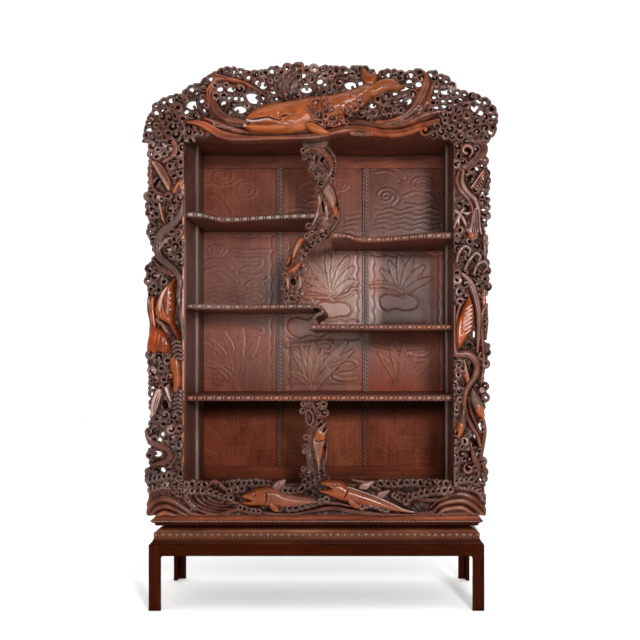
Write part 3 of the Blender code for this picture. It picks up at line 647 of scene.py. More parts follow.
def flow(carving, poly, spacing, seed, y, length=(14, 30), width=(1.2, 2.1), lead=None, avoid=(), tries=2500, back=-0.170, slots=0.35):
    """Overlapping strands of running water that fill an outline, with dark slots let in between some of them."""
    pts, rng = scatter(poly, spacing, seed, avoid, tries)
    poly = np.asarray(poly, float)
    lines = []
    for u, v in pts:
        run = rng.uniform(*length) / 9
        a = math.radians(lead(u, v) if lead else 90 + 35 * math.sin(v * 0.06 + u * 0.11)) + rng.uniform(-0.35, 0.35)
        bend, snake = rng.uniform(-0.10, 0.10), rng.uniform(0.05, 0.24) * (1 if rng.random() < 0.5 else -1)
        w, yy, lab = rng.uniform(*width), y + rng.uniform(-0.0035, 0.0025), (FOAM if rng.random() < 0.55 else WAVE)
        path = [(u, v)]
        for i in range(9):
            a += bend + snake * math.cos(i * 0.9)
            u, v = u + run * math.cos(a), v - run * math.sin(a)
            here = np.array([u]), np.array([v])
            if not inside(poly, *here)[0] or any((np.hypot(u - g[0][0], v - g[0][1]) if len(g) == 1 else line_distance(np.asarray(g, float), *here)[0]) < gap * 0.8 for g, gap in avoid):
                break
            path.append((u, v))
        if len(path) < 4:
            continue
        lines.append((path, w))
        carving.band(path, [w * 0.45, w, w * 1.15, w, w * 0.4], yy, back, ridges=1, amp=0.0016, crown=0.004, label=lab, soft=0.0035)
    for path, w in lines:
        if rng.random() < slots:
            (ua, va), (ub, vb) = path[1], path[3]
            m = math.hypot(ub - ua, vb - va) or 1
            side = (w + 0.6) * (1 if rng.random() < 0.5 else -1)
            carving.pierce((ua + ub) / 2 - (vb - va) / m * side, (va + vb) / 2 + (ub - ua) / m * side, 0.9, 2.6, math.degrees(math.atan2(va - vb, ub - ua)) - 90, y=y, through=(-0.3, back + 0.004), label=DEEP)
    return [path for path, w in lines]


def curls(carving, places, y, size=2.6, r=1.2, deep=0.006, pit=None, label=FOAM, tail=0.55, knobs=0.35):
    """Foam curls set one by one: (across, down, start angle, sweep[, size])."""
    specs = []
    for n, p in enumerate(places):
        s = p[4] if len(p) > 4 else size
        specs.append((p[0], p[1], s, p[2], p[3] * 0.95, r * (0.70 + 0.30 * s / size), y + 0.0012 * math.sin(n * 2.1), label))
    roll(carving, specs, pit, deep, tail, knobs=knobs)


def foam_row(carving, pts, size, y, start=200, sweep=-300, r=1.15, deep=0.006, every=2.0, label=FOAM, pit=None, tail=0.7, tall=1.0):
    """A file of foam curls along a line, each turned with the line."""
    line = spline(pts, 0.5)
    ln = np.concatenate([[0], np.cumsum(np.hypot(*(line[1:] - line[:-1]).T))])
    n = max(2, int(round(ln[-1] / (size * every))) + 1)
    specs = []
    for i in range(n):
        q = ln[-1] * i / (n - 1)
        u, v = np.interp(q, ln, line[:, 0]), np.interp(q, ln, line[:, 1])
        du = np.interp(q + 0.6, ln, line[:, 0]) - np.interp(q - 0.6, ln, line[:, 0])
        dv = np.interp(q + 0.6, ln, line[:, 1]) - np.interp(q - 0.6, ln, line[:, 1])
        a = math.degrees(math.atan2(-dv, du))
        wob = math.sin(i * 2.3 + u)
        specs.append((u, v, size * (1 + 0.10 * wob), start + a + 14 * wob, sweep * 0.75, r, y + 0.0015 * wob, label))
    roll(carving, specs, pit, deep, tail, tall)


def ladder(carving, pts, half, y, n, r=0.8, bow=0.8, deep=0.005, label=FOAM):
    """Short bowed ribs set across a line, as on a crinkled frill."""
    line = spline(pts, 0.5)
    ln = np.concatenate([[0], np.cumsum(np.hypot(*(line[1:] - line[:-1]).T))])
    for i in range(n):
        q = ln[-1] * (i + 0.5) / n
        u, v = np.interp(q, ln, line[:, 0]), np.interp(q, ln, line[:, 1])
        du = np.interp(q + 0.5, ln, line[:, 0]) - np.interp(q - 0.5, ln, line[:, 0])
        dv = np.interp(q + 0.5, ln, line[:, 1]) - np.interp(q - 0.5, ln, line[:, 1])
        m = math.hypot(du, dv) or 1
        du, dv = du / m, dv / m
        w = half if np.isscalar(half) else np.interp((i + 0.5) / n, np.linspace(0, 1, len(half)), half)
        carving.tube([(u - dv * w, v + du * w), (u + du * bow, v + dv * bow), (u + dv * w, v - du * w)], [r * 0.8, r, r * 0.8], y, deep, label)


def rolled_edge(carving, line, y, pitch=6.8, size=2.9, r=1.2, holes=(), side=1, deep=0.007, label=FOAM, lace=False):
    """Scallops of rolled foam along a silhouette; the wood lies to the right of the line's run when side is 1."""
    edge = spline(line, 0.5)
    ln = np.concatenate([[0], np.cumsum(np.hypot(*(edge[1:] - edge[:-1]).T))])
    q, n = pitch * 0.5, 0
    while q < ln[-1]:
        u, v = np.interp(q, ln, edge[:, 0]), np.interp(q, ln, edge[:, 1])
        du = np.interp(q + 1, ln, edge[:, 0]) - np.interp(q - 1, ln, edge[:, 0])
        dv = np.interp(q + 1, ln, edge[:, 1]) - np.interp(q - 1, ln, edge[:, 1])
        m = math.hypot(du, dv) or 1
        nu, nv = -dv / m * side, du / m * side      # towards the wood
        R = size * (1 + 0.30 * math.sin(n * 2.1))
        cu, cv = u + nu * (R + r * 0.9), v + nv * (R + r * 0.9)
        out = math.degrees(math.atan2(nv, -nu))
        near = any(math.hypot(cu - h[0], cv - h[1]) < max(h[2], h[3]) + 1.2 for h in holes)
        hand = 1 if (n * 7) % 5 < 3 else -1
        if not near:
            carving.lump(cu, cv, R + 0.9 * r, y + 0.003, label)
            if lace and n % 3:
                carving.pierce(cu, cv, R * 0.74, R * 0.60, 40 * n, y=y)
            else:
                carving.pierce(cu, cv, R * 0.52, y=y, through=(-0.3, y + 0.012), label=DEEP)
        carving.hook(cu, cv, R, out - hand * 125, hand * (215 if near else 250), r * 1.1, y + 0.003 * math.sin(n * 1.7), deep, label, curl=0.12 if near else 0.42)
        q += pitch * (1 + 0.15 * math.sin(n * 3.3))
        n += 1


def rims(carving, holes, y, seed, r=1.0, deep=0.006, label=FOAM):
    """Rounded wood round each piercing, with a small curl hanging in the larger ones."""
    rng = np.random.default_rng(seed)
    for n, (u, v, a, b, turn) in enumerate(holes):
        yy = y + rng.uniform(-0.003, 0.003)
        c, s = math.cos(math.radians(turn)), math.sin(math.radians(turn))
        q0 = rng.uniform(0, 6.28)
        ring = []
        for f in np.linspace(0, 1, 17):
            q = q0 + f * 5.9
            grow = 0.75 + 0.55 * f
            ring.append((u + (a + grow) * math.cos(q) * c + (b + grow) * math.sin(q) * s, v - (a + grow) * math.cos(q) * s + (b + grow) * math.sin(q) * c))
        carving.tube(ring, [0.85 * r, r, 1.1 * r, 0.9 * r], yy, deep, label)
        if max(a, b) > 3.3 and min(a, b) > 2.2:
            q = rng.uniform(0, 6.28)
            carving.curl(u + 0.50 * a * math.cos(q), v - 0.50 * b * math.sin(q), 1.35, math.degrees(q) + 20, 290, 0.62, yy, 0.005, label, tail=1.4)


# ---------------------------------------------------------------- crest
CREST_TOP = [
    (143.0, 140.0), (142.6, 133.6), (145.5, 122.7), (147.3, 117.9), (152.1, 109.4), (161.8, 98.5), (175, 93.6), (180, 92.4), (190.9, 83.9), (199.4, 82.5), (205.4, 76.7), (212.7, 72.0),
    (217.6, 68.6), (227.2, 66.4), (236.9, 67), (246.6, 70), (253.9, 70.6), (261.2, 70), (268.4, 67), (274.5, 65.1), (280.6, 66.4), (284.2, 69.4), (287.8, 67), (292.7, 62.9),
    (298.7, 62.3), (303, 65.8), (303.6, 69.4), (313.3, 73), (319.3, 67), (326.6, 64.5), (333, 65.9), (338, 68.5), (347, 67.9), (353.4, 65.3), (364.8, 65.6), (373.8, 69.1),
    (377.6, 71.7), (382.7, 69.1), (391.6, 68.5), (401.8, 69.8), (406.9, 70.4), (419.7, 67.6), (424.8, 71), (434.4, 69.4), (441.4, 73.6), (447.8, 75.5), (454.1, 83.2),
    (456.7, 88.3), (468.2, 90.8), (479.6, 94.6), (488.6, 98.5), (492.4, 104.8), (496.9, 111.2), (498.8, 117.6), (498.1, 124), (495.6, 134.2), (492.4, 138), (489, 143),
]
CREST_FOOT = [
    (487, 143.6), (454, 143.6), (450, 138.0), (436, 137.4), (424, 136.4), (418, 131), (400, 135), (385, 135.5), (370, 132), (356, 130.5), (345, 131.5), (335, 134), (322, 138),
    (300, 139.5), (270, 139.5), (243, 139), (225, 137.5), (212, 134), (203, 137.4), (186, 139.6), (185, 143.6), (148, 143.6),
]
# piercings that show daylight: (across, down, half width, half height, turn)
CREST_HOLES = [
    (163, 103, 3.2, 2.0, 25), (156.6, 106.6, 2.6, 1.7, 30), (149.4, 123.4, 1.6, 1.8, 0), (151.5, 119, 2.4, 2.0, 0), (155.4, 116.2, 1.5, 1.3, 0), (162.4, 110.6, 2.0, 1.3, 35), (191.5, 94, 2.2, 1.4, 30),
    (198, 94, 2.2, 1.6, -30), (193, 105.4, 6.0, 4.4, 0), (202, 101.5, 2.4, 2.0, 0), (187, 112, 2.2, 2.4, 0), (202, 111.4, 3.6, 3.2, 0), (206.3, 81.6, 2.6, 1.9, 10),
    (220, 89.6, 2.8, 2.6, 0), (231.5, 89.4, 4.2, 2.6, 15), (225.6, 72, 1.8, 1.2, 0), (233, 72.3, 2.4, 2.0, 20), (242, 73, 3.4, 2.2, -25), (239, 76.2, 2.4, 0.9, -20),
    (248.5, 77.6, 2.0, 2.0, 0), (257.6, 83, 2.4, 2.4, 0), (263.2, 85.6, 4.0, 3.6, 0), (274.4, 90.4, 4.0, 4.0, 0), (253.0, 98.8, 8.0, 5.0, -20), (262.4, 97.4, 2.6, 3.2, 0),
    (236, 98.6, 2.4, 1.9, 0), (229.6, 99, 1.8, 2.4, 0), (242.6, 99.2, 2.8, 2.2, 20), (224, 104.5, 2.4, 3.4, 10), (240, 110, 5.8, 3.6, -10), (261, 103.4, 1.9, 1.5, 0),
    (278, 99, 3.0, 1.6, 0), (269, 73.6, 2.6, 1.9, 0), (300.6, 66.2, 1.9, 2.4, 0), (306.6, 90.5, 5.4, 3.0, 0), (306, 84.8, 2.0, 1.7, 0), (320, 82.2, 3.2, 2.4, 30),
    (325, 84.6, 1.6, 1.5, 0), (323, 70, 2.6, 1.6, 15), (319, 76.4, 1.8, 1.7, 0), (350.5, 86, 6.4, 4.0, 0), (360.6, 84.2, 3.0, 2.6, 0), (365.5, 68.5, 1.5, 1.2, 0),
    (356, 69.4, 2.2, 1.4, 0), (380.6, 77, 2.8, 1.9, 0), (389, 75.2, 2.6, 2.3, 0), (395, 74, 1.5, 1.2, 0), (409, 83, 2.7, 3.2, 0), (418.4, 84.8, 3.0, 2.8, 0),
    (405, 88.6, 8.4, 2.1, 18), (395, 94.6, 2.4, 2.0, 0), (406.6, 96.6, 2.0, 1.8, 0), (401, 99.7, 2.2, 2.4, 0), (407.6, 102, 4.0, 3.0, 35), (373, 106, 3.4, 2.6, 25),
    (398, 106, 1.6, 1.6, 0), (441, 78.2, 2.2, 1.5, -25), (446.5, 82, 2.2, 1.6, -30), (446, 91.5, 5.6, 3.2, 0), (436, 91.5, 2.2, 1.9, 0), (434, 98, 2.0, 1.6, 0),
    (458, 93.2, 2.2, 2.0, 0), (464.8, 96, 2.0, 2.4, 0), (462, 99.4, 4.2, 1.6, -12), (478, 102, 2.8, 2.0, -20), (486, 104, 3.2, 2.0, -40), (474.5, 108, 3.6, 4.4, 15),
    (480, 113, 2.9, 2.7, 0), (493.6, 117.8, 1.9, 2.6, -20), (443, 106.6, 3.2, 1.7, 5), (437, 107.8, 3.4, 1.4, 0), (443, 101.2, 2.0, 1.4, 0), (450, 101.2, 1.7, 1.4, 0),
]
RAIL_LINE = [(187, 121.5), (199, 122.5), (209, 127), (219, 133), (231, 136.3), (246, 137.4), (270, 137.2), (296, 136.6), (316, 135), (330, 131.4), (342, 128.6), (355, 127.6), (369, 129.4), (384, 132.6), (400, 132.2), (414, 128.6), (427, 123.6), (439, 119.6)]
SWELL_LINE = [(204, 118), (216, 122), (228, 127.4), (243, 131.6), (262, 133.8), (290, 133.5), (312, 131), (328, 126), (344, 122.4), (358, 122), (374, 124.4), (392, 125.4), (408, 121.6), (424, 114.6), (440, 111)]
LEFT_ARM = [(247, 122), (238, 120.6), (226, 117.4), (218, 111.6), (212, 102.5), (209.4, 95), (209.6, 89)]
LEFT_ARM_IN = [(247, 126.5), (234, 124.6), (221, 121), (212.6, 113.4), (206.4, 103.5), (203.6, 94)]
LEFT_CREST = [(212.4, 71.6), (220, 74.6), (229, 77), (238, 79.6), (247, 83.4), (256, 89), (264, 95), (272, 100)]
LEFT_CREST_LOW = [(213, 83), (222, 81.6), (231, 82), (240, 84.6), (248, 88.6), (254, 92.5)]
RIGHT_ARM = [(376, 121.6), (388, 121.4), (399, 118.6), (409, 112.4), (416.6, 104), (422.4, 94), (426.4, 84), (427, 76.6), (423.6, 70.6)]
RIGHT_ARM_OUT = [(402, 121.8), (412, 117.6), (420, 111), (426.4, 102), (430.6, 92), (432.4, 83.6), (430.6, 77)]
WHALE = [
    (245.5, 116.8), (249, 112.5), (252.7, 109), (258, 106.5), (264, 103.8), (271, 101.5), (278, 101.6), (285, 100.5), (294, 98.5), (304, 96.5), (313, 95.3), (322, 94.6),
    (331, 93.6), (342, 90.8), (352, 87.6), (360, 84.4), (366, 82.6), (372, 84), (376, 87), (377, 91), (374, 95.4), (370, 100), (365.5, 104), (360, 107.6), (354, 111), (346, 115),
    (337, 119), (328, 122.5), (318, 126), (310, 128.5), (300, 131.3), (290, 133.2), (278, 133.6), (266, 133), (256, 131.8), (249, 130.6), (244.6, 128), (242.4, 124.4), (246, 123.4), (248.4, 122.0), (246.2, 119.8),
]
FLUKE_UP = [(364, 86), (362, 80), (360.6, 74), (361.4, 69.4), (364.4, 67.8), (367.4, 70.4), (369.4, 73.4), (372.4, 71.4), (376, 72.6), (378.2, 76.4), (377.6, 81), (375.4, 86), (371, 88)]
FLUKE_OUT = [(366, 88), (373, 82.6), (380, 79), (388, 77.4), (395, 79.2), (400.4, 83.4), (406, 86.4), (402, 89.6), (396, 91.4), (390, 91), (384, 93), (378, 96), (370, 97)]

LEFT_C = [(162, 126), (166, 133), (172, 139.5), (175.4, 147), (172, 155.5), (163, 161.5)]
RIGHT_C = [(462, 131.6), (467, 134.4), (474, 138), (481, 143), (483.6, 149), (480.3, 155), (473.4, 161.2), (465.8, 166.6), (460.6, 169)]
CELL = 0.0023  # cell size of the openwork
GROUND = -0.1940
x0, z1 = at(140, 60, -0.175)
x1, z0 = at(501, 145, -0.175)
crest = Carving((max(x0, -0.7245), min(x1, 0.7245)), (z0, min(z1, 2.2120)), (-0.2370, -0.1605), CELL)
pull = [(u + (3.2 if u < 200 else (-3.2 if u > 440 else 0)) * (1 if v < 134 else 0.4), v + 2.6 * (1 if v < 134 else 0)) for u, v in CREST_TOP]
crest.slab(pull + CREST_FOOT, GROUND, -0.1608, label=FOAM, lumps=0.004)
keep_off = [(spline(RAIL_LINE), 4.4), (spline(SWELL_LINE), 3.6), (spline(LEFT_ARM), 4.6), (spline(LEFT_CREST), 3.8), (spline(LEFT_CREST_LOW), 2.6), (spline(RIGHT_ARM), 5.2), (spline(RIGHT_ARM_OUT), 3.6), (spline(LEFT_ARM_IN), 2.8),
            (closed_spline(WHALE), 1.2), (closed_spline(FLUKE_UP), 1.2), (closed_spline(FLUKE_OUT), 1.2)]
keep_holes = [([(u, v)], (a + b) / 2 + 3.1) for u, v, a, b, turn in CREST_HOLES]
# the larger breakers, set one by one: (across, down, start angle, sweep, size)
BREAKERS = [
    (178.8, 108.4, 130, -270, 4.2), (175.2, 117.0, 80, -260, 2.9), (169.4, 118.2, 75, -260, 3.0), (172.4, 126.6, 40, -300, 4.2), (188.6, 132.0, 60, -300, 3.0), (194.6, 133.4, 60, -300, 2.9), (200.4, 134.0, 60, -300, 2.6),
    (182.4, 129.6, 70, -290, 2.6), (147.9, 127.4, 100, 290, 2.5), (158.4, 133.4, 20, -330, 3.4), (156.2, 126.0, 60, 280, 2.6), (164.6, 123.6, 110, -270, 2.6), (150.6, 135.0, 90, 280, 2.5), (164.0, 138.6, 40, -290, 2.7),
    (166.0, 110.0, 60, -260, 2.5), (171.4, 103.0, 40, 250, 2.4), (185.6, 100.6, 120, -260, 2.6), (196.0, 87.4, 70, 270, 2.8), (203.0, 88.6, 60, -260, 2.5), (181.0, 97.0, 100, 250, 2.3), (207.0, 106.0, 200, 240, 2.4),
    (458.4, 110.8, 100, 270, 3.6), (466.9, 116.4, 130, 330, 4.0), (477.2, 121.6, 60, 300, 3.4), (469.0, 126.8, 60, 290, 3.3), (460.2, 126.4, 110, 270, 3.5), (450.4, 128.6, 180, 280, 3.6), (441.6, 131.6, 185, 280, 3.5),
    (433.4, 135.0, 180, 290, 3.2), (449.6, 108.6, 120, 270, 3.2), (484.8, 128.2, 200, -290, 3.6), (477.0, 131.8, 190, -290, 3.3), (490.4, 121.4, 100, -290, 2.8), (469.4, 134.6, 80, 290, 3.2),
    (486.8, 137.0, 60, -290, 3.2), (455.0, 118.8, 110, 280, 3.3), (445.4, 121.4, 160, 280, 3.3), (461.0, 136.4, 70, 290, 3.4), (452.4, 137.0, 120, 280, 3.0),
    (419.2, 108.0, 200, 290, 3.0), (368.0, 110.0, 170, 290, 2.6), (381.8, 106.2, 100, 300, 2.1), (386.6, 104.8, 60, 300, 2.0), (384.0, 113.2, 120, 300, 2.3), (394.6, 111.4, 90, 300, 2.5), (390.0, 107.6, 30, -280, 1.9),
    (351.6, 74.4, 40, 300, 3.0), (339.4, 82.0, 20, 320, 3.6), (400.0, 77.4, 80, 310, 2.7), (414.4, 76.6, 60, -290, 2.6), (436.4, 85.2, 130, 290, 2.6), (345.6, 77.6, 90, -270, 2.4), (331.0, 78.2, 70, 270, 2.3),
    (317.4, 88.6, 90, 280, 2.3), (328.4, 89.4, 110, -270, 2.2), (276.6, 79.6, 120, 260, 2.4), (270.6, 82.0, 60, -260, 2.3),
]
keep_holes += [([(b[0], b[1])], b[4] + 3.0) for b in BREAKERS]
PIT = -0.1690

flow(crest, [(149, 141), (151, 124), (160, 110), (172, 102), (184, 98), (200, 92), (205, 104), (203, 114), (188, 122), (200, 134), (186, 141)], 5.2, 301, -0.1960, lead=lambda u, v: 30 + 40 * math.sin(v * 0.1), avoid=keep_off + keep_holes, slots=0.2)
flow(crest, [(438, 120), (432, 108), (436, 90), (446, 84), (457, 95), (478, 102), (488, 110), (492, 122), (486, 136), (456, 141), (440, 134), (424, 133)], 5.2, 302, -0.1960, lead=lambda u, v: 150 + 40 * math.sin(v * 0.1), avoid=keep_off + keep_holes, slots=0.2)
foam(crest, [(146, 143), (149, 120), (164, 103), (180, 97), (200, 88), (206, 96), (204, 112), (190, 122), (203, 136), (186, 143)], 6.4, 3, -0.1985, size=(2.4, 3.6), r=(0.85, 1.15), avoid=keep_off + keep_holes, pit=PIT, lead=lambda u, v: 80.0)
foam(crest, [(436, 120), (430, 108), (434, 90), (432, 76), (446, 79), (457, 92), (480, 99), (490, 108), (495, 120), (490, 136), (486, 143), (454, 143), (450, 137), (440, 136.4), (424, 135), (420, 131)], 6.6, 4, -0.1985, size=(2.5, 3.8), r=(0.90, 1.2), avoid=keep_off + keep_holes, pit=PIT, lead=lambda u, v: 110.0)
foam(crest, [(208, 80), (228, 70), (262, 73), (276, 69), (300, 66), (330, 69), (356, 70), (376, 75), (400, 73), (424, 75), (420, 96), (404, 114), (380, 122), (360, 120), (340, 94), (300, 98), (262, 104), (246, 116), (224, 118), (212, 106), (206, 90)],
     6.2, 5, -0.1960, avoid=keep_off + keep_holes, size=(2.0, 3.3), r=(0.75, 1.10), tries=9000, pit=PIT)
curls(crest, BREAKERS, -0.2020, size=3.0, r=1.0, pit=PIT, tail=1.0)
for u, v, a, b, turn in CREST_HOLES:
    crest.pierce(u, v, a + 0.5, b + 0.5, turn)
rims(crest, CREST_HOLES, -0.1850, 11)
rolled_edge(crest, CREST_TOP, -0.1900, pitch=7.4, size=3.3, holes=CREST_HOLES, lace=True)

# plume over the whale's back, and the swirls either side
crest.pillow([(279, 100), (277.6, 91), (279.6, 81), (284, 73), (289, 67), (295.6, 62.9), (301.6, 63.4), (304, 67.4), (301, 71), (298.6, 75), (302, 82), (301, 91), (299, 99)], -0.2060, -0.1690, 6.0, label=FOAM, power=2.0)
for line in ([(283, 98), (281.6, 88), (285, 78), (291.4, 70.6), (298, 66.6)], [(292, 98), (289.4, 90), (291.4, 82), (296.6, 76)]):
    crest.groove(line, [0.3, 0.55, 0.5, 0.3], -0.2060, 0.003)
crest.curl(300.4, 67.4, 2.6, 110, -260, 1.1, -0.2020, 0.006, WAVE)
crest.band([(277.4, 93), (274.4, 84), (274.4, 76), (277.6, 70)], [1.8, 2.4, 2.0, 1.1], -0.1970, -0.1700, ridges=1, label=FOAM)
for line, w in (([(341, 93), (336, 87), (332, 81), (331, 74.5), (335, 70), (341, 70.6)], [2.8, 2.8, 2.0, 1.1]), ([(347, 92), (343, 86), (340.6, 80), (343, 75), (348, 74)], [2.2, 2.2, 1.3]),
                ([(318, 92), (314, 86), (312, 80), (314, 75.6), (318.6, 73)], [2.2, 2.4, 1.1]), ([(372, 112), (380, 108), (386, 101), (393, 98), (401, 95.5), (414, 92)], [3.2, 3.6, 2.6, 1.0]),
                ([(376, 116), (386, 113), (393, 107.6), (399, 104)], [2.4, 2.8, 1.2]), ([(251, 117), (243, 117), (234, 115), (228, 110), (227, 103), (231, 98)], [2.6, 3.0, 2.6, 1.1]),
                ([(256, 107), (250, 104.6), (246, 100), (243, 94), (237, 92), (230, 93.5)], [1.7, 2.0, 1.7, 1.0]), ([(175, 121), (182, 117), (190, 117.6), (199, 119), (205, 116)], [1.8, 2.4, 2.2, 1.3]),
                ([(170, 112), (176, 106), (183, 101), (186, 95), (183, 91)], [1.9, 2.4, 2.0, 1.1]), ([(204, 116), (199, 107), (197, 99), (199, 90)], [1.9, 2.5, 1.9, 1.1]),
                ([(446, 113), (456, 108), (466, 107), (472, 101), (470, 95)], [1.7, 2.5, 2.1, 1.1]), ([(434, 86), (442, 87), (451, 86), (455, 90)], [1.7, 2.1, 1.3])):
    crest.band(line, w, -0.1990, -0.1680, ridges=2, label=FOAM)

# ribbed waves
crest.band(LEFT_C, [1.5, 2.0, 2.1, 1.8, 1.2], -0.2060, -0.1680, ridges=2)
crest.band(RIGHT_C, [2.0, 3.4, 4.0, 3.6, 2.8, 1.6], -0.2070, -0.1680, ridges=3)
crest.band(LEFT_ARM_IN, [1.4, 2.2, 2.4, 2.2, 1.2], -0.2020, -0.1660, ridges=2)
crest.band(LEFT_ARM, [2.2, 2.8, 3.4, 4.2, 4.6, 4.6, 3.6], -0.2100, -0.1660, ridges=2, amp=0.0022, crown=0.006)
crest.pillow([(205, 93), (206.6, 87.6), (209, 84), (212.6, 78), (213, 73), (220, 73.6), (230, 76.4), (240, 79), (250, 83), (258.6, 88.6), (266, 94), (272, 99.6), (268, 99.4), (259, 94), (250, 89.6), (241, 86), (231, 84), (222, 84), (216.4, 86.4), (214.4, 91), (216, 98), (213, 103), (208.6, 100)],
             -0.2110, -0.1700, 5.0, label=WAVE)
for line in ([(214.4, 75.4), (226, 78.0), (240, 81.6), (252, 87), (263, 94)], [(212.0, 82), (222, 80.2), (234, 81.8), (246, 86.0), (256, 91.6)], [(207.6, 97), (208.6, 89.6), (212.4, 84.6)], [(210.6, 99), (211.6, 92), (214, 87.6)]):
    crest.groove(line, [0.35, 0.6, 0.6, 0.35], -0.2100, 0.0035)
crest.pillow([(336, 129), (352, 122), (372, 117.6), (392, 116.6), (408, 110), (418, 98), (424, 84), (429, 79), (433.6, 84), (431, 98), (424.6, 110), (434, 109.6), (442, 113.6), (434, 121), (418, 128.4), (400, 132.6), (380, 132), (356, 129.4)], -0.2010, -0.1640, 5.0, label=WAVE)
crest.pillow([(180, 121), (190, 118), (202, 119), (214, 124), (228, 130), (244, 133.6), (262, 135.4), (262, 139), (240, 139), (222, 137.4), (210, 133.4), (200, 128.4), (188, 125)], -0.2060, -0.1640, 4.0, label=WAVE)
for k in range(3):
    crest.groove([(184, 121.4 + 1.4 * k), (198, 121.6 + 2.4 * k), (212, 126.6 + 2.6 * k), (228, 132.4 + 1.6 * k), (246, 135.2 + k)], [0.3, 0.5, 0.5, 0.3], -0.2060, 0.003)
crest.band(RIGHT_ARM_OUT, [1.6, 2.6, 3.2, 3.2, 2.4, 0.8], -0.2060, -0.1660, ridges=1)
crest.band(RIGHT_ARM, [1.8, 2.8, 3.6, 4.2, 4.8, 5.0, 4.0, 1.6], -0.2110, -0.1660, ridges=2, amp=0.0026, crown=0.007)
crest.band(SWELL_LINE, [1.4, 3.0, 3.2, 3.2, 3.0, 3.4, 3.8, 4.2, 3.8, 3.6, 4.0, 4.2, 3.6, 1.6], -0.2070, -0.1620, ridges=1, amp=0.0016, crown=0.005)
crest.band(RAIL_LINE, [1.4, 3.6, 4.2, 3.8, 3.0, 2.4, 2.3, 2.6, 3.3, 3.9, 3.9, 3.7, 3.7, 4.0, 4.0, 3.6, 1.8], -0.2160, -0.1615, ridges=2, amp=0.0018, crown=0.0045)

# stippled foam on the swell
for line in ([(211, 121.6), (222, 125.4), (233, 129.6), (246, 132.6)], [(214, 124.4), (224, 128.2)], [(386, 124.2), (400, 122.4), (412, 118.2)], [(322, 121), (336, 118.6)]):
    for u, v in spline(line, 1.9):
        crest.hook(u, v + 0.7 * math.sin(u * 3), 0.80, 100 * math.sin(u * 7), 290, 0.46, -0.2065, 0.002, FOAM)
foam_row(crest, [(351, 133.4), (360, 134.2), (372, 134.4)], 1.1, -0.2080, r=0.6, deep=0.004)
# curls hanging from the two inner corners
foam_row(crest, [(430, 130.6), (436, 128.2), (441.6, 125.4)], 2.4, -0.1960, start=190, sweep=290, pit=PIT, every=2.2, r=0.95)

# foam that laps over the whale
lap = dict(deep=0.006, tail=0.5)
foam(crest, [(309, 101), (318, 98), (328, 101), (331, 109), (327, 117), (318, 119), (310, 115), (307, 108)], 4.6, 21, -0.2315, size=(1.8, 2.4), r=(0.7, 0.95), label=WAVE, **lap)
foam(crest, [(342, 98), (352, 94), (360, 97), (362, 104), (356, 111), (346, 113), (341, 106)], 5.0, 22, -0.2235, size=(1.8, 2.5), r=(0.7, 0.95), label=WAVE, **lap)
crest.band([(322, 118.4), (314, 118), (308.4, 112.6), (308.6, 105), (314, 99.6), (322, 98.6), (329, 101.6), (331.6, 107)], [0.9, 1.4, 1.6, 1.6, 1.5, 1.4, 0.9], -0.2350, -0.2050, ridges=1, label=WAVE)
crest.band([(338, 112), (340, 104), (345, 98.4), (353, 97.4), (357.6, 102), (354, 107), (349, 106)], [1.0, 1.6, 1.8, 1.6, 1.2, 0.8], -0.2290, -0.2000, ridges=1, label=WAVE)
foam(crest, [(320, 120), (332, 116), (344, 117), (346, 122), (332, 125), (321, 127)], 4.2, 23, -0.2230, size=(1.5, 2.0), r=(0.6, 0.8), label=WAVE, **lap)
JOINT_Z = at(0, 143.8, -0.175)[1]
crest.crop(z=(JOINT_Z - 0.0012, 2.2118), y=(-0.2372, -0.1603))
reddened = warm([
    (210, 92, 10, 14, 1.0), (217, 78, 10, 8, 1.0), (236, 82, 20, 7, 0.8), (206, 126, 22, 10, 1.0), (230, 133, 24, 7, 0.9), (262, 137, 44, 5, 0.6), (177, 112, 10, 9, 0.5), (191, 121, 11, 5, 0.6), (152, 128, 6, 8, 0.4),
    (345, 131, 24, 7, 0.9), (384, 132, 30, 8, 1.0), (416, 128, 19, 9, 1.0), (433, 119, 10, 6, 0.8), (424, 90, 12, 26, 0.45), (392, 122, 26, 6, 0.35), (474, 112, 12, 9, 0.35), (338, 76, 9, 8, 0.5), (318, 108, 13, 12, 1.0), (350, 104, 13, 11, 1.0), (333, 121, 14, 6, 1.0), (160, 120, 16, 20, 0.35), (468, 122, 20, 16, 0.30)])


def crest_paint(co, label, tint, t):
    # the swell at either side of the whale is rubbed paler
    u, v = AXIS_U + (co[:, 0] - EYE[0]) / scale_at(-0.205), AXIS_V - (co[:, 2] - EYE[2]) / scale_at(-0.205)
    k = np.zeros(len(co))
    for bu, bv, ru, rv, strength in ((226, 127, 30, 10, 0.75), (206, 124, 18, 9, 0.55), (213, 90, 12, 16, 0.5), (236, 82, 24, 8, 0.5), (392, 121, 34, 7, 0.5), (424, 95, 12, 24, 0.35), (300, 79, 46, 14, 0.45)):
        k = np.maximum(k, strength * np.clip(1.5 - 1.5 * ((u - bu) / ru) ** 2 - 1.5 * ((v - bv) / rv) ** 2, 0, 1))
    return reddened(co, label, tint, t) * (1 + k * (label != DEEP))[:, None]


def crest_polish(co, label):
    # the rail under the whale has gone dull to the right
    u, v = AXIS_U + (co[:, 0] - EYE[0]) / scale_at(-0.205), AXIS_V - (co[:, 2] - EYE[2]) / scale_at(-0.205)
    return 1 - 0.80 * np.clip((u - 340) / 30, 0, 1) * np.clip((446 - u) / 8, 0, 1) * np.clip((v - 112) / 8, 0, 1)


carve_object(crest, "crest_openwork", node="crest_board", paint=crest_paint, polish=crest_polish, most=200000)

# ---------------------------------------------------------------- whale on the crest
FINE = 0.0020
x0, z1 = at(239, 62, -0.205)
x1, z0 = at(410, 138, -0.205)
whale = Carving((x0, x1), (z0, z1), (-0.2375, -0.1880), FINE)


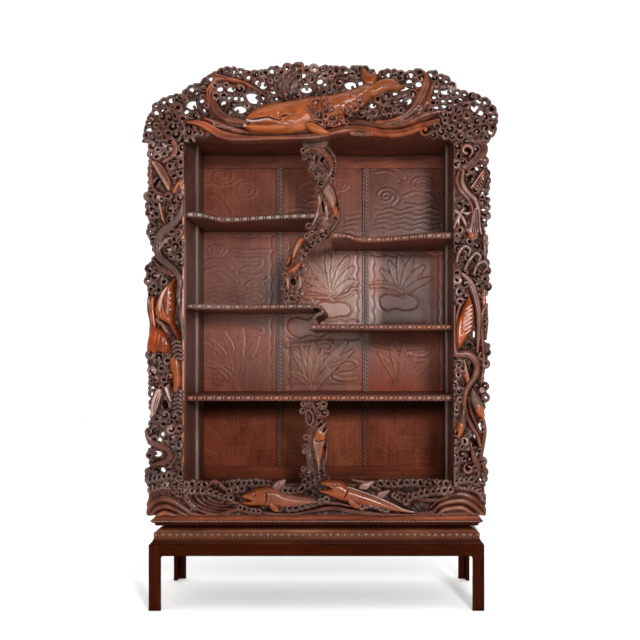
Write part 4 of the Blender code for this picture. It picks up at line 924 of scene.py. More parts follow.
def hide(x, z, u):
    """Slow swellings of the flank."""
    return u * 0.0008 * (np.sin(x * 118 + 34 * z) * np.sin(z * 190 - 25 * x) + 0.6 * np.sin(x * 61 + z * 140 + 1.0))


whale.pillow(WHALE, -0.2335, -0.1900, 15.0, power=2.2, ridge=hide)
whale.pillow(FLUKE_UP, -0.2190, -0.1920, 5.0, power=2.0)
whale.pillow(FLUKE_OUT, -0.2220, -0.1920, 5.5, power=2.0)
whale.pillow([(242.8, 124.2), (248, 124.2), (256, 123.6), (266, 123.8), (276, 123.2), (284, 124), (292, 126), (290, 130), (278, 132), (266, 132), (254, 131), (246, 128.6)], -0.2366, -0.2000, 5.0, soft=0.003)     # lower jaw
whale.pillow([(247, 116.4), (254, 110.4), (264, 106), (274, 104.4), (284, 107), (288, 112), (280, 115), (268, 115.4), (256, 117)], -0.2352, -0.2000, 7.0, soft=0.008)                  # brow
whale.groove([(243.6, 117.0), (250, 118.9), (257, 118.5), (265.6, 116.9), (271.2, 117.7), (277.6, 119.6), (281, 119.2)], [0.6, 0.62, 0.5, 0.5, 0.5, 0.45, 0.3], -0.2350, 0.012, label=DEEP)
# the lip's pale colour is a painted highlight along it
whale.tube([(246.6, 119.9), (251, 121.0), (258, 120.6), (265.6, 119.2), (271, 119.9)], [0.9, 1.0, 0.9, 0.8, 0.5], -0.2330, 0.001, PALE, soft=0.0015)      # lip
whale.groove([(246.4, 122.6), (254, 122.9), (262, 122.3), (270, 122.2), (277, 122.6)], [0.8, 0.7, 0.55, 0.5, 0.3], -0.2350, 0.006)
# pale knob at the tip of the lower jaw: painted highlight
whale.ball(244.6, 125.4, 1.7, -0.2250, PALE, squash=1.2, soft=0.002)
for k in range(3):
    whale.groove([(254 + 2 * k, 127.0 + 1.6 * k), (266 + k, 127.0 + 1.6 * k), (280, 127.4 + 1.6 * k)], [0.2, 0.32, 0.2], -0.2372, 0.0016)
whale.groove([(279, 117.4), (286, 115.0), (293, 114.6), (301, 117.0)], [0.3, 0.7, 0.6, 0.3], -0.2362, 0.003)
whale.groove([(282.6, 121.4), (290, 122.6), (299, 124.6)], [0.3, 0.6, 0.3], -0.2350, 0.003)
whale.pillow([(272.6, 109.6), (276, 107.6), (280, 109.4), (281, 113.4), (278, 116), (274.4, 114)], -0.2370, -0.2200, 3.6, soft=0.004)
whale.groove([(271.4, 110.4), (273.2, 114.0), (277, 117.0)], [0.3, 0.6, 0.3], -0.2362, 0.003)
whale.groove([(279.0, 117.4), (283, 115.4), (287.6, 114.0)], [0.4, 0.9, 0.4], -0.2362, 0.004, label=DEEP)
whale.pillow([(305, 123.5), (312, 121.6), (319, 124.6), (326, 129.4), (331, 133.6), (324, 135), (315, 133), (308.4, 129.4)], -0.2370, -0.2140, 4.0, soft=0.002)                       # flipper
for a, b in (((366.4, 82), (368.6, 70.4)), ((371.4, 82), (374, 75)), ((379, 86.4), (396, 84.4))):
    whale.groove([a, ((a[0] + b[0]) / 2 + 0.6, (a[1] + b[1]) / 2), b], [0.25, 0.55, 0.25], -0.2215, 0.0012)


def whale_paint(co, label, tint, t):
    # painted shade: darker over the back, lighter on jaw and belly. Darker towards the tail. The whole body greyed, a
    # painted sheen
    shade = np.clip(1.02 + 0.16 * wobble(co, 18, 1.0) - 0.10 * np.clip((co[:, 2] - 2.03) / 0.06, -1, 1) - 0.22 * np.clip((co[:, 0] - 0.04) / 0.10, 0, 1), 0.5, 1.3)
    return tint * shade[:, None] * np.array([1.03, 1.15, 1.26])


carve_object(whale, "crest_whale_carved", node="crest_whale", level=0.02, relax=2, paint=whale_paint)
# ---------------------------------------------------------------- left pilaster
BASE_Z = at(0, 485.4, -0.175)[1]
LEFT_EDGE = [
    (148.4, 143.8), (147.2, 150), (148.6, 157.5), (147.4, 166), (147.0, 178), (147.6, 190), (147.2, 200), (148.4, 212), (150.4, 221), (147.6, 229), (147.6, 236), (150.6, 246), (152.4, 255),
    (148.4, 264), (146.6, 272), (146.4, 286), (148.4, 296), (149.6, 306), (151.6, 318), (150, 328), (148.4, 340), (147.8, 350), (150, 357), (148.0, 366), (149.6, 374), (148, 384), (148.4, 394),
    (148.2, 406), (149.6, 416), (147.6, 424), (145.4, 431), (146.4, 440), (148.4, 447), (145.6, 455), (148.4, 462), (146, 470), (146, 478), (148.6, 486),
]
LEFT_HOLES = [(150.8, 154.6, 1.7, 2.2, 0), (149.6, 232.6, 1.5, 2.3, 0), (157.6, 267.2, 1.5, 1.4, 30), (152.6, 388.2, 1.8, 1.8, 0), (151.8, 393.4, 1.6, 2.4, 0), (163, 434, 1.8, 2.0, 0),
              (160, 439.6, 2.2, 2.0, 0), (157.8, 453.6, 4.3, 2.7, 0), (163.2, 470, 2.3, 2.8, 20), (148.4, 475.7, 1.3, 1.5, 0)]
x0, z1 = at(143.5, 143, -0.175)
x1, z0 = at(187, 487, -0.175)
left = Carving((x0, x1), (z0, z1), (-0.2370, -0.1605), CELL)
left.slab([(u + 2.6, v) for u, v in LEFT_EDGE] + [(184.9, 486), (184.9, 143.5)], -0.1930, -0.1608, label=FOAM, lumps=0.004)
left.fat = 1.25

S_RIBBON = [(183, 203), (178.5, 216), (170.5, 225), (162, 231.5), (157.8, 239.3), (156.4, 248.2), (158.8, 257.1), (165.9, 263), (173, 268.8), (177.6, 275.5), (179.3, 284), (178, 294), (178.4, 304)]
S_WAVE = [(145.6, 431.6), (148, 438.8), (153.4, 444), (160.5, 446.8), (166.8, 448.8), (170.2, 453.4), (168.8, 458.4), (164, 462.6), (157, 464.2), (150.4, 466)]
SLIM = [(150.4, 160.4), (156, 160.4), (163, 164.6), (168.8, 173), (172.4, 182), (172.6, 190.4), (168.4, 192.4), (162.6, 184), (156.8, 174.4), (152.6, 166.4)]
DOLPHIN = [(174.9, 277.4), (165.5, 285.6), (159.6, 293.2), (156.1, 301.5), (154.6, 310.3), (155.8, 316.7), (161.4, 320.8), (167.8, 325.5), (170.2, 331.4), (174.9, 337.3), (178.4, 340.8), (180.1, 335.5), (177.2, 326.7), (174, 320.8), (174.3, 313.2), (174.9, 305.6), (175.5, 297.3), (174.6, 291.5), (174.6, 284.4)]
FAN = [(151.7, 325), (148.5, 334.3), (146.4, 346), (147, 353.7), (149.6, 350.7), (153.4, 354), (157.3, 351.3), (162, 353.4), (167.2, 352.5), (171.3, 346), (169.6, 338.4), (166.6, 333.1), (161.4, 329), (156.7, 325.5), (154.6, 317.9)]
calm = [(spline(S_RIBBON), 3.6), (spline(S_WAVE), 3.4), (spline(LEFT_C), 3.0), (closed_spline(SLIM), 1.6), (closed_spline(DOLPHIN), 1.0), (closed_spline(FAN), 0.8)] + [([(h[0], h[1])], max(h[2], h[3]) + 2.6) for h in LEFT_HOLES]
for n, region in enumerate((
        [(150, 144), (168, 144), (170, 150), (166, 157), (156, 159), (150, 158)], [(175, 144), (184, 144), (184, 198), (177, 198), (170, 178), (163, 167), (172, 158)],
        [(148, 194), (158, 197), (160, 214), (151, 220), (148, 210)], [(168, 196), (181, 199), (178, 212), (170, 220), (166, 208)], [(148, 224), (156, 228), (153, 240), (148, 238)],
        [(164, 235), (182, 226), (183, 264), (176, 264), (166, 252)], [(148, 266), (160, 265), (166, 272), (164, 284), (154, 300), (148, 292)], [(149, 354), (169, 354), (168, 370), (167, 388), (151, 388), (149, 372)],
        [(152, 417), (178, 412), (181, 432), (164, 430), (153, 428)], [(162, 442), (172, 436), (182, 432), (182, 486), (173, 486), (175, 456)], [(148, 468), (170, 466), (182, 474), (182, 486), (148, 486)],
        [(148, 430), (156, 434), (158, 440), (150, 440)])):
    flow(left, region, 4.6, 140 + n, -0.1985, avoid=[(g, 0.7 * c) for g, c in calm])
    foam(left, region, 6.4, 40 + n, -0.1965, avoid=calm, size=(1.9, 3.2), r=(0.70, 1.0), pit=PIT, tries=1500)
for u, v, a, b, turn in LEFT_HOLES:
    left.pierce(u, v, a + 0.4, b + 0.4, turn)
rims(left, LEFT_HOLES, -0.1860, 12)
rolled_edge(left, LEFT_EDGE[::-1], -0.1920, holes=LEFT_HOLES, size=2.5, pitch=7.0, r=1.1)

left.band(LEFT_C, [1.8, 2.3, 2.3, 2.0, 1.3], -0.2110, -0.1680, ridges=2, amp=0.0026, crown=0.006)
left.band([(149.4, 164), (150.2, 177), (152.2, 187), (156.4, 192.4), (161.4, 194.6), (164.8, 198.4), (163.6, 203)], [1.4, 2.0, 2.2, 2.0, 1.8, 1.5, 0.8], -0.2040, -0.1680, ridges=1)
left.pierce(157.6, 183.6, 1.6, 5.2, -28, through=(-0.3, -0.172), label=DEEP)
left.pillow(SLIM, -0.2200, -0.1760, 4.0, label=WAVE, power=2.2)
# pale strand down the blade's left edge: painted highlight
left.tube([(152.4, 162.6), (156.6, 168.6), (161.8, 177.0), (168.2, 189.4)], [0.4, 0.75, 0.75, 0.4], -0.2150, 0.003, PALE)
left.groove([(155, 162.4), (161.4, 169), (166.4, 178), (169.8, 187)], [0.3, 0.5, 0.5, 0.3], -0.2195, 0.003)
left.pillow([(172.2, 193.4), (174.6, 187), (178.6, 181), (182, 178.6), (182.2, 182), (180.2, 188), (176.6, 193.4), (173.6, 195)], -0.2140, -0.1760, 2.6, label=FIGURE)
left.pillow([(180.4, 184), (183.6, 178), (184.4, 188), (183.6, 198), (181.6, 196)], -0.2020, -0.1760, 1.6, label=PALE)
# pale ball: painted highlight
left.ball(158.8, 197.6, 2.6, -0.2050, PALE)
left.curl(161.6, 199.6, 2.7, 40, 300, 1.1, -0.2030, 0.006, FOAM, pit=-0.185)
left.pillow([(158.6, 202.4), (161.6, 204.6), (164.4, 212), (166.2, 222.4), (163.6, 224.4), (160.8, 216), (158.8, 208)], -0.2120, -0.1760, 2.6, label=FIGURE)
left.tube([(159.4, 203.4), (160.6, 211), (162.6, 220)], [0.5, 0.7, 0.4], -0.2110, 0.002, PALE)
left.band([(180, 199), (177, 207), (171, 214), (166, 220)], [1.0, 1.6, 1.6, 0.9], -0.2000, -0.1700, ridges=1, label=FOAM)
left.band([(183.4, 206), (181, 216), (174, 226), (166, 233.6), (161.6, 241)], [1.0, 1.5, 1.5, 1.3, 0.8], -0.2040, -0.1700, ridges=1)
left.band(S_RIBBON, [1.8, 2.6, 3.0, 3.2, 3.2, 3.0, 2.8, 2.6, 2.4, 2.2, 1.6], -0.2120, -0.1700, ridges=3, amp=0.0030, crown=0.006, label=FOAM)
left.band([(159, 249), (161.6, 244), (166.4, 239), (171, 237.6)], [1.4, 1.6, 1.3, 0.7], -0.2090, -0.1720, ridges=0, label=PALE)
left.band([(154.6, 262), (160, 268.6), (167, 271.4), (172.6, 275.6)], [1.2, 2.6, 3.0, 1.6], -0.2060, -0.1720, ridges=1, label=WAVE)
left.band([(180.4, 300), (180, 312), (181.6, 326), (183, 338)], [1.6, 1.9, 1.7, 1.2], -0.2040, -0.1700, ridges=2, label=FOAM)
left.band([(176.6, 298), (177, 310), (179, 322)], [1.0, 1.5, 1.0], -0.2000, -0.1700, ridges=1, label=FOAM)
left.band([(148.2, 298), (148.8, 310), (151, 322), (149.8, 333)], [1.4, 1.9, 1.9, 1.2], -0.2050, -0.1700, ridges=1)
ladder(left, [(176, 341), (177.6, 350), (179, 362)], [3.6, 4.4, 3.4], -0.2020, 5, r=1.75, bow=-2.0)
left.pillow([(169.6, 358), (175, 355), (180.8, 360), (182.4, 372), (182.2, 386), (178, 394), (172.4, 391), (172.4, 380), (169.6, 369)], -0.2120, -0.1760, 4.6, label=FIGURE)
left.curl(169.6, 376.4, 2.5, 200, -300, 1.05, -0.2080, 0.006, WAVE, pit=-0.19)
left.pillow([(157, 388), (152.4, 398), (150.2, 407), (151, 416.6), (154.6, 417), (158.6, 408.6), (162, 398), (163, 389)], -0.2120, -0.1740, 3.0, label=PALE)
left.groove([(158.6, 391), (155, 402), (153, 413)], [0.3, 0.5, 0.3], -0.2110, 0.004)
left.groove([(160.6, 391), (157, 402), (154.4, 412)], [0.3, 0.4, 0.3], -0.2100, 0.004)
left.pillow([(163.6, 386.4), (168.6, 386), (171, 393), (171.8, 402.6), (168.6, 399), (165.6, 393)], -0.2110, -0.1740, 2.6, label=PALE)
left.pierce(166, 404.4, 2.9, 4.4, 15, through=(-0.3, -0.170), label=DEEP)
ladder(left, [(180, 390), (178, 401), (178.4, 414)], [2.4, 4.0, 4.4], -0.2020, 6, r=1.75, bow=-1.8)
left.band(S_WAVE, [1.6, 2.4, 2.8, 3.0, 3.2, 3.2, 3.0, 2.4, 1.4], -0.2090, -0.1700, ridges=1, crown=0.008)
left.band([(165, 444), (173, 447.4), (175.6, 455), (172, 463), (165.6, 468)], [0.9, 1.5, 1.7, 1.5, 0.8], -0.2060, -0.1700, ridges=1, label=FOAM)
left.band([(176, 436), (179.6, 448), (179.4, 462), (176.6, 474)], [1.2, 1.8, 1.8, 1.2], -0.2000, -0.1700, ridges=2, label=FOAM)
foam_row(left, [(150, 480), (157, 478.4), (164, 477), (171.6, 476), (178, 479)], 2.6, -0.2010, start=120, sweep=300, pit=PIT)
left.slab([(181.9, 196), (184.2, 178), (185.4, 178), (185.4, 486), (181.9, 486)], -0.1990, -0.1608, label=PALE, r=0.0015)
left.crop(z=(BASE_Z - 0.0008, JOINT_Z + 0.0008), y=(-0.2372, -0.1603), x=(-0.7245, at(185.3, 0, -0.175)[0]))


def pale_strip(side):
    """Plain stile at the inner edge: bare lighter wood."""
    def paint(co, label, tint, t):
        m = ((label == PALE) & (np.abs(co[:, 0] - side) < 0.0125))[:, None]
        high = np.clip((co[:, 2] - 1.50) / 0.30, 0, 1)[:, None]      # greyer and paler towards the top
        tint = tint * (1 + high * np.array([0.42, 0.56, 0.66]) + (1 - high) * np.array([0.02, 0.08, 0.12]))
        tint = tint * (1 + 0.32 * np.clip((co[:, 2] - 1.77) / 0.04, 0, 1) - 0.20 * np.clip((0.66 - co[:, 2]) / 0.06, 0, 1))[:, None]
        # the pale fins low on the pilaster brightened further: painted highlight
        fin = (label == PALE) & (co[:, 2] > 0.765) & (co[:, 2] < 0.905) & (co[:, 0] < -0.592)
        tint = np.where(fin[:, None], tint * np.array([1.8, 1.95, 2.05]), tint)
        low = np.clip((0.87 - co[:, 2]) / 0.06, 0, 1)[:, None]
        stile = np.array([0.310, 0.150, 0.110]) * (1 - low) + np.array([0.200, 0.055, 0.022]) * low
        return np.where(m, stile * (0.9 + 0.25 * wobble(co, 30))[:, None], tint)
    return paint


carve_object(left, "pilaster_left_openwork", node="pilaster_left", paint=pale_strip(at(184.2, 0, -0.190)[0]))


def sea_fish(xa, xb):
    """Bright orange on the one flank, burnt brown on the other, with streaks down the length; all but the body
    brightened 1.7 times as painted highlight on the pale stripes.
    """
    def paint(co, label, tint, t):
        f = np.clip((co[:, 0] - xa) / (xb - xa), -0.3, 1.3)
        streak = np.sin(co[:, 0] * 900 + 9 * wobble(co, 14)) * 0.16 + 0.20 * wobble(co, 45, 2.0)
        k = np.clip(1.12 - 0.62 * f + streak, 0.34, 1.3)[:, None]
        k = np.where((label == FIGURE)[:, None], k, 1.0)
        tail = np.clip((at(0, 319, -0.22)[1] - co[:, 2]) / 0.02, 0, 1)[:, None] * (co[:, 0] < 0)[:, None]
        hue = np.where((co[:, 0] < 0)[:, None], np.array([1.22, 1.18, 1.10]), np.array([1.06, 1.00, 0.88])) * (1 - tail) + np.array([0.90, 0.62, 0.36]) * tail
        # painted highlight: all but the body, the pale stripes among it, brightened 1.7 times
        return tint * k * np.where((label == FIGURE)[:, None], hue, 1.7)
    return paint


x0, z1 = at(145, 274, -0.215)
x1, z0 = at(184, 357, -0.215)
dolphin = Carving((x0, x1), (z0, z1), (-0.2370, -0.1950), FINE)
dolphin.pillow(FAN, -0.2200, -0.1980, 8.0)
for a, b in (((153, 322), (149, 349)), ((156, 325), (154, 350)), ((159, 328), (158.4, 350)), ((162, 332), (163.4, 349)), ((165, 337), (168, 349))):
    dolphin.groove([a, ((a[0] + b[0]) / 2 + 0.8, (a[1] + b[1]) / 2), b], [0.2, 0.42, 0.3], -0.2215, 0.0025)
dolphin.band([(152, 298), (151.4, 308), (152.2, 318), (153.6, 326)], [1.4, 2.6, 2.8, 2.4], -0.2160, -0.1980, label=FIGURE)
dolphin.pillow(DOLPHIN, -0.2355, -0.1980, 8.0, power=2.2)
dolphin.groove([(168.4, 284.6), (164.6, 293), (163.0, 302), (164.4, 311), (168.6, 320)], [0.3, 0.5, 0.5, 0.3], -0.2350, 0.003)
# pale stripe down the flank: painted highlight
dolphin.tube([(166.6, 287.4), (162.6, 294.4), (160.2, 303), (159.8, 310), (160.8, 315.6)], [0.6, 1.5, 1.8, 1.4, 0.6], -0.2310, 0.0, PALE)
for n, (u, v) in enumerate(spline([(157.4, 319.6), (161.6, 324.0), (166.6, 330.6)], 2.9)):
    dolphin.ball(u, v, 1.9, -0.2090, FOAM)
    dolphin.hook(u, v, 1.5, 90 * n, 250, 0.7, -0.2150, 0.004, FOAM)
for n, (u, v) in enumerate(((171.6, 286), (172.4, 289.6), (170.6, 292.4), (173, 295), (170.2, 298), (172.8, 300.6), (170.2, 303.4), (172.6, 306.4), (170.4, 309.4), (172.4, 312.6), (170.6, 316))):
    dolphin.hook(u, v, 0.85, 70 * n, 260, 0.42, -0.2352, 0.001, PALE)
dolphin.crop(y=(-0.2374, -0.1950))
carve_object(dolphin, "pilaster_dolphin_carved", node="pilaster_dolphin_left", level=0.08, relax=2, paint=sea_fish(at(152, 0, -0.22)[0], at(170, 0, -0.22)[0]))

# ---------------------------------------------------------------- right pilaster
RIGHT_EDGE = [
    (488, 143.8), (487, 152), (484.6, 160), (487.6, 167), (489, 176), (488, 186), (485.4, 195), (488.6, 201), (489.2, 210), (486.8, 220), (485, 228), (488.4, 236), (488.6, 250), (487, 260), (489.2, 268),
    (488.6, 280), (488.8, 292), (486.4, 302), (488, 312), (487.2, 326), (485.8, 338), (488.4, 348), (487.6, 360), (485.2, 370), (484.6, 382), (486.4, 390), (486.4, 402), (485, 416), (485.4, 430),
    (484, 446), (483, 458), (486.2, 466), (486.8, 476), (485.6, 486),
]
RIGHT_HOLES = [(476.8, 169, 1.5, 1.9, 30), (482, 166, 1.4, 1.4, 0), (482.2, 193.2, 1.4, 1.7, 0), (483.4, 210.4, 2.2, 1.4, -10), (484, 221.4, 1.6, 2.5, 0), (484.2, 317.4, 1.2, 3.4, 0), (474, 334, 1.3, 3.2, 0),
               (474.2, 368.4, 1.2, 3.8, -10), (479.2, 427.6, 2.1, 5.0, -8), (475, 435.4, 1.5, 2.8, 30), (479.8, 480, 1.6, 1.8, 0)]
x0, z1 = at(449.5, 143, -0.175)
x1, z0 = at(492, 487, -0.175)
right = Carving((x0, x1), (z0, z1), (-0.2370, -0.1605), CELL)
right.slab([(453.2, 143.5)] + [(u - 2.6, v) for u, v in RIGHT_EDGE] + [(453.2, 486)], -0.1930, -0.1608, label=FOAM, lumps=0.004)
right.fat = 1.3
RIB1 = [(459, 172), (457.4, 179.6), (459.7, 188), (465, 194.9), (470.6, 201.8), (473, 211), (472.7, 222)]
RIB2 = [(463.4, 170.4), (462.4, 180.4), (464.6, 187.2), (469.2, 193.4), (475.6, 199.5), (478.8, 211), (479, 222), (481.6, 234)]
LOOP = [(454.6, 306), (453.8, 322), (453.6, 342), (456.2, 353), (461, 354.4), (468.2, 354), (475.2, 359.3), (477.8, 367.3), (475.2, 377), (470, 384.6), (465.8, 394), (464.8, 404.8), (467.3, 416.4), (472.7, 427), (478, 436), (480.4, 446)]
RFISH = [(468.7, 296), (473.1, 304), (474.3, 310), (474.3, 318.9), (473.7, 327.9), (468.4, 335.7), (463.6, 342.9), (458.8, 348.9), (456.4, 342.9), (456.1, 330.9), (457.6, 321.9), (460, 315.3), (463.6, 306.9)]
RFISH_A = [(470.2, 386.6), (475.2, 388.4), (480.2, 395), (483.8, 404), (485.0, 412), (484.4, 418.6), (480.4, 418), (475.2, 413.6), (470.6, 405.6), (468.4, 396)]
RFISH_B = [(463.2, 402), (466.6, 410), (467.8, 420), (466.2, 429), (462.2, 435.6), (457.6, 439.2), (455.8, 434), (456.8, 424), (459.4, 411)]
calm = [(spline(RIGHT_C), 5.0), ([(466.4, 151.0)], 8.6), ([(480, 181)], 7.0), ([(468.2, 468.6)], 8.0), ([(476.4, 461)], 5.0), (spline(RIB1), 2.6), (spline(RIB2), 2.8), (spline(LOOP), 3.6), (closed_spline(RFISH), 1.2), (closed_spline(RFISH_A), 1.4), (closed_spline(RFISH_B), 1.4)] + [([(h[0], h[1])], max(h[2], h[3]) + 2.4) for h in RIGHT_HOLES]
for n, region in enumerate((
        [(454, 144), (470, 144), (478, 150), (470, 160), (456, 168)], [(482, 144), (487, 144), (484, 164), (478, 168), (474, 166), (483, 154)], [(455, 144), (462, 144), (460, 166), (455, 168)],
        [(464, 170), (478, 164), (476, 176), (466, 184)], [(482, 166), (488, 170), (487, 194), (480, 198), (476, 190)], [(480, 198), (488, 199), (486, 226), (481, 226)],
        [(455, 227), (468, 232), (480, 246), (480, 276), (456, 276)], [(472, 260), (488, 262), (488, 292), (478, 294)], [(454, 277), (467, 277), (466, 300), (456, 304)],
        [(481, 344), (488, 346), (486, 364), (481, 364)], [(454, 357), (462, 358), (463, 380), (455, 382)], [(454, 384), (466, 386), (463, 412), (455, 416)], [(476, 384), (485, 386), (485, 400), (479, 398)],
        [(454, 427), (458, 440), (468, 440), (478, 446), (484, 460), (485, 486), (454, 486)])):
    flow(right, region, 4.6, 170 + n, -0.1985, avoid=[(g, 0.7 * c) for g, c in calm])
    foam(right, region, 6.4, 70 + n, -0.1965, avoid=calm, size=(1.9, 3.2), r=(0.70, 1.0), pit=PIT, tries=1500)
for u, v, a, b, turn in RIGHT_HOLES:
    right.pierce(u, v, a + 0.4, b + 0.4, turn)
rims(right, RIGHT_HOLES, -0.1860, 13)
rolled_edge(right, RIGHT_EDGE, -0.1920, holes=RIGHT_HOLES, size=2.4, pitch=7.2, r=1.1)

right.curl(466.4, 151.0, 6.6, 290, 345, 1.7, -0.2060, 0.006, WAVE, pit=-0.176, tail=0, tight=0.62)
right.curl(458.0, 163.0, 2.4, 150, -280, 0.95, -0.2010, 0.006, FOAM, pit=-0.180)
right.band(RIGHT_C, [2.0, 3.4, 4.0, 3.6, 2.8, 1.6], -0.2070, -0.1680, ridges=3, amp=0.0028)
right.band(RIB1, [1.4, 1.9, 1.9, 1.9, 1.6, 1.0], -0.2060, -0.1700, ridges=1)
right.band(RIB2, [1.6, 2.2, 2.3, 2.4, 2.2, 1.8, 1.0], -0.2110, -0.1700, ridges=2)
right.pillow([(484, 168), (487.0, 172), (487.6, 180), (485, 187), (481.6, 193), (476, 192), (469, 189), (472, 183.6), (477.4, 177)], -0.2150, -0.1760, 5.0, label=WAVE)
right.pillow([(482, 171), (485, 173), (483.6, 178), (479.4, 181), (478.4, 177)], -0.2160, -0.1900, 3.0, label=FIGURE)
# pale strand along the fin: painted highlight
right.tube([(470.4, 188.4), (475, 182.6), (479.6, 175.8), (483.6, 170)], [0.4, 0.7, 0.7, 0.4], -0.2110, 0.003, PALE)
for k in range(4):
    right.groove([(474.6 + 2.4 * k, 184.6 - 1.6 * k), (477.4 + 2.0 * k, 187.4 - 1.8 * k), (479.4 + 1.7 * k, 191.4 - 2.4 * k)], [0.25, 0.5, 0.3], -0.2150, 0.004)
right.ball(482.2, 176.2, 1.1, -0.2150, PALE)
right.pierce(468.6, 180.6, 1.4, 4.6, -28, through=(-0.3, -0.172), label=DEEP)
for line in ([(454, 228), (457.6, 219), (461.4, 212), (466, 206.6), (470, 203)], [(454.4, 209.6), (458, 212), (460.6, 215)], [(460.6, 214), (463.6, 219), (466.6, 226.4)], [(460.4, 215), (458.6, 221), (459.4, 228)], [(463.6, 212.4), (467.4, 213.4), (470.6, 212)]):
    right.band(line, [0.6, 1.3, 1.5, 1.2, 0.5], -0.2045, -0.1700, ridges=0, label=PALE)
right.pierce(466, 209, 2.0, 3.6, 20, through=(-0.3, -0.174), label=DEEP)
right.pierce(459.4, 204.6, 2.2, 1.5, 0, through=(-0.3, -0.174), label=DEEP)
right.pillow([(476, 205), (479.4, 212), (480.6, 226), (478.8, 238), (474, 243), (469.6, 242), (466, 235), (462.6, 227), (467, 227.6), (470, 218), (472.6, 208)], -0.2130, -0.1720, 4.4, label=PALE)
for k in range(4):
    right.groove([(475.6 + 0.6 * k, 209), (473.4 + 1.7 * k, 224), (471.4 + 2.0 * k, 239)], [0.25, 0.5, 0.3], -0.2120, 0.004)
right.ball(471.6, 235.6, 3.4, -0.2060, FIGURE, squash=0.8)
right.pillow([(481.6, 230), (485, 232), (488, 240), (487.6, 256), (485, 264), (481.6, 258), (480.4, 244)], -0.2040, -0.1720, 3.0, label=WAVE)
for line in ([(456.4, 262), (459, 252.6), (464.4, 246.6), (470, 250), (468, 256)], [(464.6, 270), (469, 261), (475.6, 253.4), (480, 257), (477, 264)], [(473.6, 274), (477.4, 265), (484, 262), (487.4, 267), (483.6, 272)]):
    right.tube(line, [1.6, 2.1, 1.9, 1.2], -0.2060, 0.007, FOAM)
right.band([(463, 274), (469, 279.6), (473.6, 289), (477, 300.6), (479.2, 316), (478.4, 340), (477.6, 352)], [1.8, 3.0, 3.0, 2.6, 2.2, 1.9, 1.2], -0.2130, -0.1700, ridges=2, amp=0.0026, crown=0.006)
right.band([(484.4, 289), (484.2, 306)], [1.2, 1.7], -0.2060, -0.1700, label=FIGURE)
right.band([(486.6, 305), (483, 312), (481.8, 325), (482.4, 338), (483.6, 350), (484, 364.6), (481.6, 382)], [1.8, 2.4, 2.2, 1.9, 1.7, 1.6, 1.2], -0.2100, -0.1700, ridges=1, amp=0.0026, crown=0.005)
right.band([(487, 308), (487.2, 322), (486, 339)], [1.0, 1.4, 1.0], -0.2000, -0.1700, ridges=1)
right.pillow([(463.4, 301), (460.6, 312), (458.0, 324), (456.4, 340), (454, 334), (453.8, 316), (457.0, 305)], -0.2090, -0.1700, 2.6, label=WAVE)
right.pierce(468.6, 346, 2.4, 3.0, -20, through=(-0.3, -0.172), label=DEEP)
right.pierce(471.4, 369, 2.0, 7.0, -6, through=(-0.3, -0.170), label=DEEP)
right.pillow([(463.6, 359), (466, 362), (468, 370), (470, 378), (469.4, 384), (465.6, 384), (463, 376), (462.4, 366)], -0.2080, -0.1720, 2.4, label=FIGURE)
right.tube([(464, 360), (466.6, 370), (469, 380)], [0.5, 0.6, 0.4], -0.2070, 0.002, PALE)
right.band(LOOP, [1.4, 1.8, 2.2, 2.8, 2.9, 3.0, 3.0, 2.7, 2.4, 2.1, 2.0, 1.9, 1.9, 1.7, 1.2], -0.2150, -0.1680, ridges=1, crown=0.006)
right.band([(468.6, 397.7), (470.6, 409.3), (475.6, 422.7), (481.6, 437)], [1.2, 1.7, 1.5, 1.0], -0.2060, -0.1700, ridges=1)
right.band([(483, 416), (485, 430), (483, 446), (481, 460)], [1.2, 1.7, 1.8, 1.3], -0.2060, -0.1700, ridges=1)
right.pierce(473.6, 441.6, 2.0, 5.4, 38, through=(-0.3, -0.171), label=DEEP)
right.pillow(RFISH_A, -0.2210, -0.1740, 5.0, label=FOAM)
right.pillow([(473.6, 405), (479, 401.6), (484, 406.6), (484.8, 418.4), (480.4, 418), (475.4, 413)], -0.2222, -0.1900, 4.6, label=FIGURE)
right.ball(482.4, 390.4, 3.2, -0.2040, FOAM)
right.curl(482.2, 390.2, 2.4, 30, 320, 0.9, -0.2120, 0.003, PALE, tail=0)
right.pillow(RFISH_B, -0.2190, -0.1740, 4.6, label=FOAM)
right.pillow([(457.0, 423.0), (461.4, 421), (465.4, 425), (463.2, 434), (457.6, 439.2), (455.8, 434)], -0.2202, -0.1900, 4.2, label=FIGURE)
curls(right, [(458.6, 366, 100, 300), (458.4, 375, 120, 300, 2.9), (459, 391, 60, -300), (459.6, 400, 80, 300, 3.0), (457, 408, 100, 300, 2.6), (455.8, 432.4, 120, 300, 2.8), (456, 450, 90, 310, 2.6), (462, 447, 60, 300, 2.6),
              (457.4, 460, 100, 300, 2.8)], -0.1990, pit=PIT)
right.pierce(469.6, 454.6, 2.0, 2.6, 20, through=(-0.3, -0.173), label=DEEP)
right.pierce(463.4, 459.4, 1.5, 3.4, -10, through=(-0.3, -0.173), label=DEEP)
right.curl(468.2, 468.6, 5.0, 110, 330, 1.5, -0.2050, 0.006, WAVE, pit=-0.178, tail=0, tight=0.55)
right.band([(472, 448), (474, 455), (476.4, 462), (479, 469), (478.6, 477)], [1.3, 2.2, 2.6, 2.2, 1.0], -0.2110, -0.1700, ridges=2, amp=0.0024, crown=0.006)
right.band([(454.6, 475), (457.6, 466.6), (461.6, 462.4), (466, 460.6)], [1.2, 1.7, 1.7, 0.9], -0.2070, -0.1700, ridges=2, label=FOAM)
right.band([(482.6, 462), (484.6, 470), (483.4, 478)], [1.0, 1.9, 1.2], -0.2060, -0.1700, ridges=1)
foam_row(right, [(456, 481.4), (463, 480.6), (470, 480), (475.6, 482)], 2.6, -0.2010, start=120, sweep=300, pit=PIT)
right.crop(z=(BASE_Z - 0.0008, JOINT_Z + 0.0008), y=(-0.2372, -0.1603), x=(at(452.9, 0, -0.175)[0], 0.7245))
carve_object(right, "pilaster_right_openwork", node="pilaster_right")

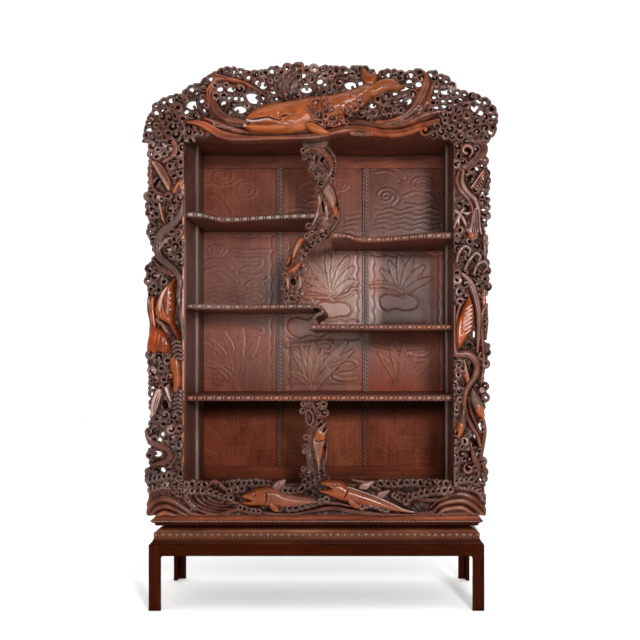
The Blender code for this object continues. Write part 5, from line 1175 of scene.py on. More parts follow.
x0, z1 = at(454.5, 291, -0.215)
x1, z0 = at(477, 352, -0.215)
fish = Carving((x0, x1), (z0, z1), (-0.2370, -0.1950), FINE)
fish.pillow(RFISH, -0.2350, -0.1970, 5.4, power=2.2)
fish.groove([(468, 298), (464.4, 309), (462.2, 320), (461.6, 330)], [0.25, 0.5, 0.5, 0.25], -0.2355, 0.003)
# pale ribs across the flank and a pale line down the face: painted highlight
for k in range(7):
    v = 307 + 4.1 * k
    fish.tube([(463.8 - 0.1 * k, v + 3.4), (467.6, v + 1.0), (472.4 - 0.25 * max(k - 4, 0) ** 2, v - 2.2)], [0.25, 0.62, 0.45], -0.2342, 0.0, PALE)
fish.tube([(460.6, 320), (459.4, 332), (459.0, 343)], [0.3, 0.6, 0.3], -0.2320, 0.0, PALE)
fish.ball(463.5, 332.6, 1.15, -0.2315, PALE)
fish.groove([(461.9, 332.6), (463.5, 331.0), (465.1, 332.6), (463.5, 334.2), (461.9, 332.6)], 0.34, -0.2355, 0.004)
fish.crop(y=(-0.2374, -0.1950))
carve_object(fish, "pilaster_fish_carved", node="pilaster_fish_right", level=0.08, relax=2, paint=sea_fish(at(456, 0, -0.22)[0], at(478, 0, -0.22)[0]))
# ---------------------------------------------------------------- base carving
FISH_L = [(240.8, 497), (245, 493.6), (251, 491.2), (257.4, 488.7), (263, 487.4), (269.5, 486.8), (277, 487.6), (284.2, 491.2), (290, 493), (300, 494.6), (314, 497.6), (329.5, 502), (318, 504.6), (304, 507), (292, 508.6), (278, 508), (268, 507), (261.9, 506.2), (252, 506.2), (245.9, 505.3), (240.2, 502.6), (244, 501.4), (247.9, 500.8), (244, 499.0)]
FISH_R = [(319.6, 482.6), (325, 481), (331, 480.3), (341.6, 481.4), (349.3, 486), (363.3, 490.8), (377.4, 495.8), (392.8, 502.8), (404, 508.4), (415.3, 511.9), (428, 511.4), (438, 511.6), (428, 513.4), (412, 513.6), (392.8, 511.6), (378, 509.4), (362, 506.6), (347.9, 502.6), (340.2, 500.7), (329.6, 496.8), (318.6, 491.8), (323, 489.6), (328.2, 488.4), (323, 486.4)]
x0, z1 = at(144.5, 470, -0.19)
x1, z0 = at(488.5, 516.6, -0.19)
base = Carving((max(x0, -0.7245), min(x1, 0.7245)), (0.3788, z1), (-0.2370, -0.1605), CELL)
base.slab([(148.6, 486.4), (184.4, 486.4), (184.8, 482), (200, 481), (216, 483), (229, 481.6), (262, 481), (272, 481.6), (285, 484), (300, 484), (308, 478), (316, 475), (322, 481), (340, 483.4), (360, 484), (374, 481.6),
           (400, 480.6), (430, 480), (446, 480.6), (452.6, 482.4), (453, 486.4), (484.6, 486.4), (485.2, 518), (147.6, 518)], -0.1945, -0.1608, label=FOAM, lumps=0.004)
# swells at the two ends
base.pillow([(147.6, 517.6), (147.6, 502), (154, 494.6), (166, 491.4), (178, 495), (190, 504), (202, 514), (202, 517.6)], -0.2000, -0.1650, 5.0, label=WAVE)
base.pillow([(430, 517.6), (430, 510), (440, 498), (452, 491), (466, 490), (478, 494), (485.4, 504), (485.4, 517.6)], -0.2000, -0.1650, 5.0, label=WAVE)
for k, (line, w) in enumerate((
        ([(147.4, 505), (154, 494), (166, 490.6), (178, 494), (188, 502), (200, 511)], [2.2, 3.0, 2.6, 1.6]), ([(147.3, 513), (152, 503.6), (161.8, 499.4), (171.5, 501.6), (180, 507), (191, 513.4), (203, 516.6)], [2.4, 3.4, 3.0, 1.8]),
        ([(148, 517), (155.8, 509.4), (164.2, 506.6), (174, 509.6), (186, 515.6)], [2.4, 3.0, 2.4, 1.4]), ([(154, 518), (164.2, 513.2), (175, 516.4)], [2.0, 2.6, 1.6]))):
    base.band(line, w, -0.2020 - 0.0046 * k, -0.1650, ridges=3, amp=0.0020, crown=0.007)
for k, (line, w) in enumerate((
        ([(428, 503), (440, 494), (452, 490), (466, 489), (478, 493), (486, 503)], [1.4, 2.6, 3.0, 2.4]), ([(430, 508), (440, 499.6), (450.3, 496), (463, 494.8), (475.8, 500), (485.6, 511)], [1.4, 2.8, 3.2, 2.4]),
        ([(432, 513), (440, 505.6), (449, 502.4), (463, 501.4), (474.5, 506.6), (484.5, 516)], [1.4, 2.8, 3.2, 2.2]), ([(436, 516.6), (443, 511), (450.3, 509), (463, 508.4), (474, 514.6)], [1.4, 2.6, 2.6, 1.6]))):
    base.band(line, w, -0.2020 - 0.0046 * k, -0.1650, ridges=3, amp=0.0020, crown=0.007)
# breaking wave and the long swells between
for k in range(5):
    f = np.linspace(math.pi, math.pi * 0.42, 9)
    base.band([(224 + (40 - 5.4 * k) * math.cos(q), 492.6 + (22.5 - 3.0 * k) * math.sin(q)) for q in f], [1.0, 1.8, 1.9, 1.5, 0.8], -0.2070 + 0.0018 * k, -0.1650, ridges=1, amp=0.002)
for line, w in (([(196, 517), (220, 514), (240, 509.6), (256, 511.6), (276, 514.6), (300, 514)], [1.2, 2.2, 2.2, 1.2]), ([(286, 516), (310, 511.6), (332, 508.4), (352, 511.6), (380, 514.6), (410, 515.4)], [1.2, 2.4, 2.6, 1.4]),
                ([(226, 504), (236, 503), (246, 506.6), (262, 511)], [1.2, 2.0, 1.4]), ([(300, 508), (318, 503.6), (334, 503.4), (352, 506.6)], [1.4, 2.2, 1.2]), ([(404, 516), (424, 514.6), (446, 514.4)], [1.2, 2.0, 1.2]),
                ([(206, 489), (213, 482), (221, 486), (228, 493)], [1.4, 2.6, 2.0]), ([(398, 492), (420, 499), (440, 500), (452, 494)], [1.6, 2.6, 1.6]), ([(352, 480), (366, 483.4), (380, 490)], [1.2, 2.4, 1.8])):
    base.band(line, w, -0.2080, -0.1650, ridges=2, amp=0.0018)
# rows of breaking foam
row = dict(start=120, sweep=-300, pit=-0.1740, tall=1.45, every=2.5)
foam_row(base, [(187, 484.6), (196, 484.4), (206, 485.4)], 2.5, -0.1990, **row)
foam_row(base, [(233, 483.6), (244, 483.2), (256, 483), (268, 483.4)], 2.5, -0.1990, **row)
foam_row(base, [(187, 492), (195, 491), (203, 491.6)], 2.5, -0.2040, start=140, sweep=300, pit=-0.182)
foam_row(base, [(210, 491.6), (217, 494.4), (224, 497.4), (231, 498)], 2.5, -0.2060, start=100, sweep=300, pit=-0.182)
foam_row(base, [(230, 491), (237, 489.4), (243, 488.4)], 2.4, -0.2010, **row)
foam_row(base, [(185.6, 496), (189, 502), (195, 507.4)], 1.8, -0.2080, start=60, sweep=300, r=0.85, pit=-0.186)
foam_row(base, [(241, 507.6), (250, 510.4), (259, 511.6)], 2.0, -0.2110, r=0.9, **row)
foam_row(base, [(284.6, 490.4), (292, 490.8), (300, 490)], 2.3, -0.2195, start=60, sweep=300, r=0.85, tall=1.6, every=2.5, pit=-0.205)
foam_row(base, [(303, 487.4), (311, 484), (318, 478)], 2.3, -0.2080, **row)
foam_row(base, [(305, 481), (311, 476.6), (318, 474)], 2.0, -0.2020, r=0.9, **row)
foam_row(base, [(289, 508.4), (299, 507.2), (309, 504.4), (318, 502), (326, 499.6)], 2.5, -0.2215, start=60, sweep=300, pit=-0.205, tall=1.3, every=2.4, r=0.95)
foam_row(base, [(362, 507), (370, 504.6), (378, 506), (386, 509.4)], 2.5, -0.2210, start=140, sweep=300, pit=-0.205)
foam_row(base, [(374, 485), (383, 483.4), (393, 484.4), (403, 483), (413, 482.6), (424, 484.2), (435, 484), (446, 484)], 2.6, -0.2010, start=60, sweep=300, pit=-0.174, tall=1.4, every=2.5)
foam_row(base, [(394, 495.6), (401, 499.6)], 2.4, -0.2040, start=140, sweep=300, pit=-0.184)
foam_row(base, [(406, 502), (411, 496.6), (419, 494.6), (427, 492.4), (435, 491.6), (443, 491), (450, 490)], 2.8, -0.2090, start=100, sweep=300, pit=-0.184, tall=1.2)
foam_row(base, [(458, 485), (464, 487.4), (472, 488.4), (479, 492), (483.4, 498)], 2.2, -0.2010, start=120, sweep=300, pit=-0.178)
foam_row(base, [(151, 490), (157, 488), (164, 486.6), (172, 488), (179, 490)], 2.1, -0.1990, start=120, sweep=300, pit=-0.176)
foam(base, [(171, 488), (186, 488), (186, 497), (176, 496)], 3.2, 91, -0.2040, size=(1.2, 1.6), r=(0.6, 0.8), tail=0.5)
rolled_edge(base, [(185.6, 480.4), (200, 479.4), (216, 481), (229, 479.6), (246, 479), (262, 479), (272, 480)], -0.1900, size=1.7, pitch=4.4, r=0.9)
rolled_edge(base, [(360, 481.6), (374, 479.4), (400, 478.6), (430, 478), (452, 480)], -0.1900, size=1.7, pitch=4.4, r=0.9)
base.crop(z=(0.3790, 0.62), y=(-0.2372, -0.1603), x=(at(147.0, 0, -0.19)[0], at(485.8, 0, -0.19)[0]))
for c0, c1 in ((at(144, 0, -0.175)[0], at(185.2, 0, -0.175)[0]), (at(453.0, 0, -0.175)[0], at(489, 0, -0.175)[0])):
    i0, i1 = np.searchsorted(base.x, (c0, c1))
    base.D[i0:i1] = np.maximum(base.D[i0:i1], (base.z - (BASE_Z + 0.0008))[None, :, None])
swell = warm([
    (164, 505, 18, 12, 0.8), (462, 503, 22, 12, 0.8), (214, 508, 18, 8, 0.5), (244, 510, 16, 6, 0.5), (330, 509, 30, 5, 0.6), (196, 490, 10, 5, 0.5)], colour=(0.110, 0.0285, 0.0120))


def tide(co, label, tint, t):
    """Redder swells at the ends, darker foam behind the fish."""
    u = AXIS_U + (co[:, 0] - EYE[0]) / scale_at(-0.205)
    k = np.clip((u - 196) / 20, 0, 1) * np.clip((446 - u) / 12, 0, 1)
    return swell(co, label, tint, t) * (1.22 - 0.42 * k - 0.22 * np.exp(-((u - 305) / 17) ** 4) - 0.09 * np.clip((u - 390) / 10, 0, 1) * np.clip((446 - u) / 12, 0, 1))[:, None]


carve_object(base, "base_openwork", node="base_carving", level=-0.04, paint=tide, most=150000)


def fish_paint(u_head, u_tail):
    """Orange head running into a dark brown back."""
    xa, xb = at(u_head, 0, -0.22)[0], at(u_tail, 0, -0.22)[0]
    def paint(co, label, tint, t):
        f = np.clip((co[:, 0] - xa) / (xb - xa), 0, 1) + 0.12 * wobble(co, 30)
        up = np.clip((co[:, 2] - np.median(co[:, 2])) / 0.03, -1, 1)
        k = np.clip(f * 1.25 + 0.25 * up - 0.10, 0, 1)[:, None]
        brown = np.array([0.110, 0.034, 0.020]) * (0.35 + 1.2 * t)[:, None]
        return np.where((label == FIGURE)[:, None], (tint * (1 - k) + brown * k) * 0.80, tint)
    return paint


x0, z1 = at(239, 477, -0.215)
x1, z0 = at(329, 514, -0.215)
fish = Carving((x0, x1), (z0, z1), (-0.2370, -0.1950), FINE)
fish.pillow([(268.8, 489.6), (270.8, 486.8), (277.2, 481), (285.5, 479.4), (285.2, 484), (284.6, 488), (281, 491)], -0.2180, -0.1970, 3.4, label=PALE)
fish.pillow(FISH_L, -0.2350, -0.1970, 9.0, power=2.2)
fish.pillow([(267.6, 501.6), (273, 502.4), (278, 506.6), (279.4, 511.8), (274.4, 512.2), (269.8, 508)], -0.2370, -0.2150, 3.4)
fish.groove([(240.2, 499.6), (244.6, 500.2), (248.6, 500.8), (252, 501.2)], [0.9, 0.8, 0.6, 0.4], -0.2300, 0.018, label=DEEP)
fish.groove([(263.4, 490.6), (266.4, 496), (265.6, 502), (262, 506)], [0.35, 0.5, 0.5, 0.3], -0.2330, 0.006)
fish.ball(253.4, 494.6, 1.15, -0.2290, PALE)
fish.groove([(251.4, 494.6), (253.4, 492.8), (255.4, 494.6), (253.4, 496.4), (251.4, 494.6)], 0.34, -0.2330, 0.006)
for k in range(3):
    fish.groove([(273.6 + 3.4 * k, 488), (277 + 3.0 * k, 482)], [0.2, 0.4], -0.2170, 0.003)
    fish.groove([(271 + 1.6 * k, 504.6 + 0.6 * k), (273.6 + 1.7 * k, 510.4)], [0.2, 0.38], -0.2370, 0.003)
fish.crop(y=(-0.2374, -0.1950))
carve_object(fish, "base_fish_left_carved", node="base_fish_left", level=0.06, relax=2, paint=fish_paint(262, 306))

x0, z1 = at(316, 478, -0.215)
x1, z0 = at(441, 515, -0.215)
fish = Carving((x0, x1), (z0, z1), (-0.2370, -0.1950), FINE)
fish.pillow(FISH_R, -0.2350, -0.1970, 8.0, power=2.2)
fish.pillow([(346.6, 496.6), (353, 499), (359.6, 504), (361.6, 508.8), (354, 508.2), (348.2, 503.4)], -0.2370, -0.2150, 3.0)
fish.pillow([(357.6, 489), (361, 483.6), (366, 481.6), (373.6, 481.2), (371, 485.6), (366, 490.6)], -0.2200, -0.1970, 2.6, label=PALE)
fish.pillow([(375.6, 496), (379, 491.6), (384, 490), (390, 490.2), (387.4, 494.6), (383, 499)], -0.2180, -0.1970, 2.6, label=PALE)
fish.groove([(318.4, 487), (323, 487.2), (328, 488.2), (332, 489.4)], [1.1, 0.9, 0.7, 0.4], -0.2300, 0.018, label=DEEP)
fish.groove([(345, 484.6), (347.6, 490), (345.6, 496), (341, 500.6)], [0.35, 0.5, 0.5, 0.3], -0.2330, 0.006)
fish.ball(334.6, 485.2, 1.2, -0.2290, PALE)
fish.groove([(332.6, 485.2), (334.6, 483.4), (336.6, 485.2), (334.6, 487), (332.6, 485.2)], 0.34, -0.2330, 0.006)
# pale strand along the back: painted highlight
fish.tube([(348, 486.8), (363, 492), (377, 497), (392.4, 504), (403.6, 509.4), (414, 512)], [0.5, 0.8, 0.7, 0.5], -0.2200, 0.004, PALE, soft=0.003)
for k in range(3):
    fish.groove([(349 + 1.8 * k, 502 + 0.5 * k), (352.4 + 1.7 * k, 507.4)], [0.2, 0.38], -0.2370, 0.003)
    fish.groove([(420 + 2 * k, 508.4 + 0.8 * k), (433 + k, 509.6 + 0.7 * k)], [0.2, 0.35], -0.2130, 0.004)
fish.crop(y=(-0.2374, -0.1950))
carve_object(fish, "base_fish_right_carved", node="base_fish_right", level=0.06, relax=2, paint=fish_paint(345, 420))
# ---------------------------------------------------------------- carved uprights between the shelves
def picture(x, z, y):
    s = scale_at(y)
    return AXIS_U + (x - EYE[0]) / s, AXIS_V - (z - EYE[2]) / s


def dull(co, label, tint, t):
    """The uprights stand back from the light: browner figures, greyer swells."""
    k = np.where((label == FIGURE)[:, None], np.array([0.80, 0.92, 1.25]), np.where((label == PALE)[:, None], np.array([0.86, 0.74, 0.70]), 1.0))
    return tint * k * (1 + 0.22 * wobble(co, 35, 1.0))[:, None]


UY, UB = -0.1480, -0.1040
x0, z1 = at(280, 144.6, -0.13)
x1, z0 = at(343, 301, -0.13)
up = Carving((x0, x1), (1.2345, 1.8860), (-0.1600, -0.1000), CELL)
core = [(-0.064, 1.886), (-0.050, 1.82), (-0.034, 1.785), (-0.010, 1.735), (-0.003, 1.685), (-0.010, 1.62), (-0.012, 1.585), (-0.038, 1.555), (-0.072, 1.515), (-0.120, 1.425), (-0.138, 1.35), (-0.142, 1.27), (-0.138, 1.230),
        (-0.096, 1.230), (-0.094, 1.30), (-0.088, 1.38), (-0.046, 1.465), (0.012, 1.505), (0.028, 1.53), (0.052, 1.58), (0.062, 1.65), (0.048, 1.73), (0.036, 1.80), (0.026, 1.85), (0.010, 1.886)]
up.slab([picture(x, z, -0.128) for x, z in core], -0.1450, UB, label=FOAM, lumps=0.005, r=0.006)
flow(up, [picture(x, z, -0.128) for x, z in core], 4.2, 401, -0.1455, length=(10, 22), width=(0.9, 1.6), back=-0.115, slots=0.10)
for u, v, a, b, q in ((322.4, 160.4, 1.5, 3.4, -32), (317.6, 188.7, 1.5, 1.5, 0), (318.7, 194.5, 1.5, 2.0, 0), (293.6, 282.3, 2.4, 3.6, 12), (323.6, 207, 1.3, 6.0, 12), (307, 236.4, 1.5, 1.5, 0)):
    up.pierce(u, v, a, b, q, y=-0.13, through=(-0.3, -0.112), label=DEEP)
curls(up, [(303.4, 151, 90, 300, 2.8), (307, 148.6, 60, -300, 2.2), (304.6, 158, 140, 300, 2.4), (311, 155, 200, -290, 2.6), (310, 169, 120, 300, 2.3), (316.6, 173.4, 40, 300, 2.5), (315.6, 180, 100, 300, 2.6), (322, 174.4, 40, -300, 2.0),
           (321.3, 183.6, 30, 320, 2.6), (317.4, 188.8, 80, 320, 2.2), (318.7, 194.6, 60, 320, 2.3), (333.2, 176, 30, 300, 2.2), (327.6, 186, 70, -300, 2.2), (332, 180, 20, 280, 1.8)], -0.1430, r=0.75, knobs=0.7)
up.ball(312.4, 163.6, 4.4, -0.1380, FOAM, squash=0.9)
up.band([(311, 146.6), (316, 147.8), (322, 150.4), (327, 155.3), (330.2, 161.5), (331.2, 167.8), (329.4, 173.5), (326.5, 178), (323.4, 184.6)], [2.2, 3.0, 3.2, 3.2, 2.8, 2.2, 1.4], UY - 0.004, UB, ridges=3, amp=0.002)
foam_row(up, [(328.4, 149.4), (332, 154.2), (334.4, 160.4), (335, 167.4), (334, 173)], 1.6, -0.1390, start=200, sweep=-300, r=0.65)
up.pillow([(328.6, 182.6), (332.6, 185), (335.8, 190.3), (337.4, 198.1), (337.6, 206), (336.8, 213.4), (332.3, 212.6), (328.4, 207.5), (324.6, 200.7), (320.4, 193.4), (321.8, 188.6), (324.8, 184.8)], -0.1560, UB, 5.0, label=PALE)
up.pillow([(331, 207), (335, 205), (338.6, 207.6), (339.6, 213), (337.6, 218.4), (334.4, 218), (331.6, 213)], -0.1550, -0.120, 3.6, label=FIGURE)
up.groove([(329, 187), (333.4, 197), (334.6, 209)], [0.3, 0.5, 0.3], -0.1560, 0.004)
up.band([(319, 196), (319.4, 206), (316.4, 216), (313, 224)], [1.4, 2.0, 2.0, 1.4], UY, UB, ridges=2, label=PALE)
up.band([(323, 198), (326, 208), (326.4, 218), (321.6, 228)], [1.2, 1.9, 1.9, 1.2], UY, UB, ridges=2, label=PALE)
up.band([(338, 200), (340, 208), (337.6, 220), (331.6, 230), (325, 238)], [0.8, 1.2, 1.4, 1.6, 1.0], -0.1430, UB, ridges=1, label=FOAM)
curls(up, [(308.6, 226.4, 60, 300, 3.0), (315, 228.6, 100, -300, 2.4), (311.6, 233.4, 40, 300, 2.3), (306.8, 236.4, 100, 320, 2.6), (314.8, 237, 30, 310, 2.4), (318.4, 241, 90, 300, 2.2), (322.6, 235.6, 60, 310, 2.8),
           (327, 232.6, 40, 300, 2.4), (310.6, 246.4, 70, 300, 2.6), (306.8, 250, 120, 300, 2.4), (304.4, 256, 90, 300, 2.2), (313.6, 243.4, 10, 300, 2.2)], -0.1440, r=0.85, pit=-0.118, knobs=0.6)
# pale ball: painted highlight
up.ball(322.2, 230.4, 2.4, -0.1440, PALE)
up.pillow([(298.5, 237.4), (303.9, 236.8), (306.8, 239.2), (304.3, 244.5), (300.6, 251.4), (296.4, 257.8), (292.4, 261.6), (290.6, 257.4), (292, 249), (295, 241.9)], -0.1560, UB, 4.0, label=FIGURE)
up.pillow([(296.8, 243), (299.6, 246), (297, 253), (293.4, 259), (292.8, 252)], -0.1575, -0.13, 2.4, label=PALE)
up.pillow([(290.9, 253.4), (292.2, 258.6), (290.8, 263.9), (287, 267), (285, 265), (287.3, 259)], -0.1520, UB, 2.6, label=FIGURE)
up.pillow([(303.4, 259.8), (303, 263.8), (300.5, 270), (296.3, 274.4), (293, 276), (291, 273.8), (288.6, 276.6), (286.2, 283.3), (284, 286.6), (284.6, 278), (287.2, 271.6), (291.6, 266.7), (297.3, 262.5)], -0.1560, UB, 3.4, label=FIGURE)
up.band([(298.4, 271), (300, 280), (299.2, 288), (295.6, 296)], [1.2, 1.9, 1.9, 1.4], UY, UB, ridges=2, label=PALE)
up.band([(287.6, 278), (287.8, 287), (291, 293), (296, 297.6)], [1.4, 1.9, 1.9, 1.4], UY, UB, ridges=2, label=PALE)
curls(up, [(301.4, 268.4, 20, 300, 2.0), (301, 274.4, 30, 300, 2.0), (300.4, 290.4, 30, 300, 2.0), (283.6, 288, 110, 300, 2.2), (287, 291.4, 120, 300, 2.2), (286, 297.6, 100, 300, 2.6), (292.4, 298.6, 90, 300, 2.2), (298, 298.2, 60, 300, 2.4),
           (285.6, 269.4, 120, 300, 1.9), (284.6, 275, 120, 300, 1.8)], -0.1420, r=0.8, knobs=0.7)
up.crop(z=(1.2343, 1.8846), y=(-0.1598, -0.1003))
carve_object(up, "upright_upper_carved", node="upright_upper", level=0.07, paint=dull, polish=lambda co, label: np.full(len(co), 0.45))

x0, _ = at(299, 400, -0.13)
x1, _ = at(332, 400, -0.13)
up = Carving((x0, x1), (0.4625, 0.8362), (-0.1600, -0.1000), CELL)
up.slab([(305, 398), (322, 398), (323, 420), (326, 440), (324, 460), (326, 492), (302, 492), (307, 462), (308, 440), (306, 420)], -0.1420, UB, label=FOAM, lumps=0.005, r=0.006)
flow(up, [(306, 400), (321, 400), (322, 420), (325, 440), (323, 460), (324, 482), (304, 482), (308, 462), (309, 440), (307, 420)], 4.2, 402, -0.1435, length=(10, 22), width=(0.9, 1.6), back=-0.115, slots=0.2)
up.pierce(325.4, 455, 1.2, 8.0, -4, y=-0.13, through=(-0.3, -0.108), label=DEEP)
up.pierce(313.0, 430.0, 1.0, 4.2, -35, y=-0.13, through=(-0.3, -0.112), label=DEEP)
curls(up, [(303.6, 404, 120, 300, 2.4), (306.6, 402, 60, 300, 2.2), (303, 411, 110, 300, 2.8), (316.8, 404.6, 60, 300, 2.8), (323.4, 404.4, 40, 310, 3.0), (324.6, 413, 30, 320, 3.4), (320.4, 410, 90, 300, 2.2), (312, 402, 100, -300, 2.2),
           (305.8, 437.4, 40, 300, 2.7), (304.4, 451.6, 60, 300, 2.1), (304.6, 446, 100, 300, 1.8)], -0.1410, r=0.9, pit=-0.118, knobs=0.55)
up.tube([(305.8, 416), (306.6, 410.6), (310, 410.6), (313, 415), (312.8, 421.6), (309.6, 425), (306.6, 421.4), (305.8, 416)], 1.05, -0.1450, 0.006, FOAM)
for n in range(6):
    up.hook(308 + 1.6 * (n % 2), 414 + 1.7 * n, 0.8, 77 * n, 280, 0.45, -0.1340, 0.004, FOAM)
up.band([(311.4, 399), (313.4, 408), (316.4, 416.6), (315.6, 424), (311.6, 431), (310, 440)], [1.3, 1.6, 1.9, 1.9, 1.6, 1.2], UY, UB, ridges=2, label=WAVE)
up.band([(310.4, 436), (309.4, 447), (309.2, 458), (311.6, 472), (313, 486)], [2.4, 3.0, 3.4, 3.6, 2.6], UY, UB, ridges=3, label=FOAM, amp=0.002)
up.pillow([(327.4, 420.6), (327.2, 424), (324.2, 430.2), (327.4, 426.8), (328.8, 427.2), (327.8, 432), (326.4, 437), (325.2, 444), (323.6, 451), (321.8, 460), (320.4, 472), (317.8, 473), (316, 463), (313.4, 454), (311.9, 446), (312.2, 437.6), (315, 431.4), (318.2, 426.6), (322.6, 423)], -0.1575, UB, 2.8, label=PALE)
up.pillow([(314.2, 434), (318, 429.4), (322.6, 431.2), (326, 434), (325, 440.2), (319, 441.2), (313.4, 440)], -0.1590, -0.135, 2.6, label=FIGURE)
up.pillow([(318.6, 448), (324, 443), (323, 452), (320.8, 462), (319, 471), (317.8, 462)], -0.1585, -0.135, 1.8, label=FIGURE)
up.groove([(327.6, 423.4), (325.4, 428), (323.6, 432)], [0.7, 0.6, 0.4], -0.1540, 0.010, label=DEEP)
up.groove([(314.8, 440.6), (319.4, 441.6), (324.6, 440)], 0.5, -0.1570, 0.005)
up.ball(320.9, 428.1, 1.2, -0.1530, PALE)
up.groove([(318.9, 428.1), (320.9, 426.4), (322.9, 428.1), (320.9, 429.9), (318.9, 428.1)], 0.36, -0.1560, 0.005)
up.groove([(313.6, 448), (316, 458), (318, 468)], [0.3, 0.6, 0.4], -0.1550, 0.006)
up.band([(327, 442), (326.6, 452), (325, 462), (323.4, 470)], [0.9, 1.3, 1.3, 0.9], -0.1440, UB, ridges=1, label=FOAM)
curls(up, [(303.8, 469, 110, 300, 2.2), (302.6, 474.4, 100, 300, 2.4), (307, 473.4, 70, 300, 2.2), (311.6, 477, 60, 300, 2.3), (322.2, 470.4, 60, 310, 2.0), (323.2, 475.6, 40, 310, 2.8), (317, 477.6, 90, 300, 2.4), (327, 479, 50, 300, 2.0)], -0.1410, r=0.9, pit=-0.118, knobs=0.55)
up.crop(z=(0.4624, 0.8361), y=(-0.1598, -0.1003))
carve_object(up, "upright_lower_carved", node="upright_lower", level=0.07, paint=dull, polish=lambda co, label: np.full(len(co), 0.45))
# ---------------------------------------------------------------- carved back panels
def box_of(name):
    pts = np.array([NODES[name].matrix_world @ v.co for v in NODES[name].data.vertices])
    return pts.min(0), pts.max(0)


class Relief:
    """Low relief on a flat board: H is how far each point stands out of it."""
    window, stroke = Carving.window, Carving.stroke

    def __init__(self, name, step):
        lo, hi = box_of(name)
        self.lo, self.hi, self.name = lo, hi, name
        self.x = np.linspace(lo[0], hi[0], int(round((hi[0] - lo[0]) / step)) + 1)
        self.z = np.linspace(lo[2], hi[2], int(round((hi[2] - lo[2]) / step)) + 1)
        self.h = step
        self.y = lo[1]
        self.H = np.zeros((len(self.x), len(self.z)))

    def line(self, pts):
        return np.array([at(u, v, self.y) for u, v in spline(pts, 1.0)])

    def cut(self, pts, width=1.0, depth=0.0018):
        w = width * scale_at(self.y)
        ix, iz, d, s, t = self.stroke(self.line(pts), 3 * w)
        self.H[ix, iz] -= depth * np.exp(-(d / w) ** 2)

    def raise_(self, pts, width=0.9, height=0.0022):
        """Soft-edged ridge that stands out of a shallow hollow."""
        w = 1.55 * width * scale_at(self.y)
        height = 0.72 * height
        ix, iz, d, s, t = self.stroke(self.line(pts), 3 * w)
        self.H[ix, iz] += height * np.exp(-(d / w) ** 2) - 0.5 * height * np.exp(-((d - 2 * w) / w) ** 2)

    def leaf(self, pts, width, height=0.0034):
        k = scale_at(self.y)
        width = np.asarray(width, float) * 1.5
        ix, iz, d, s, t = self.stroke(self.line(pts), (np.max(width) + 2.0) * k)
        w = np.maximum(along(width, s) * k, 1e-4)
        q = d / w
        body = height * (0.66 + 0.46 * np.clip(q, 0, 1) ** 3)      # rims raised
        old = self.H[ix, iz]
        self.H[ix, iz] = np.where(q < 1, np.maximum(old * 0.3, 0) + body, old - 0.0014 * np.exp(-((d - w) / 0.0040) ** 2))

    def fan(self, u, v, blades, height=0.0034):
        """Sword leaves rising from one root: (tip across, tip down, bend, half width)."""
        for a, b, bend, w in blades:
            mu, mv = (u + a) / 2, (v + b) / 2
            du, dv = a - u, b - v
            self.leaf([(u, v), (mu - dv * bend, mv + du * bend), (a, b)], [w * 0.60, w * 0.98, w * 1.10, w * 1.10, w * 1.00, w * 0.45], height)

    def spiral(self, u, v, rx, ry, turns=2.2, start=0.0, hand=1, width=0.75, height=0.0022, least=0.12):
        f = np.linspace(0, 1, int(26 * turns))
        q = start + hand * f * turns * 2 * math.pi
        g = 1 - (1 - least) * f
        self.raise_([(u + rx * c * math.cos(p), v + ry * c * math.sin(p)) for c, p in zip(g, q)], width, height)

    def ripples(self, u0, u1, v0, v1, n, wave=1.6, phase=0.0, height=0.0018):
        """Rows of water lines."""
        for i in range(n):
            v = v0 + (v1 - v0) * i / max(n - 1, 1)
            us = np.linspace(u0 + 2 * math.sin(i * 1.7 + phase), u1 + 2 * math.sin(i * 2.3 + phase), 12)
            self.raise_([(u, v + wave * math.sin((u - u0) * 0.32 + i * 0.9 + phase)) for u in us], 0.7, height)

    def scroll(self, pts, width=0.8, height=0.0022):
        self.raise_(pts, width, height)

    def border(self, u0, u1, v0, v1, sides="lrtb", bump=1.5):
        """Wavy cut line along the chosen sides."""
        def edge(a, b, nx, ny, n):
            f = np.linspace(0, 1, n)
            return [(a[0] + (b[0] - a[0]) * q + nx * bump * abs(math.sin(q * (n - 1) * 0.55)), a[1] + (b[1] - a[1]) * q + ny * bump * abs(math.sin(q * (n - 1) * 0.55))) for q in f]
        for s, a, b, nx, ny in (("l", (u0, v0), (u0, v1), 1, 0), ("r", (u1, v0), (u1, v1), -1, 0), ("t", (u0, v0), (u1, v0), 0, 1), ("b", (u0, v1), (u1, v1), 0, -1)):
            if s in sides:
                n = max(6, int(math.hypot(b[0] - a[0], b[1] - a[1]) / 2.4))
                self.cut(edge(a, b, nx, ny, n), 1.0, 0.0020)
        k = at(u0, v0, self.y), at(u1, v1, self.y)

    def cloud(self, pts, height=0.0030):
        """Raised shape with a lobed outline and a cut round it."""
        poly = np.array([at(u, v, self.y) for u, v in closed_spline(pts, 1.0)])
        lo, hi = poly.min(0) - 0.012, poly.max(0) + 0.012
        sx, sz = self.window(lo[0], hi[0], lo[1], hi[1])
        X, Z = self.x[sx][:, None], self.z[sz][None, :]
        if not X.size or not Z.size:
            return
        sd = line_distance(np.vstack([poly, poly[:1]]), X, Z)
        inn = inside(poly, X, Z)
        sub = self.H[sx, sz]
        self.H[sx, sz] = np.where(inn, sub * 0.3 + height * np.clip(sd / 0.006, 0, 1) ** 0.5, sub) - 0.0022 * np.exp(-(sd / 0.0042) ** 2)

    def make(self, name, body="case", tone=(0.130, 0.0370, 0.0210), body_relief=False):
        X, Z = np.meshgrid(self.x, self.z, indexing="ij")
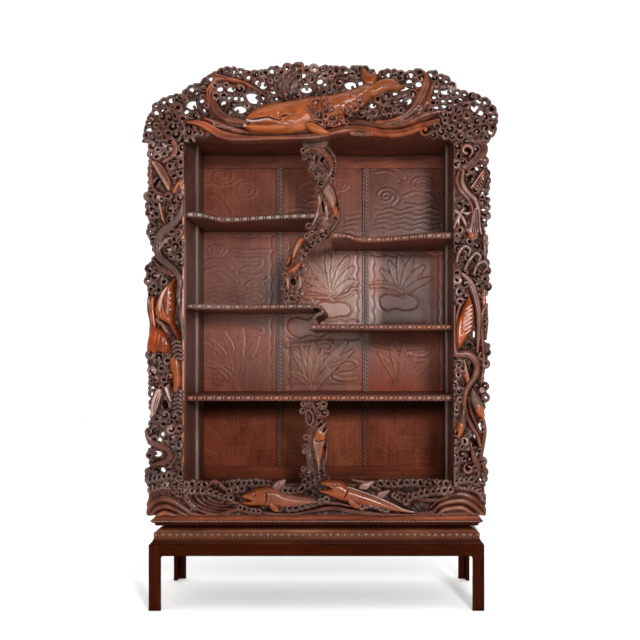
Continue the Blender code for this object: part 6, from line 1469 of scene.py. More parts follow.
        # deepest where the middle of the case has been cut, faint elsewhere
        cut = 1.0 if body_relief else 0.42 + 0.58 * np.exp(-((X - 0.10) / 0.26) ** 4) * np.exp(-((Z - 1.15) / 0.36) ** 4)
        cut = np.where((Z < 0.85) & (not body_relief), 0.34, cut)
        H = np.clip(self.H * cut, -0.0046, 0.0056)
        nx, nz = H.shape
        co = np.stack([X.ravel(), (self.y - H).ravel(), Z.ravel()], 1)
        idx = np.arange(nx * nz).reshape(nx, nz)
        quads = np.stack([idx[:-1, :-1], idx[1:, :-1], idx[1:, 1:], idx[:-1, 1:]], -1).reshape(-1, 4)
        ring = np.concatenate([idx[:, 0], idx[-1, 1:], idx[-2::-1, -1], idx[0, -2:0:-1]])
        n = len(co)
        back = co[ring].copy()
        back[:, 1] = self.hi[1]
        co = np.vstack([co, back])
        m = len(ring)
        j = np.arange(m)
        sides = np.stack([ring[j], n + j, n + (j + 1) % m, ring[(j + 1) % m]], 1)
        mesh = bpy.data.meshes.new(name)
        mesh.from_pydata(co.tolist(), [], quads.tolist() + sides.tolist() + [[n + i for i in range(m)][::-1]])
        mesh.update()
        mesh.validate()
        # tint: painted shade in the cuts, rubbed on what stands proud
        blur = H.copy()
        for _ in range(3):
            p = np.pad(blur, 1, mode="edge")
            blur = (p[:-2, 1:-1] + p[2:, 1:-1] + p[1:-1, :-2] + p[1:-1, 2:] + p[1:-1, 1:-1]) / 5
        t = np.clip(0.5 + (H - blur) * 260 + H * 40, 0, 1).ravel()
        t = np.concatenate([t, np.full(m, 0.4)])[:, None]
        base_ = np.array(tone)
        tint = np.where(t < 0.5, base_ * (0.45 + 1.1 * t), base_ + (np.array([0.260, 0.115, 0.082]) - base_) * (t - 0.5) * 1.3)
        tint = tint * (1 + 0.16 * wobble(co, 9, 2.0))[:, None]
        low = np.clip((0.850 - co[:, 2]) / 0.02, 0, 1)[:, None]
        tint = tint * (np.array([1.10, 1.02, 1.00]) * (1 - low) + np.array([0.84, 0.56, 0.42]) * low)
        # painted shadow of the lower shelf across the top of the lowest compartment
        tint = tint * (1 - 0.84 * low * np.clip((co[:, 2] - 0.725) / 0.06, 0, 1)[:, None])
        calm = np.ones((len(co), 1))
        grey = (1 - low) * np.clip(0.5 + 0.9 * wobble(co, 6, 5.0), 0, 1)[:, None] * (0.25 + 0.75 * np.exp(-((co[:, 0] - 0.06) / 0.30) ** 2) * np.exp(-((co[:, 2] - 1.15) / 0.40) ** 4))[:, None]
        tint = tint * (1 - grey) + tint * np.array([0.82, 1.10, 1.22]) * grey
        if not body_relief:
            # painted glare: paler and greyer in the middle, where the lamps show in the gloss; darker and browner to
            # the upper right, darker to the left; redder low on the right, lighter and redder towards the right wall
            X, Z = co[:, :1], co[:, 2:]
            right, left = np.clip((X - 0.10) / 0.12, 0, 1), np.clip((-0.16 - X) / 0.06, 0, 1)
            upper, lower = np.clip((Z - 1.53) / 0.06, 0, 1), np.clip((1.20 - Z) / 0.06, 0, 1)
            tint = tint * (1 + np.array([0.54, 0.80, 0.88]) * np.exp(-((X - 0.085) / 0.19) ** 2) * np.exp(-((Z - 1.30) / 0.17) ** 2)) * (1 - 0.39 * right * upper - 0.14 * left * upper - 0.20 * left * (1 - upper) * (1 - lower))
            far, near = np.clip((X - 0.40) / 0.08, 0, 1), np.clip((X - 0.230) / 0.035, 0, 1) * np.clip((0.50 - X) / 0.05, 0, 1)
            # painted shade over the middle right panel; under is painted shadow below the middle right shelf
            shade = near * (0.52 + 0.14 * np.clip((1.36 - Z) / 0.16, 0, 1)) * np.clip((Z - 1.13) / 0.02, 0, 1) * (1 - upper)
            under = np.clip((Z - 1.035) / 0.06, 0, 1) * lower
            tint = tint * (1 + right * (1 - upper) * (1 - low) * (lower * (np.array([0.04, -0.27, -0.46]) + 0.24 * far - under * np.array([0.46, 0.30, 0.20])) + (1 - lower) * far * np.array([0.30, -0.12, -0.30])))
            tint = tint * (1 - shade * np.array([0.98, 0.72, 0.42]))
            # gloss lowered with the painted shade and shadows, raised for the glare in the middle
            calm = 1 - 0.7 * low * np.clip((Z - 0.725) / 0.06, 0, 1) - 0.95 * shade - right * (1 - upper) * (1 - low) * lower * (0.35 + 0.45 * under) + 0.45 * np.exp(-((X - 0.09) / 0.14) ** 2) * np.exp(-((Z - 1.26) / 0.12) ** 2) * (1 - near)
            # the lowest compartment paler and greyer in its middle
            tint = tint * (1 + low * (np.array([-0.04, 0.12, 0.18]) + np.exp(-((X + 0.01) / 0.17) ** 4) * np.array([0.34, 0.62, 0.60])))
        tint[n:] = np.array(tone) * 0.75      # the plain back
        calm[n:] = 0.5
        layer = mesh.color_attributes.new("tint", "FLOAT_COLOR", "POINT")
        layer.data.foreach_set("color", np.hstack([tint, calm]).astype(np.float32).ravel())
        mesh.polygons.foreach_set("use_smooth", np.concatenate([np.ones(len(quads), bool), np.zeros(len(sides) + 1, bool)]))
        obj = bpy.data.objects.new(name, mesh)
        bpy.context.scene.collection.objects.link(obj)
        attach(obj, body)
        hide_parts(self.name)
        PANELS.append(obj)
        return obj


PANELS = []
PSTEP = 0.0034
pl = Relief("back_panel_left", PSTEP)
# top compartment: cloud spirals and bent leaves
pl.spiral(222, 176, 17, 11, 2.4, 0.4)
pl.spiral(246, 190, 13, 9, 2.0, 2.0, -1)
pl.scroll([(204, 186), (212, 184), (219, 190), (226, 201), (233, 212)])
pl.scroll([(207, 196), (214, 196), (220, 203), (226, 213)])
pl.scroll([(214, 171), (224, 166), (236, 169), (246, 166), (258, 168)])
pl.border(200, 274, 160, 226, "lt")
# second compartment: water scrolls
pl.scroll([(232, 249), (246, 251), (258, 250), (271, 250)])
pl.scroll([(236, 258), (248, 259), (257, 258), (262, 262), (258, 267), (248, 267), (240, 270)])
pl.scroll([(240, 274), (252, 276), (263, 273), (268, 277), (263, 281), (252, 281), (246, 285)])
pl.scroll([(205, 262), (214, 259), (224, 262), (232, 268)])
pl.scroll([(206, 270), (218, 268), (228, 274), (236, 281)])
pl.ripples(204, 262, 285, 300, 4)
pl.spiral(216, 250, 10, 6, 2.0, 0.0)
pl.border(200, 272, 236, 312, "lrtb", 1.8)
# third compartment: long lines and a sword-leaf clump
pl.scroll([(206, 325), (222, 328), (240, 327), (258, 327), (263, 331), (256, 335), (244, 334)])
pl.scroll([(204, 343), (216, 350), (228, 362), (234, 376)])
pl.fan(240, 392, [(212, 340, 0.06, 2.4), (224, 332, 0.04, 2.6), (242, 330, -0.03, 2.6), (258, 338, -0.05, 2.6), (268, 350, -0.07, 2.4), (206, 360, 0.08, 2.0)], 0.0024)
pl.scroll([(204, 364), (214, 367), (224, 366), (232, 369)])
pl.scroll([(206, 377), (218, 372), (226, 378), (222, 384), (214, 382)])
pl.border(200, 272, 319, 402, "lr", 1.8)
# lowest compartment: tall sword leaves
pl.fan(236, 488, [(209, 428, 0.07, 2.8), (220, 414, 0.05, 3.0), (236, 412, 0.0, 2.6), (254, 420, -0.05, 3.0), (266, 434, -0.07, 2.8), (204, 448, 0.09, 2.2)], 0.0026)
pl.scroll([(233, 449), (246, 447.6), (258, 449), (271, 448.4)])
pl.scroll([(206, 420), (220, 422), (238, 425), (256, 424)])
pl.spiral(258, 466, 9, 6, 1.8, 1.0)
pl.make("back_panel_left_carved")

pc = Relief("back_panel_centre", PSTEP)
pc.spiral(315, 190, 22, 13, 1.9, 0.2)
pc.spiral(340, 184, 10, 7, 2.0, 2.2, -1)
pc.scroll([(322, 200), (314, 200), (306, 205), (307, 211), (314, 214), (322, 213)])
pc.ripples(286, 318, 209, 214, 2, 0.6)
pc.scroll([(286, 166), (300, 165), (312, 167)])
pc.scroll([(335, 167.6), (346, 167.2), (358, 167.4)])
pc.ripples(344, 359, 216, 232, 4, 1.0)
pc.border(287, 359, 161, 230, "l")
pc.border(288, 358, 240, 322, "lrb", 1.9)
pc.fan(334, 296, [(309, 262, 0.05, 2.3), (313, 272, 0.07, 2.0), (327, 254, 0.03, 3.0), (334, 252, 0.0, 2.0), (347, 258, -0.04, 2.8), (352, 268, -0.06, 2.4), (306, 280, 0.08, 2.0), (307, 289, 0.08, 1.7), (354, 280, -0.08, 2.0)])
pc.scroll([(290, 252), (300, 250), (312, 251)])
pc.spiral(298, 266, 8, 6, 1.8, 0.5)
pc.raise_([(305, 296.6), (320, 297.4), (338, 297), (349, 293), (352, 289), (358, 288.6)], 1.0, 0.0030)
pc.raise_([(300, 292), (304, 297), (312, 300)], 0.9)
pc.cloud([(318, 303), (325, 301), (332, 302.4), (339, 301.6), (345, 303), (350, 307), (351, 312), (347, 316.4), (339, 317), (331, 318.6), (323, 317), (318, 313), (315, 308)])
# below the riser: cloud, band, clump of leaves and breaking water
pc.cloud([(289, 320), (297, 317), (306, 319), (314, 317), (323, 320), (327, 326), (326, 333), (318, 337), (309, 335.6), (300, 338), (292, 335), (287, 328)])
pc.raise_([(287, 345.4), (300, 344.4), (316, 343.6), (323, 341), (330, 342.6), (333, 347), (329, 351), (322, 350)], 1.2, 0.0032)
pc.border(288, 358, 338, 391, "lt", 1.8)
pc.fan(313, 391, [(293, 352, 0.06, 2.2), (301, 347, 0.05, 2.2), (313, 343, 0.0, 3.0), (322, 352, -0.03, 2.2), (346, 342, -0.05, 2.6), (352, 351, -0.06, 2.2), (290, 372, 0.10, 2.0), (340, 362, -0.06, 2.0)])
pc.scroll([(331, 366), (340, 362), (350, 360), (357, 364), (350, 369), (340, 370), (333, 376), (342, 380), (356, 379)])
pc.raise_([(286, 389.4), (310, 389), (335, 389.4), (359, 389)], 1.3, 0.0030)
pc.fan(322, 486, [(344, 436, -0.05, 2.6), (352, 446, -0.06, 2.4), (357, 458, -0.07, 2.0), (296, 440, 0.06, 2.4), (288, 456, 0.08, 2.0)], 0.0020)
pc.scroll([(286, 452.6), (294, 452), (303, 453)])
pc.spiral(294, 470, 8, 6, 1.6, 0.6)
pc.ripples(332, 358, 424, 432, 2, 0.7)
pc.make("back_panel_centre_carved")

pr = Relief("back_panel_right", PSTEP)
pr.scroll([(374, 168), (386, 166.6), (396, 168), (402, 172), (404, 177)])
pr.scroll([(376, 172), (386, 171), (394, 174), (398, 180)])
pr.spiral(423, 183, 13, 7.5, 2.6, 0.0)
pr.spiral(386, 196, 12, 9, 2.0, 1.0, -1)
pr.scroll([(404, 196), (416, 192), (428, 194), (434, 199), (428, 204), (416, 205), (406, 204)])
pr.scroll([(408, 208), (420, 207), (432, 208)])
pr.ripples(376, 440, 210, 230, 5, 1.4)
pr.border(371, 442, 160, 240, "r", 1.6)
pr.border(372, 442, 254, 325, "lt", 1.9)
pr.border(372, 440, 254, 325, "r", 1.3)
pr.fan(402, 296, [(381, 270, 0.05, 2.2), (389, 262, 0.04, 2.4), (399, 256, 0.02, 2.6), (412, 258, -0.03, 2.6), (424, 266, -0.05, 2.4), (432, 278, -0.07, 2.2), (377, 282, 0.08, 1.9)])
pr.raise_([(371, 286.4), (382, 286), (392, 287), (400, 291)], 1.1, 0.0030)
pr.cloud([(380, 297), (388, 294), (397, 296), (406, 294), (415, 297), (419, 303), (415, 309), (405, 311), (395, 309), (386, 311), (380, 306)])
pr.scroll([(374, 344), (384, 347), (396, 349), (412, 349), (424, 348), (430, 351), (424, 356), (412, 355), (404, 352)])
pr.scroll([(408, 360), (418, 361), (432, 360)])
pr.fan(402, 394, [(379, 354, 0.06, 2.4), (391, 346, 0.04, 2.6), (404, 344, 0.0, 2.6), (418, 352, -0.05, 2.6), (430, 362, -0.07, 2.4)], 0.0024)
pr.border(372, 441, 336, 402, "r", 1.4)
pr.fan(405, 488, [(384, 424, 0.05, 2.8), (398, 414, 0.02, 3.0), (412, 418, -0.03, 2.8), (426, 444, -0.06, 2.6), (378, 446, 0.08, 2.4)], 0.0026)
pr.spiral(425, 430, 11, 7, 2.2, 0.0)
pr.scroll([(400, 437), (412, 438.6), (424, 438)])
pr.scroll([(398, 449), (410, 450), (424, 452)])
pr.scroll([(412, 462), (422, 461), (432, 463)])
pr.make("back_panel_right_carved")

# muntins with a carved rope between fillets
for side in ("left", "right"):
    m = Relief("back_muntin_" + side, 0.0026)
    X, Z = np.meshgrid(m.x, m.z, indexing="ij")
    q = (X - (m.lo[0] + m.hi[0]) / 2) / ((m.hi[0] - m.lo[0]) / 2)
    rope = np.abs(np.sin((Z / 0.0185 + q * 0.55) * math.pi)) ** 0.6
    m.H = np.where(np.abs(q) < 0.66, 0.0040 * rope * np.sqrt(np.clip(1 - (q / 0.66) ** 2, 0, 1)) - 0.0016, np.where(np.abs(q) < 0.92, 0.0012, -0.0010))
    m.make("back_muntin_%s_carved" % side, tone=(0.066, 0.0360, 0.0300), body_relief=True)
# ---------------------------------------------------------------- carved shelf edges and stand mouldings
class Bits:
    """Many small closed solids gathered into one piece."""

    def __init__(self):
        self.v, self.f, self.n, self.c = [], [], 0, []

    def pillow(self, origin, ax, up, out, w, h, d, nu=7, nv=5, colour=(0.2, 0.05, 0.02), power=3.0):
        """Cushion of half width w along ax and half height h along up, standing d proud along out."""
        a, b = np.linspace(-1, 1, nu), np.linspace(-1, 1, nv)
        A, B = np.meshgrid(a, b, indexing="ij")
        Hh = np.clip((1 - np.abs(A) ** power) * (1 - np.abs(B) ** power), 0, 1) ** 0.5
        sq = 1 - 0.06 * (A * B) ** 2
        P = np.asarray(origin) + (A * sq * w)[..., None] * np.asarray(ax) + (B * sq * h)[..., None] * np.asarray(up) + (Hh * d)[..., None] * np.asarray(out)
        idx = np.arange(nu * nv).reshape(nu, nv) + self.n
        ring = np.concatenate([idx[:, 0], idx[-1, 1:], idx[-2::-1, -1], idx[0, -2:0:-1]])
        m = len(ring)
        flat = P.reshape(-1, 3)
        back = flat[ring - self.n] - 0.0022 * np.asarray(out)
        self.v += [flat, back]
        quads = np.stack([idx[:-1, :-1], idx[1:, :-1], idx[1:, 1:], idx[:-1, 1:]], -1).reshape(-1, 4)
        j = np.arange(m)
        nb = self.n + nu * nv
        sides = np.stack([ring[j], nb + j, nb + (j + 1) % m, ring[(j + 1) % m]], 1)
        flip = np.dot(np.cross(ax, up), out) < 0
        faces = quads.tolist() + sides.tolist() + [[nb + i for i in range(m)][::-1]]
        self.f += [f[::-1] for f in faces] if flip else faces
        t = np.concatenate([0.55 + 0.6 * Hh.ravel(), np.full(m, 0.35)])[:, None]
        self.c.append(np.asarray(colour)[None] * t)
        self.n = nb + m

    def object(self, name, body):
        mesh = bpy.data.meshes.new(name)
        mesh.from_pydata(np.vstack(self.v).tolist(), [], self.f)
        mesh.update()
        mesh.validate()
        layer = mesh.color_attributes.new("tint", "FLOAT_COLOR", "POINT")
        c = np.vstack(self.c)
        layer.data.foreach_set("color", np.hstack([c, np.ones((len(c), 1))]).astype(np.float32).ravel())
        mesh.polygons.foreach_set("use_smooth", np.ones(len(mesh.polygons), bool))
        obj = bpy.data.objects.new(name, mesh)
        bpy.context.scene.collection.objects.link(obj)
        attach(obj, body)
        TRIM.append(obj)
        return obj


TRIM = []
UP = np.array([0.0, 0.0, 1.0])
SHELF_FRONTS = {
    "shelf_lower": ([(-0.5517, -0.158), (0.5382, -0.158)], 0.8365, 0.861),
    "shelf_middle_right": ([(-0.048, -0.158), (0.5382, -0.158)], 1.127, 1.149),
    "shelf_middle_left": ([(-0.5517, -0.158), (-0.510, -0.156), (-0.455, -0.136), (-0.385, -0.118), (-0.300, -0.116), (-0.215, -0.128), (-0.130, -0.148), (-0.075, -0.157), (-0.030, -0.158)], 1.212, 1.234),
    "shelf_upper_right": ([(0.040, -0.158), (0.085, -0.156), (0.112, -0.134), (0.132, -0.086), (0.160, -0.060), (0.215, -0.053), (0.275, -0.062), (0.335, -0.094), (0.395, -0.132), (0.450, -0.154), (0.5382, -0.158)], 1.499, 1.5235),
    "shelf_upper_left": ([(-0.5517, -0.158), (-0.520, -0.156), (-0.487, -0.138), (-0.462, -0.096), (-0.436, -0.056), (-0.395, -0.045), (-0.340, -0.054), (-0.260, -0.082), (-0.180, -0.104), (-0.100, -0.122), (-0.018, -0.130)], 1.585, 1.609),
}
for name, (front, zlo, zhi) in SHELF_FRONTS.items():
    bits = Bits()
    line = spline(front, 0.004)
    ln = np.concatenate([[0], np.cumsum(np.hypot(*(line[1:] - line[:-1]).T))])
    pitch = ln[-1] / round(ln[-1] / 0.0385)
    zc, hh = (zlo + zhi) / 2, (zhi - zlo) / 2

    def place(q):
        p = np.array([np.interp(q, ln, line[:, 0]), np.interp(q, ln, line[:, 1])])
        d = np.array([np.interp(q + 0.003, ln, line[:, 0]) - np.interp(q - 0.003, ln, line[:, 0]), np.interp(q + 0.003, ln, line[:, 1]) - np.interp(q - 0.003, ln, line[:, 1])])
        d /= np.hypot(*d)
        return p, np.array([d[0], d[1], 0]), np.array([d[1], -d[0], 0])

    n = int(round(ln[-1] / pitch))
    for i in range(n):
        q = (i + 0.5) * pitch
        p, ax, out = place(q)
        k = 0.5 + 0.5 * math.sin(i * 1.9 + zc * 40)
        warm = np.clip(0.5 + 0.5 * math.sin(p[0] * 7 + zc * 9), 0, 1)
        if name in ("shelf_upper_left", "shelf_middle_left"):
            warm = 0.15 * warm
        else:
            warm = 0.45 + 0.55 * warm
        # the greyer tones of the left and upper right shelves' bosses also stand for the sheen on them: painted sheen
        r, g, b = {"shelf_upper_left": (0.144, 0.120, 0.110), "shelf_middle_left": (0.112, 0.078, 0.066), "shelf_upper_right": (0.100, 0.074, 0.068)}.get(name, (0.098, 0.050, 0.040))
        bits.pillow((p[0], p[1], zc), ax, UP, out, 0.0122, hh * 0.66, 0.0052, colour=(r + 0.055 * warm + 0.03 * k, g - 0.022 * warm + 0.022 * k, b - 0.038 * warm + 0.020 * k))
        if i:
            p, ax, out = place(i * pitch)
            bits.pillow((p[0], p[1], zc), ax, UP, out, 0.0030, hh * 0.72, 0.0044, nu=5, colour=(0.150, 0.094, 0.078))
    # fillets above and below the bosses
    for z in (zlo + hh * 0.10, zhi - hh * 0.10):
        for i in range(2 * n):
            p, ax, out = place((i + 0.5) * pitch / 2)
            bits.pillow((p[0], p[1], z), ax, UP, out, pitch / 4 + 0.0006, hh * 0.11, 0.0022, nu=4, nv=3, colour=(0.060, 0.022, 0.014), power=6)
    bits.object(name + "_edge_carving", "case")

# beads on the riser that joins the two middle shelves
riser = [(-0.0297, 1.2232), (-0.012, 1.223), (0.003, 1.216), (0.008, 1.205), (0.001, 1.195), (-0.015, 1.187), (-0.026, 1.178), (-0.029, 1.1665), (-0.023, 1.157)]
bits = Bits()
line = spline(riser, 0.002)
ln = np.concatenate([[0], np.cumsum(np.hypot(*(line[1:] - line[:-1]).T))])
n = int(ln[-1] / 0.0130)
for i in range(n):
    q = (i + 0.5) * ln[-1] / n
    p = np.array([np.interp(q, ln, line[:, 0]), np.interp(q, ln, line[:, 1])])
    d = np.array([np.interp(q + 0.002, ln, line[:, 0]) - np.interp(q - 0.002, ln, line[:, 0]), np.interp(q + 0.002, ln, line[:, 1]) - np.interp(q - 0.002, ln, line[:, 1])])
    d /= np.hypot(*d)
    bits.pillow((p[0], -0.157, p[1]), np.array([d[0], 0, d[1]]), np.array([-d[1], 0, d[0]]), np.array([0, -1.0, 0]), 0.0048, 0.0052, 0.0045, colour=(0.12, 0.056, 0.040), power=2.2)
bits.object("shelf_riser_carving", "case")

# bead row on the nose of the upper moulding, lappets on the band of the lower one
L, R, F, B = -0.686, 0.657, -0.215, 0.2375
runs = (((L, F), (R, F), (0, -1)), ((L, B), (L, F), (-1, 0)), ((R, F), (R, B), (1, 0)), ((R, B), (L, B), (0, 1)))
bits = Bits()
for (xa, ya), (xb, yb), (ox, oy) in runs:
    o = 0.0062
    out = np.array([ox, oy, 0.0])
    a, b = np.array([xa - ox * o, ya - oy * o, 0.3570]), np.array([xb - ox * o, yb - oy * o, 0.3570])
    ax = (b - a) / np.linalg.norm(b - a)
    a, b = a + ax * 0.010, b - ax * 0.010
    n = int(np.linalg.norm(b - a) / 0.0104)
    for i in range(n + 1):
        bits.pillow(a + (b - a) * i / n, ax, UP, out, 0.0040, 0.0034, 0.0038, nu=5, nv=5, colour=(0.165, 0.092, 0.070), power=2.2)
bits.object("stand_moulding_beads", "stand")
bits = Bits()
for (xa, ya), (xb, yb), (ox, oy) in runs:
    o = 0.0166
    out = np.array([ox, oy, 0.0])
    a, b = np.array([xa - ox * o, ya - oy * o, 0.2978]), np.array([xb - ox * o, yb - oy * o, 0.2978])
    ax = (b - a) / np.linalg.norm(b - a)
    a, b = a + ax * 0.024, b - ax * 0.024
    n = int(np.linalg.norm(b - a) / 0.0277)
    step = np.linalg.norm(b - a) / n
    for i in range(n + 1):
        c = a + ax * step * i
        bits.pillow(c + UP * 0.0036, ax, UP, out, 0.0052, 0.0040, 0.0034, nu=6, nv=5, colour=(0.190, 0.104, 0.070), power=2.2)
        bits.pillow(c - UP * 0.0042, ax, UP, out, 0.0018, 0.0042, 0.0026, nu=4, nv=5, colour=(0.130, 0.064, 0.042), power=2.4)
        if i < n:
            for f, dz in ((0.26, 0.0058), (0.38, 0.0006), (0.50, -0.0052), (0.62, 0.0006), (0.74, 0.0058)):
                slant = 0.8 * (1 if f < 0.5 else -1 if f > 0.5 else 0)
                t = ax * math.cos(slant) - UP * math.sin(slant)
                bits.pillow(c + ax * step * f + UP * dz, t, np.cross(out, t) * -1, out, 0.0042, 0.0014, 0.0024, nu=4, nv=3, colour=(0.130, 0.060, 0.038), power=2.6)
bits.object("stand_rail_lappets", "stand")
# ---------------------------------------------------------------- materials
class Shade:
    """Node material built up in steps."""

    def __init__(self, name):
        self.mat = bpy.data.materials.new(name)
        self.mat.use_nodes = True
        self.tree = self.mat.node_tree
        self.bsdf = self.tree.nodes["Principled BSDF"]
        self.coord = self.tree.nodes.new("ShaderNodeTexCoord").outputs["Object"]

    def link(self, a, b):
        self.tree.links.new(a, b)

    def noise(self, scale, stretch=(1, 1, 1), detail=4.0, rough=0.55, bend=0.0, shift=(0, 0, 0)):
        m = self.tree.nodes.new("ShaderNodeMapping")
        m.inputs["Scale"].default_value = stretch
        m.inputs["Location"].default_value = shift
        self.link(self.coord, m.inputs["Vector"])
        n = self.tree.nodes.new("ShaderNodeTexNoise")
        n.inputs["Scale"].default_value = scale
        n.inputs["Detail"].default_value = detail
        n.inputs["Roughness"].default_value = rough
        n.inputs["Distortion"].default_value = bend
        self.link(m.outputs["Vector"], n.inputs["Vector"])
        return n.outputs["Fac"]

    def ramp(self, fac, stops):
        r = self.tree.nodes.new("ShaderNodeValToRGB")
        while len(r.color_ramp.elements) < len(stops):
            r.color_ramp.elements.new(0.5)
        for e, (p, c) in zip(r.color_ramp.elements, stops):
            e.position = p
            e.color = (*c, 1.0) if not np.isscalar(c) else (c, c, c, 1.0)
        self.link(fac, r.inputs["Fac"])
        return r.outputs["Color"]

    def mix(self, kind, fac, a, b):
        m = self.tree.nodes.new("ShaderNodeMix")
        m.data_type = "RGBA"
        m.blend_type = kind
        if np.isscalar(fac):
            m.inputs[0].default_value = fac
        else:
            self.link(fac, m.inputs[0])
        self.link(a, m.inputs[6])
        self.link(b, m.inputs[7])
        return m.outputs[2]

    def span(self, fac, a, b, c, d):
        m = self.tree.nodes.new("ShaderNodeMapRange")
        for i, v in enumerate((a, b, c, d)):
            m.inputs[i + 1].default_value = v
        self.link(fac, m.inputs[0])
        return m.outputs[0]

    def bump(self, layers):
        normal = None
        for height, distance, strength in layers:
            b = self.tree.nodes.new("ShaderNodeBump")
            b.inputs["Distance"].default_value = distance
            b.inputs["Strength"].default_value = strength
            self.link(height, b.inputs["Height"])
            if normal is not None:
                self.link(normal, b.inputs["Normal"])
            normal = b.outputs["Normal"]
        self.link(normal, self.bsdf.inputs["Normal"])

    def hollows(self, reach, least):
        """Painted shade where surfaces close in on each other, read from ambient occlusion."""
        a = self.tree.nodes.new("ShaderNodeAmbientOcclusion")
        a.samples = 6
        a.inputs["Distance"].default_value = reach
        return self.ramp(a.outputs["AO"], [(0.25, least), (0.85, 1.0)])


GRAIN = {"X": (1.0, 15.0, 15.0), "Y": (15.0, 1.0, 15.0), "Z": (15.0, 15.0, 1.0)}


def wood(name, axis, dark, mid, light, rough=(0.30, 0.52), spec=0.28, corner_shade=0.42, reach=0.05, coat=0.0, bands=None):
    s = Shade(name)
    g = GRAIN[axis]
    figure = s.noise(2.3, g, 5.0, 0.58, 0.9)
    fine = s.noise(9.0, tuple(k * (1.6 if k > 1 else 1.0) for k in g), 6.0, 0.65)
    pores = s.noise(60.0, tuple(k * (1.0 if k > 1 else 0.9) for k in g), 2.0, 0.5, 0.0, (3, 1, 2))
    patch = s.noise(3.1, (1, 1, 1), 3.0, 0.5, 0.4, (5, 2, 7))
    colour = s.ramp(figure, [(0.28, dark), (0.44, mid), (0.55, mid), (0.72, light)])
    colour = s.mix("MULTIPLY", 1.0, colour, s.ramp(fine, [(0.30, 0.62), (0.50, 1.0), (0.75, 1.22)]))
    colour = s.mix("MULTIPLY", 0.75, colour, s.ramp(pores, [(0.36, 0.45), (0.46, 1.0)]))
    colour = s.mix("MULTIPLY", 1.0, colour, s.ramp(patch, [(0.30, (0.74, 0.70, 0.68)), (0.52, (1.0, 1.0, 1.0)), (0.74, (1.20, 1.14, 1.10))]))
    # painted shade in corners and creases
    colour = s.mix("MULTIPLY", 1.0, colour, s.hollows(reach, corner_shade))
    if bands:
        # a moulding: painted shade where it turns down or lies under an overhang, full colour on its upper slope
        own = s.tree.nodes.new("ShaderNodeTexCoord")
        height = s.tree.nodes.new("ShaderNodeSeparateXYZ")
        s.link(own.outputs["Generated"], height.inputs["Vector"])
        colour = s.mix("MULTIPLY", 1.0, colour, s.ramp(height.outputs["Z"], bands))
    s.link(colour, s.bsdf.inputs["Base Color"])
    s.link(s.span(patch, 0.3, 0.7, rough[0], rough[1]), s.bsdf.inputs["Roughness"])
    s.bsdf.inputs["Specular IOR Level"].default_value = spec
    if coat:
        s.bsdf.inputs["Coat Weight"].default_value = coat
        s.bsdf.inputs["Coat Roughness"].default_value = 0.22
    s.bump([(fine, 0.0006, 0.35), (pores, 0.0004, 0.30), (patch, 0.006, 0.15)])
    return s.mat


def carved(name, rough=(0.34, 0.58), spec=0.28, axis="Z", gain=0.35, coat=0.0, shine=None):
    """Carved wood: its tint holds the painted shade of hollows and the worn edges; grain, gouge marks and hue changes
    come on top.
    """
    s = Shade(name)
    attr = s.tree.nodes.new("ShaderNodeAttribute")
    attr.attribute_name = "tint"
    g = GRAIN[axis]
    fine = s.noise(8.0, g, 6.0, 0.65, 0.3)
    pores = s.noise(70.0, g, 2.0, 0.5, 0.0, (3, 1, 2))
    patch = s.noise(11.0, (1, 1, 1), 4.0, 0.6, 0.5, (2, 5, 1))
    gouge = s.noise(150.0, (1, 1, 1), 2.0, 0.5)
    colour = s.mix("MULTIPLY", 1.0, attr.outputs["Color"], s.ramp(fine, [(0.30, 1.0 - gain), (0.50, 1.0), (0.72, 1.0 + 0.7 * gain)]))
    colour = s.mix("MULTIPLY", 1.0, colour, s.ramp(patch, [(0.32, (0.78, 0.72, 0.70)), (0.50, (1.0, 1.0, 1.0)), (0.70, (1.16, 1.12, 1.06))]))
    colour = s.mix("MULTIPLY", 0.6, colour, s.ramp(pores, [(0.36, 0.5), (0.46, 1.0)]))
    s.link(colour, s.bsdf.inputs["Base Color"])
    s.link(s.span(patch, 0.3, 0.7, rough[0], rough[1]), s.bsdf.inputs["Roughness"])
    if shine:
        height = s.tree.nodes.new("ShaderNodeSeparateXYZ")
        s.link(s.coord, height.inputs["Vector"])
        gloss = s.tree.nodes.new("ShaderNodeMath")
        gloss.operation = "MULTIPLY"
        s.link(s.ramp(s.span(height.outputs["Z"], 0.4, 2.0, 0.0, 1.0), shine), gloss.inputs[0])
        s.link(attr.outputs["Alpha"], gloss.inputs[1])
        s.link(gloss.outputs[0], s.bsdf.inputs["Specular IOR Level"])
    else:
        # polish has gone from the dark hollows
        gloss = s.tree.nodes.new("ShaderNodeMath")
        gloss.operation = "MULTIPLY"
        s.link(s.span(attr.outputs["Fac"], 0.005, 0.055, 0.10 * spec, 1.15 * spec), gloss.inputs[0])
        s.link(attr.outputs["Alpha"], gloss.inputs[1])
        s.link(gloss.outputs[0], s.bsdf.inputs["Specular IOR Level"])
    if coat:
        s.bsdf.inputs["Coat Weight"].default_value = coat
        s.bsdf.inputs["Coat Roughness"].default_value = 0.16
    s.bump([(gouge, 0.0010, 0.30), (fine, 0.0006, 0.30)])
    return s.mat


def dress(obj, mat):
    if obj.data.materials:
        for i in range(len(obj.data.materials)):
            obj.data.materials[i] = mat
    else:
        obj.data.materials.append(mat)


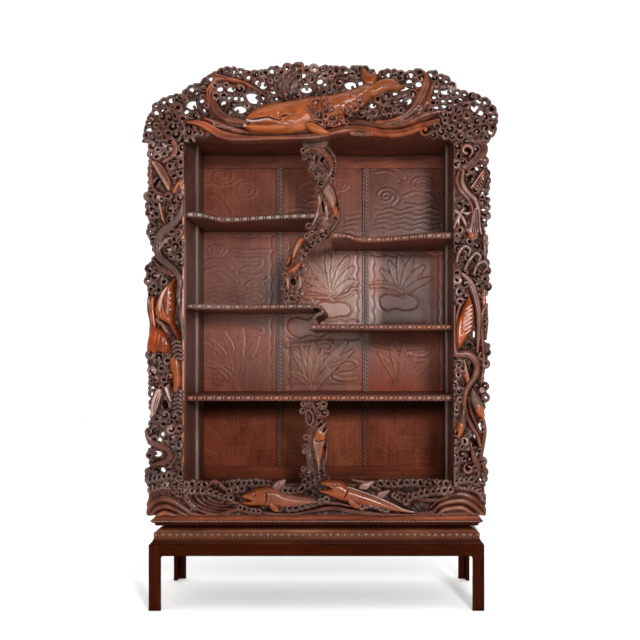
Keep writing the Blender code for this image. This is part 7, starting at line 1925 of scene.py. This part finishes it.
STAND = ((0.011, 0.0018, 0.0006), (0.028, 0.0046, 0.0011), (0.052, 0.0098, 0.0028))
MOULD = ((0.034, 0.0075, 0.0038), (0.092, 0.0220, 0.0110), (0.160, 0.0450, 0.0245))
CASE = ((0.027, 0.0098, 0.0068), (0.082, 0.0330, 0.0235), (0.145, 0.0640, 0.0480))
BOARD = ((0.032, 0.0080, 0.0046), (0.092, 0.0245, 0.0135), (0.160, 0.0500, 0.0300))
stand_mat = {a: wood("stand_wood_" + a, a, *STAND, rough=(0.30, 0.46), spec=0.012) for a in "XYZ"}
apron_mat = {a: wood("apron_wood_" + a, a, *[tuple(c * k for c, k in zip(t, (0.88, 0.80, 0.55))) for t in STAND], rough=(0.30, 0.46), spec=0.012) for a in "XY"}
# moulding bands: painted shade under the nose; rail bands: painted shadow along the top, under the moulding's overhang,
# and darker low down
mould_mat = {a: wood("moulding_wood_" + a, a, *[tuple(c * k for c, k in zip(t, (2.15, 2.35, 2.5))) for t in MOULD], rough=(0.30, 0.46), spec=0.03, reach=0.03, bands=[(0.0, (0.10, 0.05, 0.03)), (0.40, (0.16, 0.10, 0.08)), (0.56, (0.36, 0.34, 0.32)), (0.68, (1.0, 1.0, 1.0)), (1.0, (0.92, 0.90, 0.86))]) for a in "XY"}
rail_mat = {a: wood("rail_wood_" + a, a, *[tuple(c * k for c, k in zip(t, (1.58, 2.30, 2.60))) for t in MOULD], rough=(0.30, 0.46), spec=0.05, reach=0.03, bands=[(0.0, (0.26, 0.13, 0.08)), (0.24, (0.22, 0.12, 0.08)), (0.33, (0.56, 0.46, 0.38)), (0.64, (0.54, 0.44, 0.36)), (0.72, (0.98, 1.04, 1.08)), (0.79, (1.02, 1.12, 1.20)), (0.85, (0.66, 0.46, 0.36)), (0.91, (0.36, 0.19, 0.12)), (1.0, (0.34, 0.17, 0.10))]) for a in "XY"}
low_mat = wood("lower_back_wood", "X", (0.040, 0.0090, 0.0045), (0.102, 0.0230, 0.0110), (0.140, 0.0360, 0.0180), rough=(0.40, 0.60), spec=0.03)
high_mat = wood("upper_back_wood", "X", (0.060, 0.0170, 0.0105), (0.138, 0.0410, 0.0255), (0.172, 0.0570, 0.0370), rough=(0.40, 0.60), spec=0.06)
case_mat = {a: wood("case_wood_" + a, a, *CASE, spec=0.16) for a in "XYZ"}
board_mat = {a: wood("board_wood_" + a, a, *BOARD, rough=(0.32, 0.55), spec=0.12) for a in "XYZ"}
carved_mat = carved("carved_wood", rough=(0.17, 0.34), spec=0.25, gain=0.22)
figure_mat = carved("figure_wood", rough=(0.17, 0.28), spec=0.16, axis="X", gain=0.16, coat=0.05)
panel_mat = carved("panel_wood", rough=(0.27, 0.42), axis="Z", gain=0.26, shine=[(0.0, 0.03), (0.27, 0.04), (0.33, 0.16), (0.48, 0.27), (0.66, 0.27), (0.76, 0.14), (1.0, 0.08)])
trim_mat = carved("trim_wood", rough=(0.20, 0.36), spec=0.32, axis="X", gain=0.25)
batten_mat = wood("batten_wood", "Z", (0.070, 0.0380, 0.0310), (0.250, 0.1520, 0.1320), (0.360, 0.2400, 0.2120), spec=0.20)

for name, obj in NODES.items():
    side = name.endswith(("_left", "_right"))
    if name.startswith("leg"):
        mat, width = stand_mat["Z"], 0.0022
    elif name.startswith("apron"):
        mat, width = apron_mat["Y" if side else "X"], 0.0018
    elif name == "back_rail_top":
        mat, width = high_mat, 0.0015
    elif name == "back_rail_bottom":
        mat, width = low_mat, 0.0015
    elif name.startswith("stand_rail"):
        mat, width = rail_mat["Y" if side else "X"], 0.0010
    elif name.startswith("stand_top_moulding"):
        mat, width = mould_mat["Y" if side else "X"], 0.0010
    elif name.startswith(("waist", "stand_top_panel", "dowel")):
        mat, width = stand_mat["Z" if name.startswith("dowel") else "X"], 0.0008
    elif name.startswith(("shelf", "floor_board", "top_board", "back_rail")):
        mat, width = board_mat["X"], 0.0015
    elif name.startswith("plinth"):
        mat, width = case_mat["Y" if side else "X"], 0.0015
    elif name.startswith("side_batten"):
        mat, width = batten_mat, 0.0015
    else:
        mat, width = case_mat["Z"], 0.0015
    dress(obj, mat)
    bevel = obj.modifiers.new("worn_edges", "BEVEL")
    bevel.width = width
    bevel.segments = 2
    bevel.limit_method = "ANGLE"
    bevel.angle_limit = math.radians(38)
    bevel.use_clamp_overlap = True
    bevel.harden_normals = False

for obj in CARVED:
    dress(obj, figure_mat if any(w in obj.name for w in ("whale", "dolphin", "fish")) else carved_mat)
for obj in PANELS:
    dress(obj, panel_mat)
for obj in TRIM:
    dress(obj, trim_mat)
# ---------------------------------------------------------------- floor and light
bpy.context.scene.view_settings.view_transform = "Standard"
world = bpy.data.worlds.new("studio")
bpy.context.scene.world = world
world.use_nodes = True
wt = world.node_tree
bg = wt.nodes["Background"]
bg.inputs["Color"].default_value = (1, 1, 1, 1)
# a white sweep behind and overhead, a dimmer room in front
direction = wt.nodes.new("ShaderNodeTexCoord")
split = wt.nodes.new("ShaderNodeSeparateXYZ")
wt.links.new(direction.outputs["Generated"], split.inputs["Vector"])
lift = wt.nodes.new("ShaderNodeMath")
lift.operation = "MULTIPLY_ADD"
lift.inputs[1].default_value = 0.9
wt.links.new(split.outputs["Z"], lift.inputs[0])
wt.links.new(split.outputs["Y"], lift.inputs[2])
rows = wt.nodes.new("ShaderNodeMapRange")
rows.interpolation_type = "SMOOTHSTEP"
rows.inputs[1].default_value, rows.inputs[2].default_value = -0.60, 0.35
rows.inputs[3].default_value, rows.inputs[4].default_value = 0.20, 1.16
wt.links.new(lift.outputs[0], rows.inputs[0])
wt.links.new(rows.outputs[0], bg.inputs["Strength"])


def lamp(name, place, target, size, power, tone=(1.0, 1.0, 1.0)):
    data = bpy.data.lights.new(name, "AREA")
    data.shape = "RECTANGLE"
    data.size, data.size_y = size
    data.energy = power
    data.color = tone
    obj = bpy.data.objects.new(name, data)
    obj.location = place
    d = np.array(target, float) - np.array(place, float)
    obj.rotation_euler = (math.acos(-d[2] / np.linalg.norm(d)), 0, math.atan2(d[1], d[0]) - math.pi / 2)
    bpy.context.scene.collection.objects.link(obj)
    return obj


lamp("key", (1.35, -4.3, 1.98), (0, 0, 1.15), (0.60, 0.60), 185, (1.0, 0.98, 0.95))
lamp("front", (0.0, -3.75, 1.50), (0, 0, 1.15), (1.2, 0.9), 52)
lamp("overhead", (0.6, -0.6, 4.6), (0.1, 0.0, 0.0), (2.4, 2.0), 35)
lamp("back", (0.6, 3.6, 3.0), (0, 0, 1.1), (2.4, 2.0), 12)

mesh = bpy.data.meshes.new("floor")
mesh.from_pydata([(-9, -9, 0), (9, -9, 0), (9, 9, 0), (-9, 9, 0)], [], [(0, 1, 2, 3)])
floor = bpy.data.objects.new("floor", mesh)
bpy.context.scene.collection.objects.link(floor)
s = Shade("floor_paper")
s.link(s.ramp(s.noise(3.0, (1, 1, 1), 3.0, 0.5), [(0.3, 0.935), (0.7, 0.955)]), s.bsdf.inputs["Base Color"])
s.bsdf.inputs["Roughness"].default_value = 0.6
s.bsdf.inputs["Specular IOR Level"].default_value = 0.2
floor.data.materials.append(s.mat)
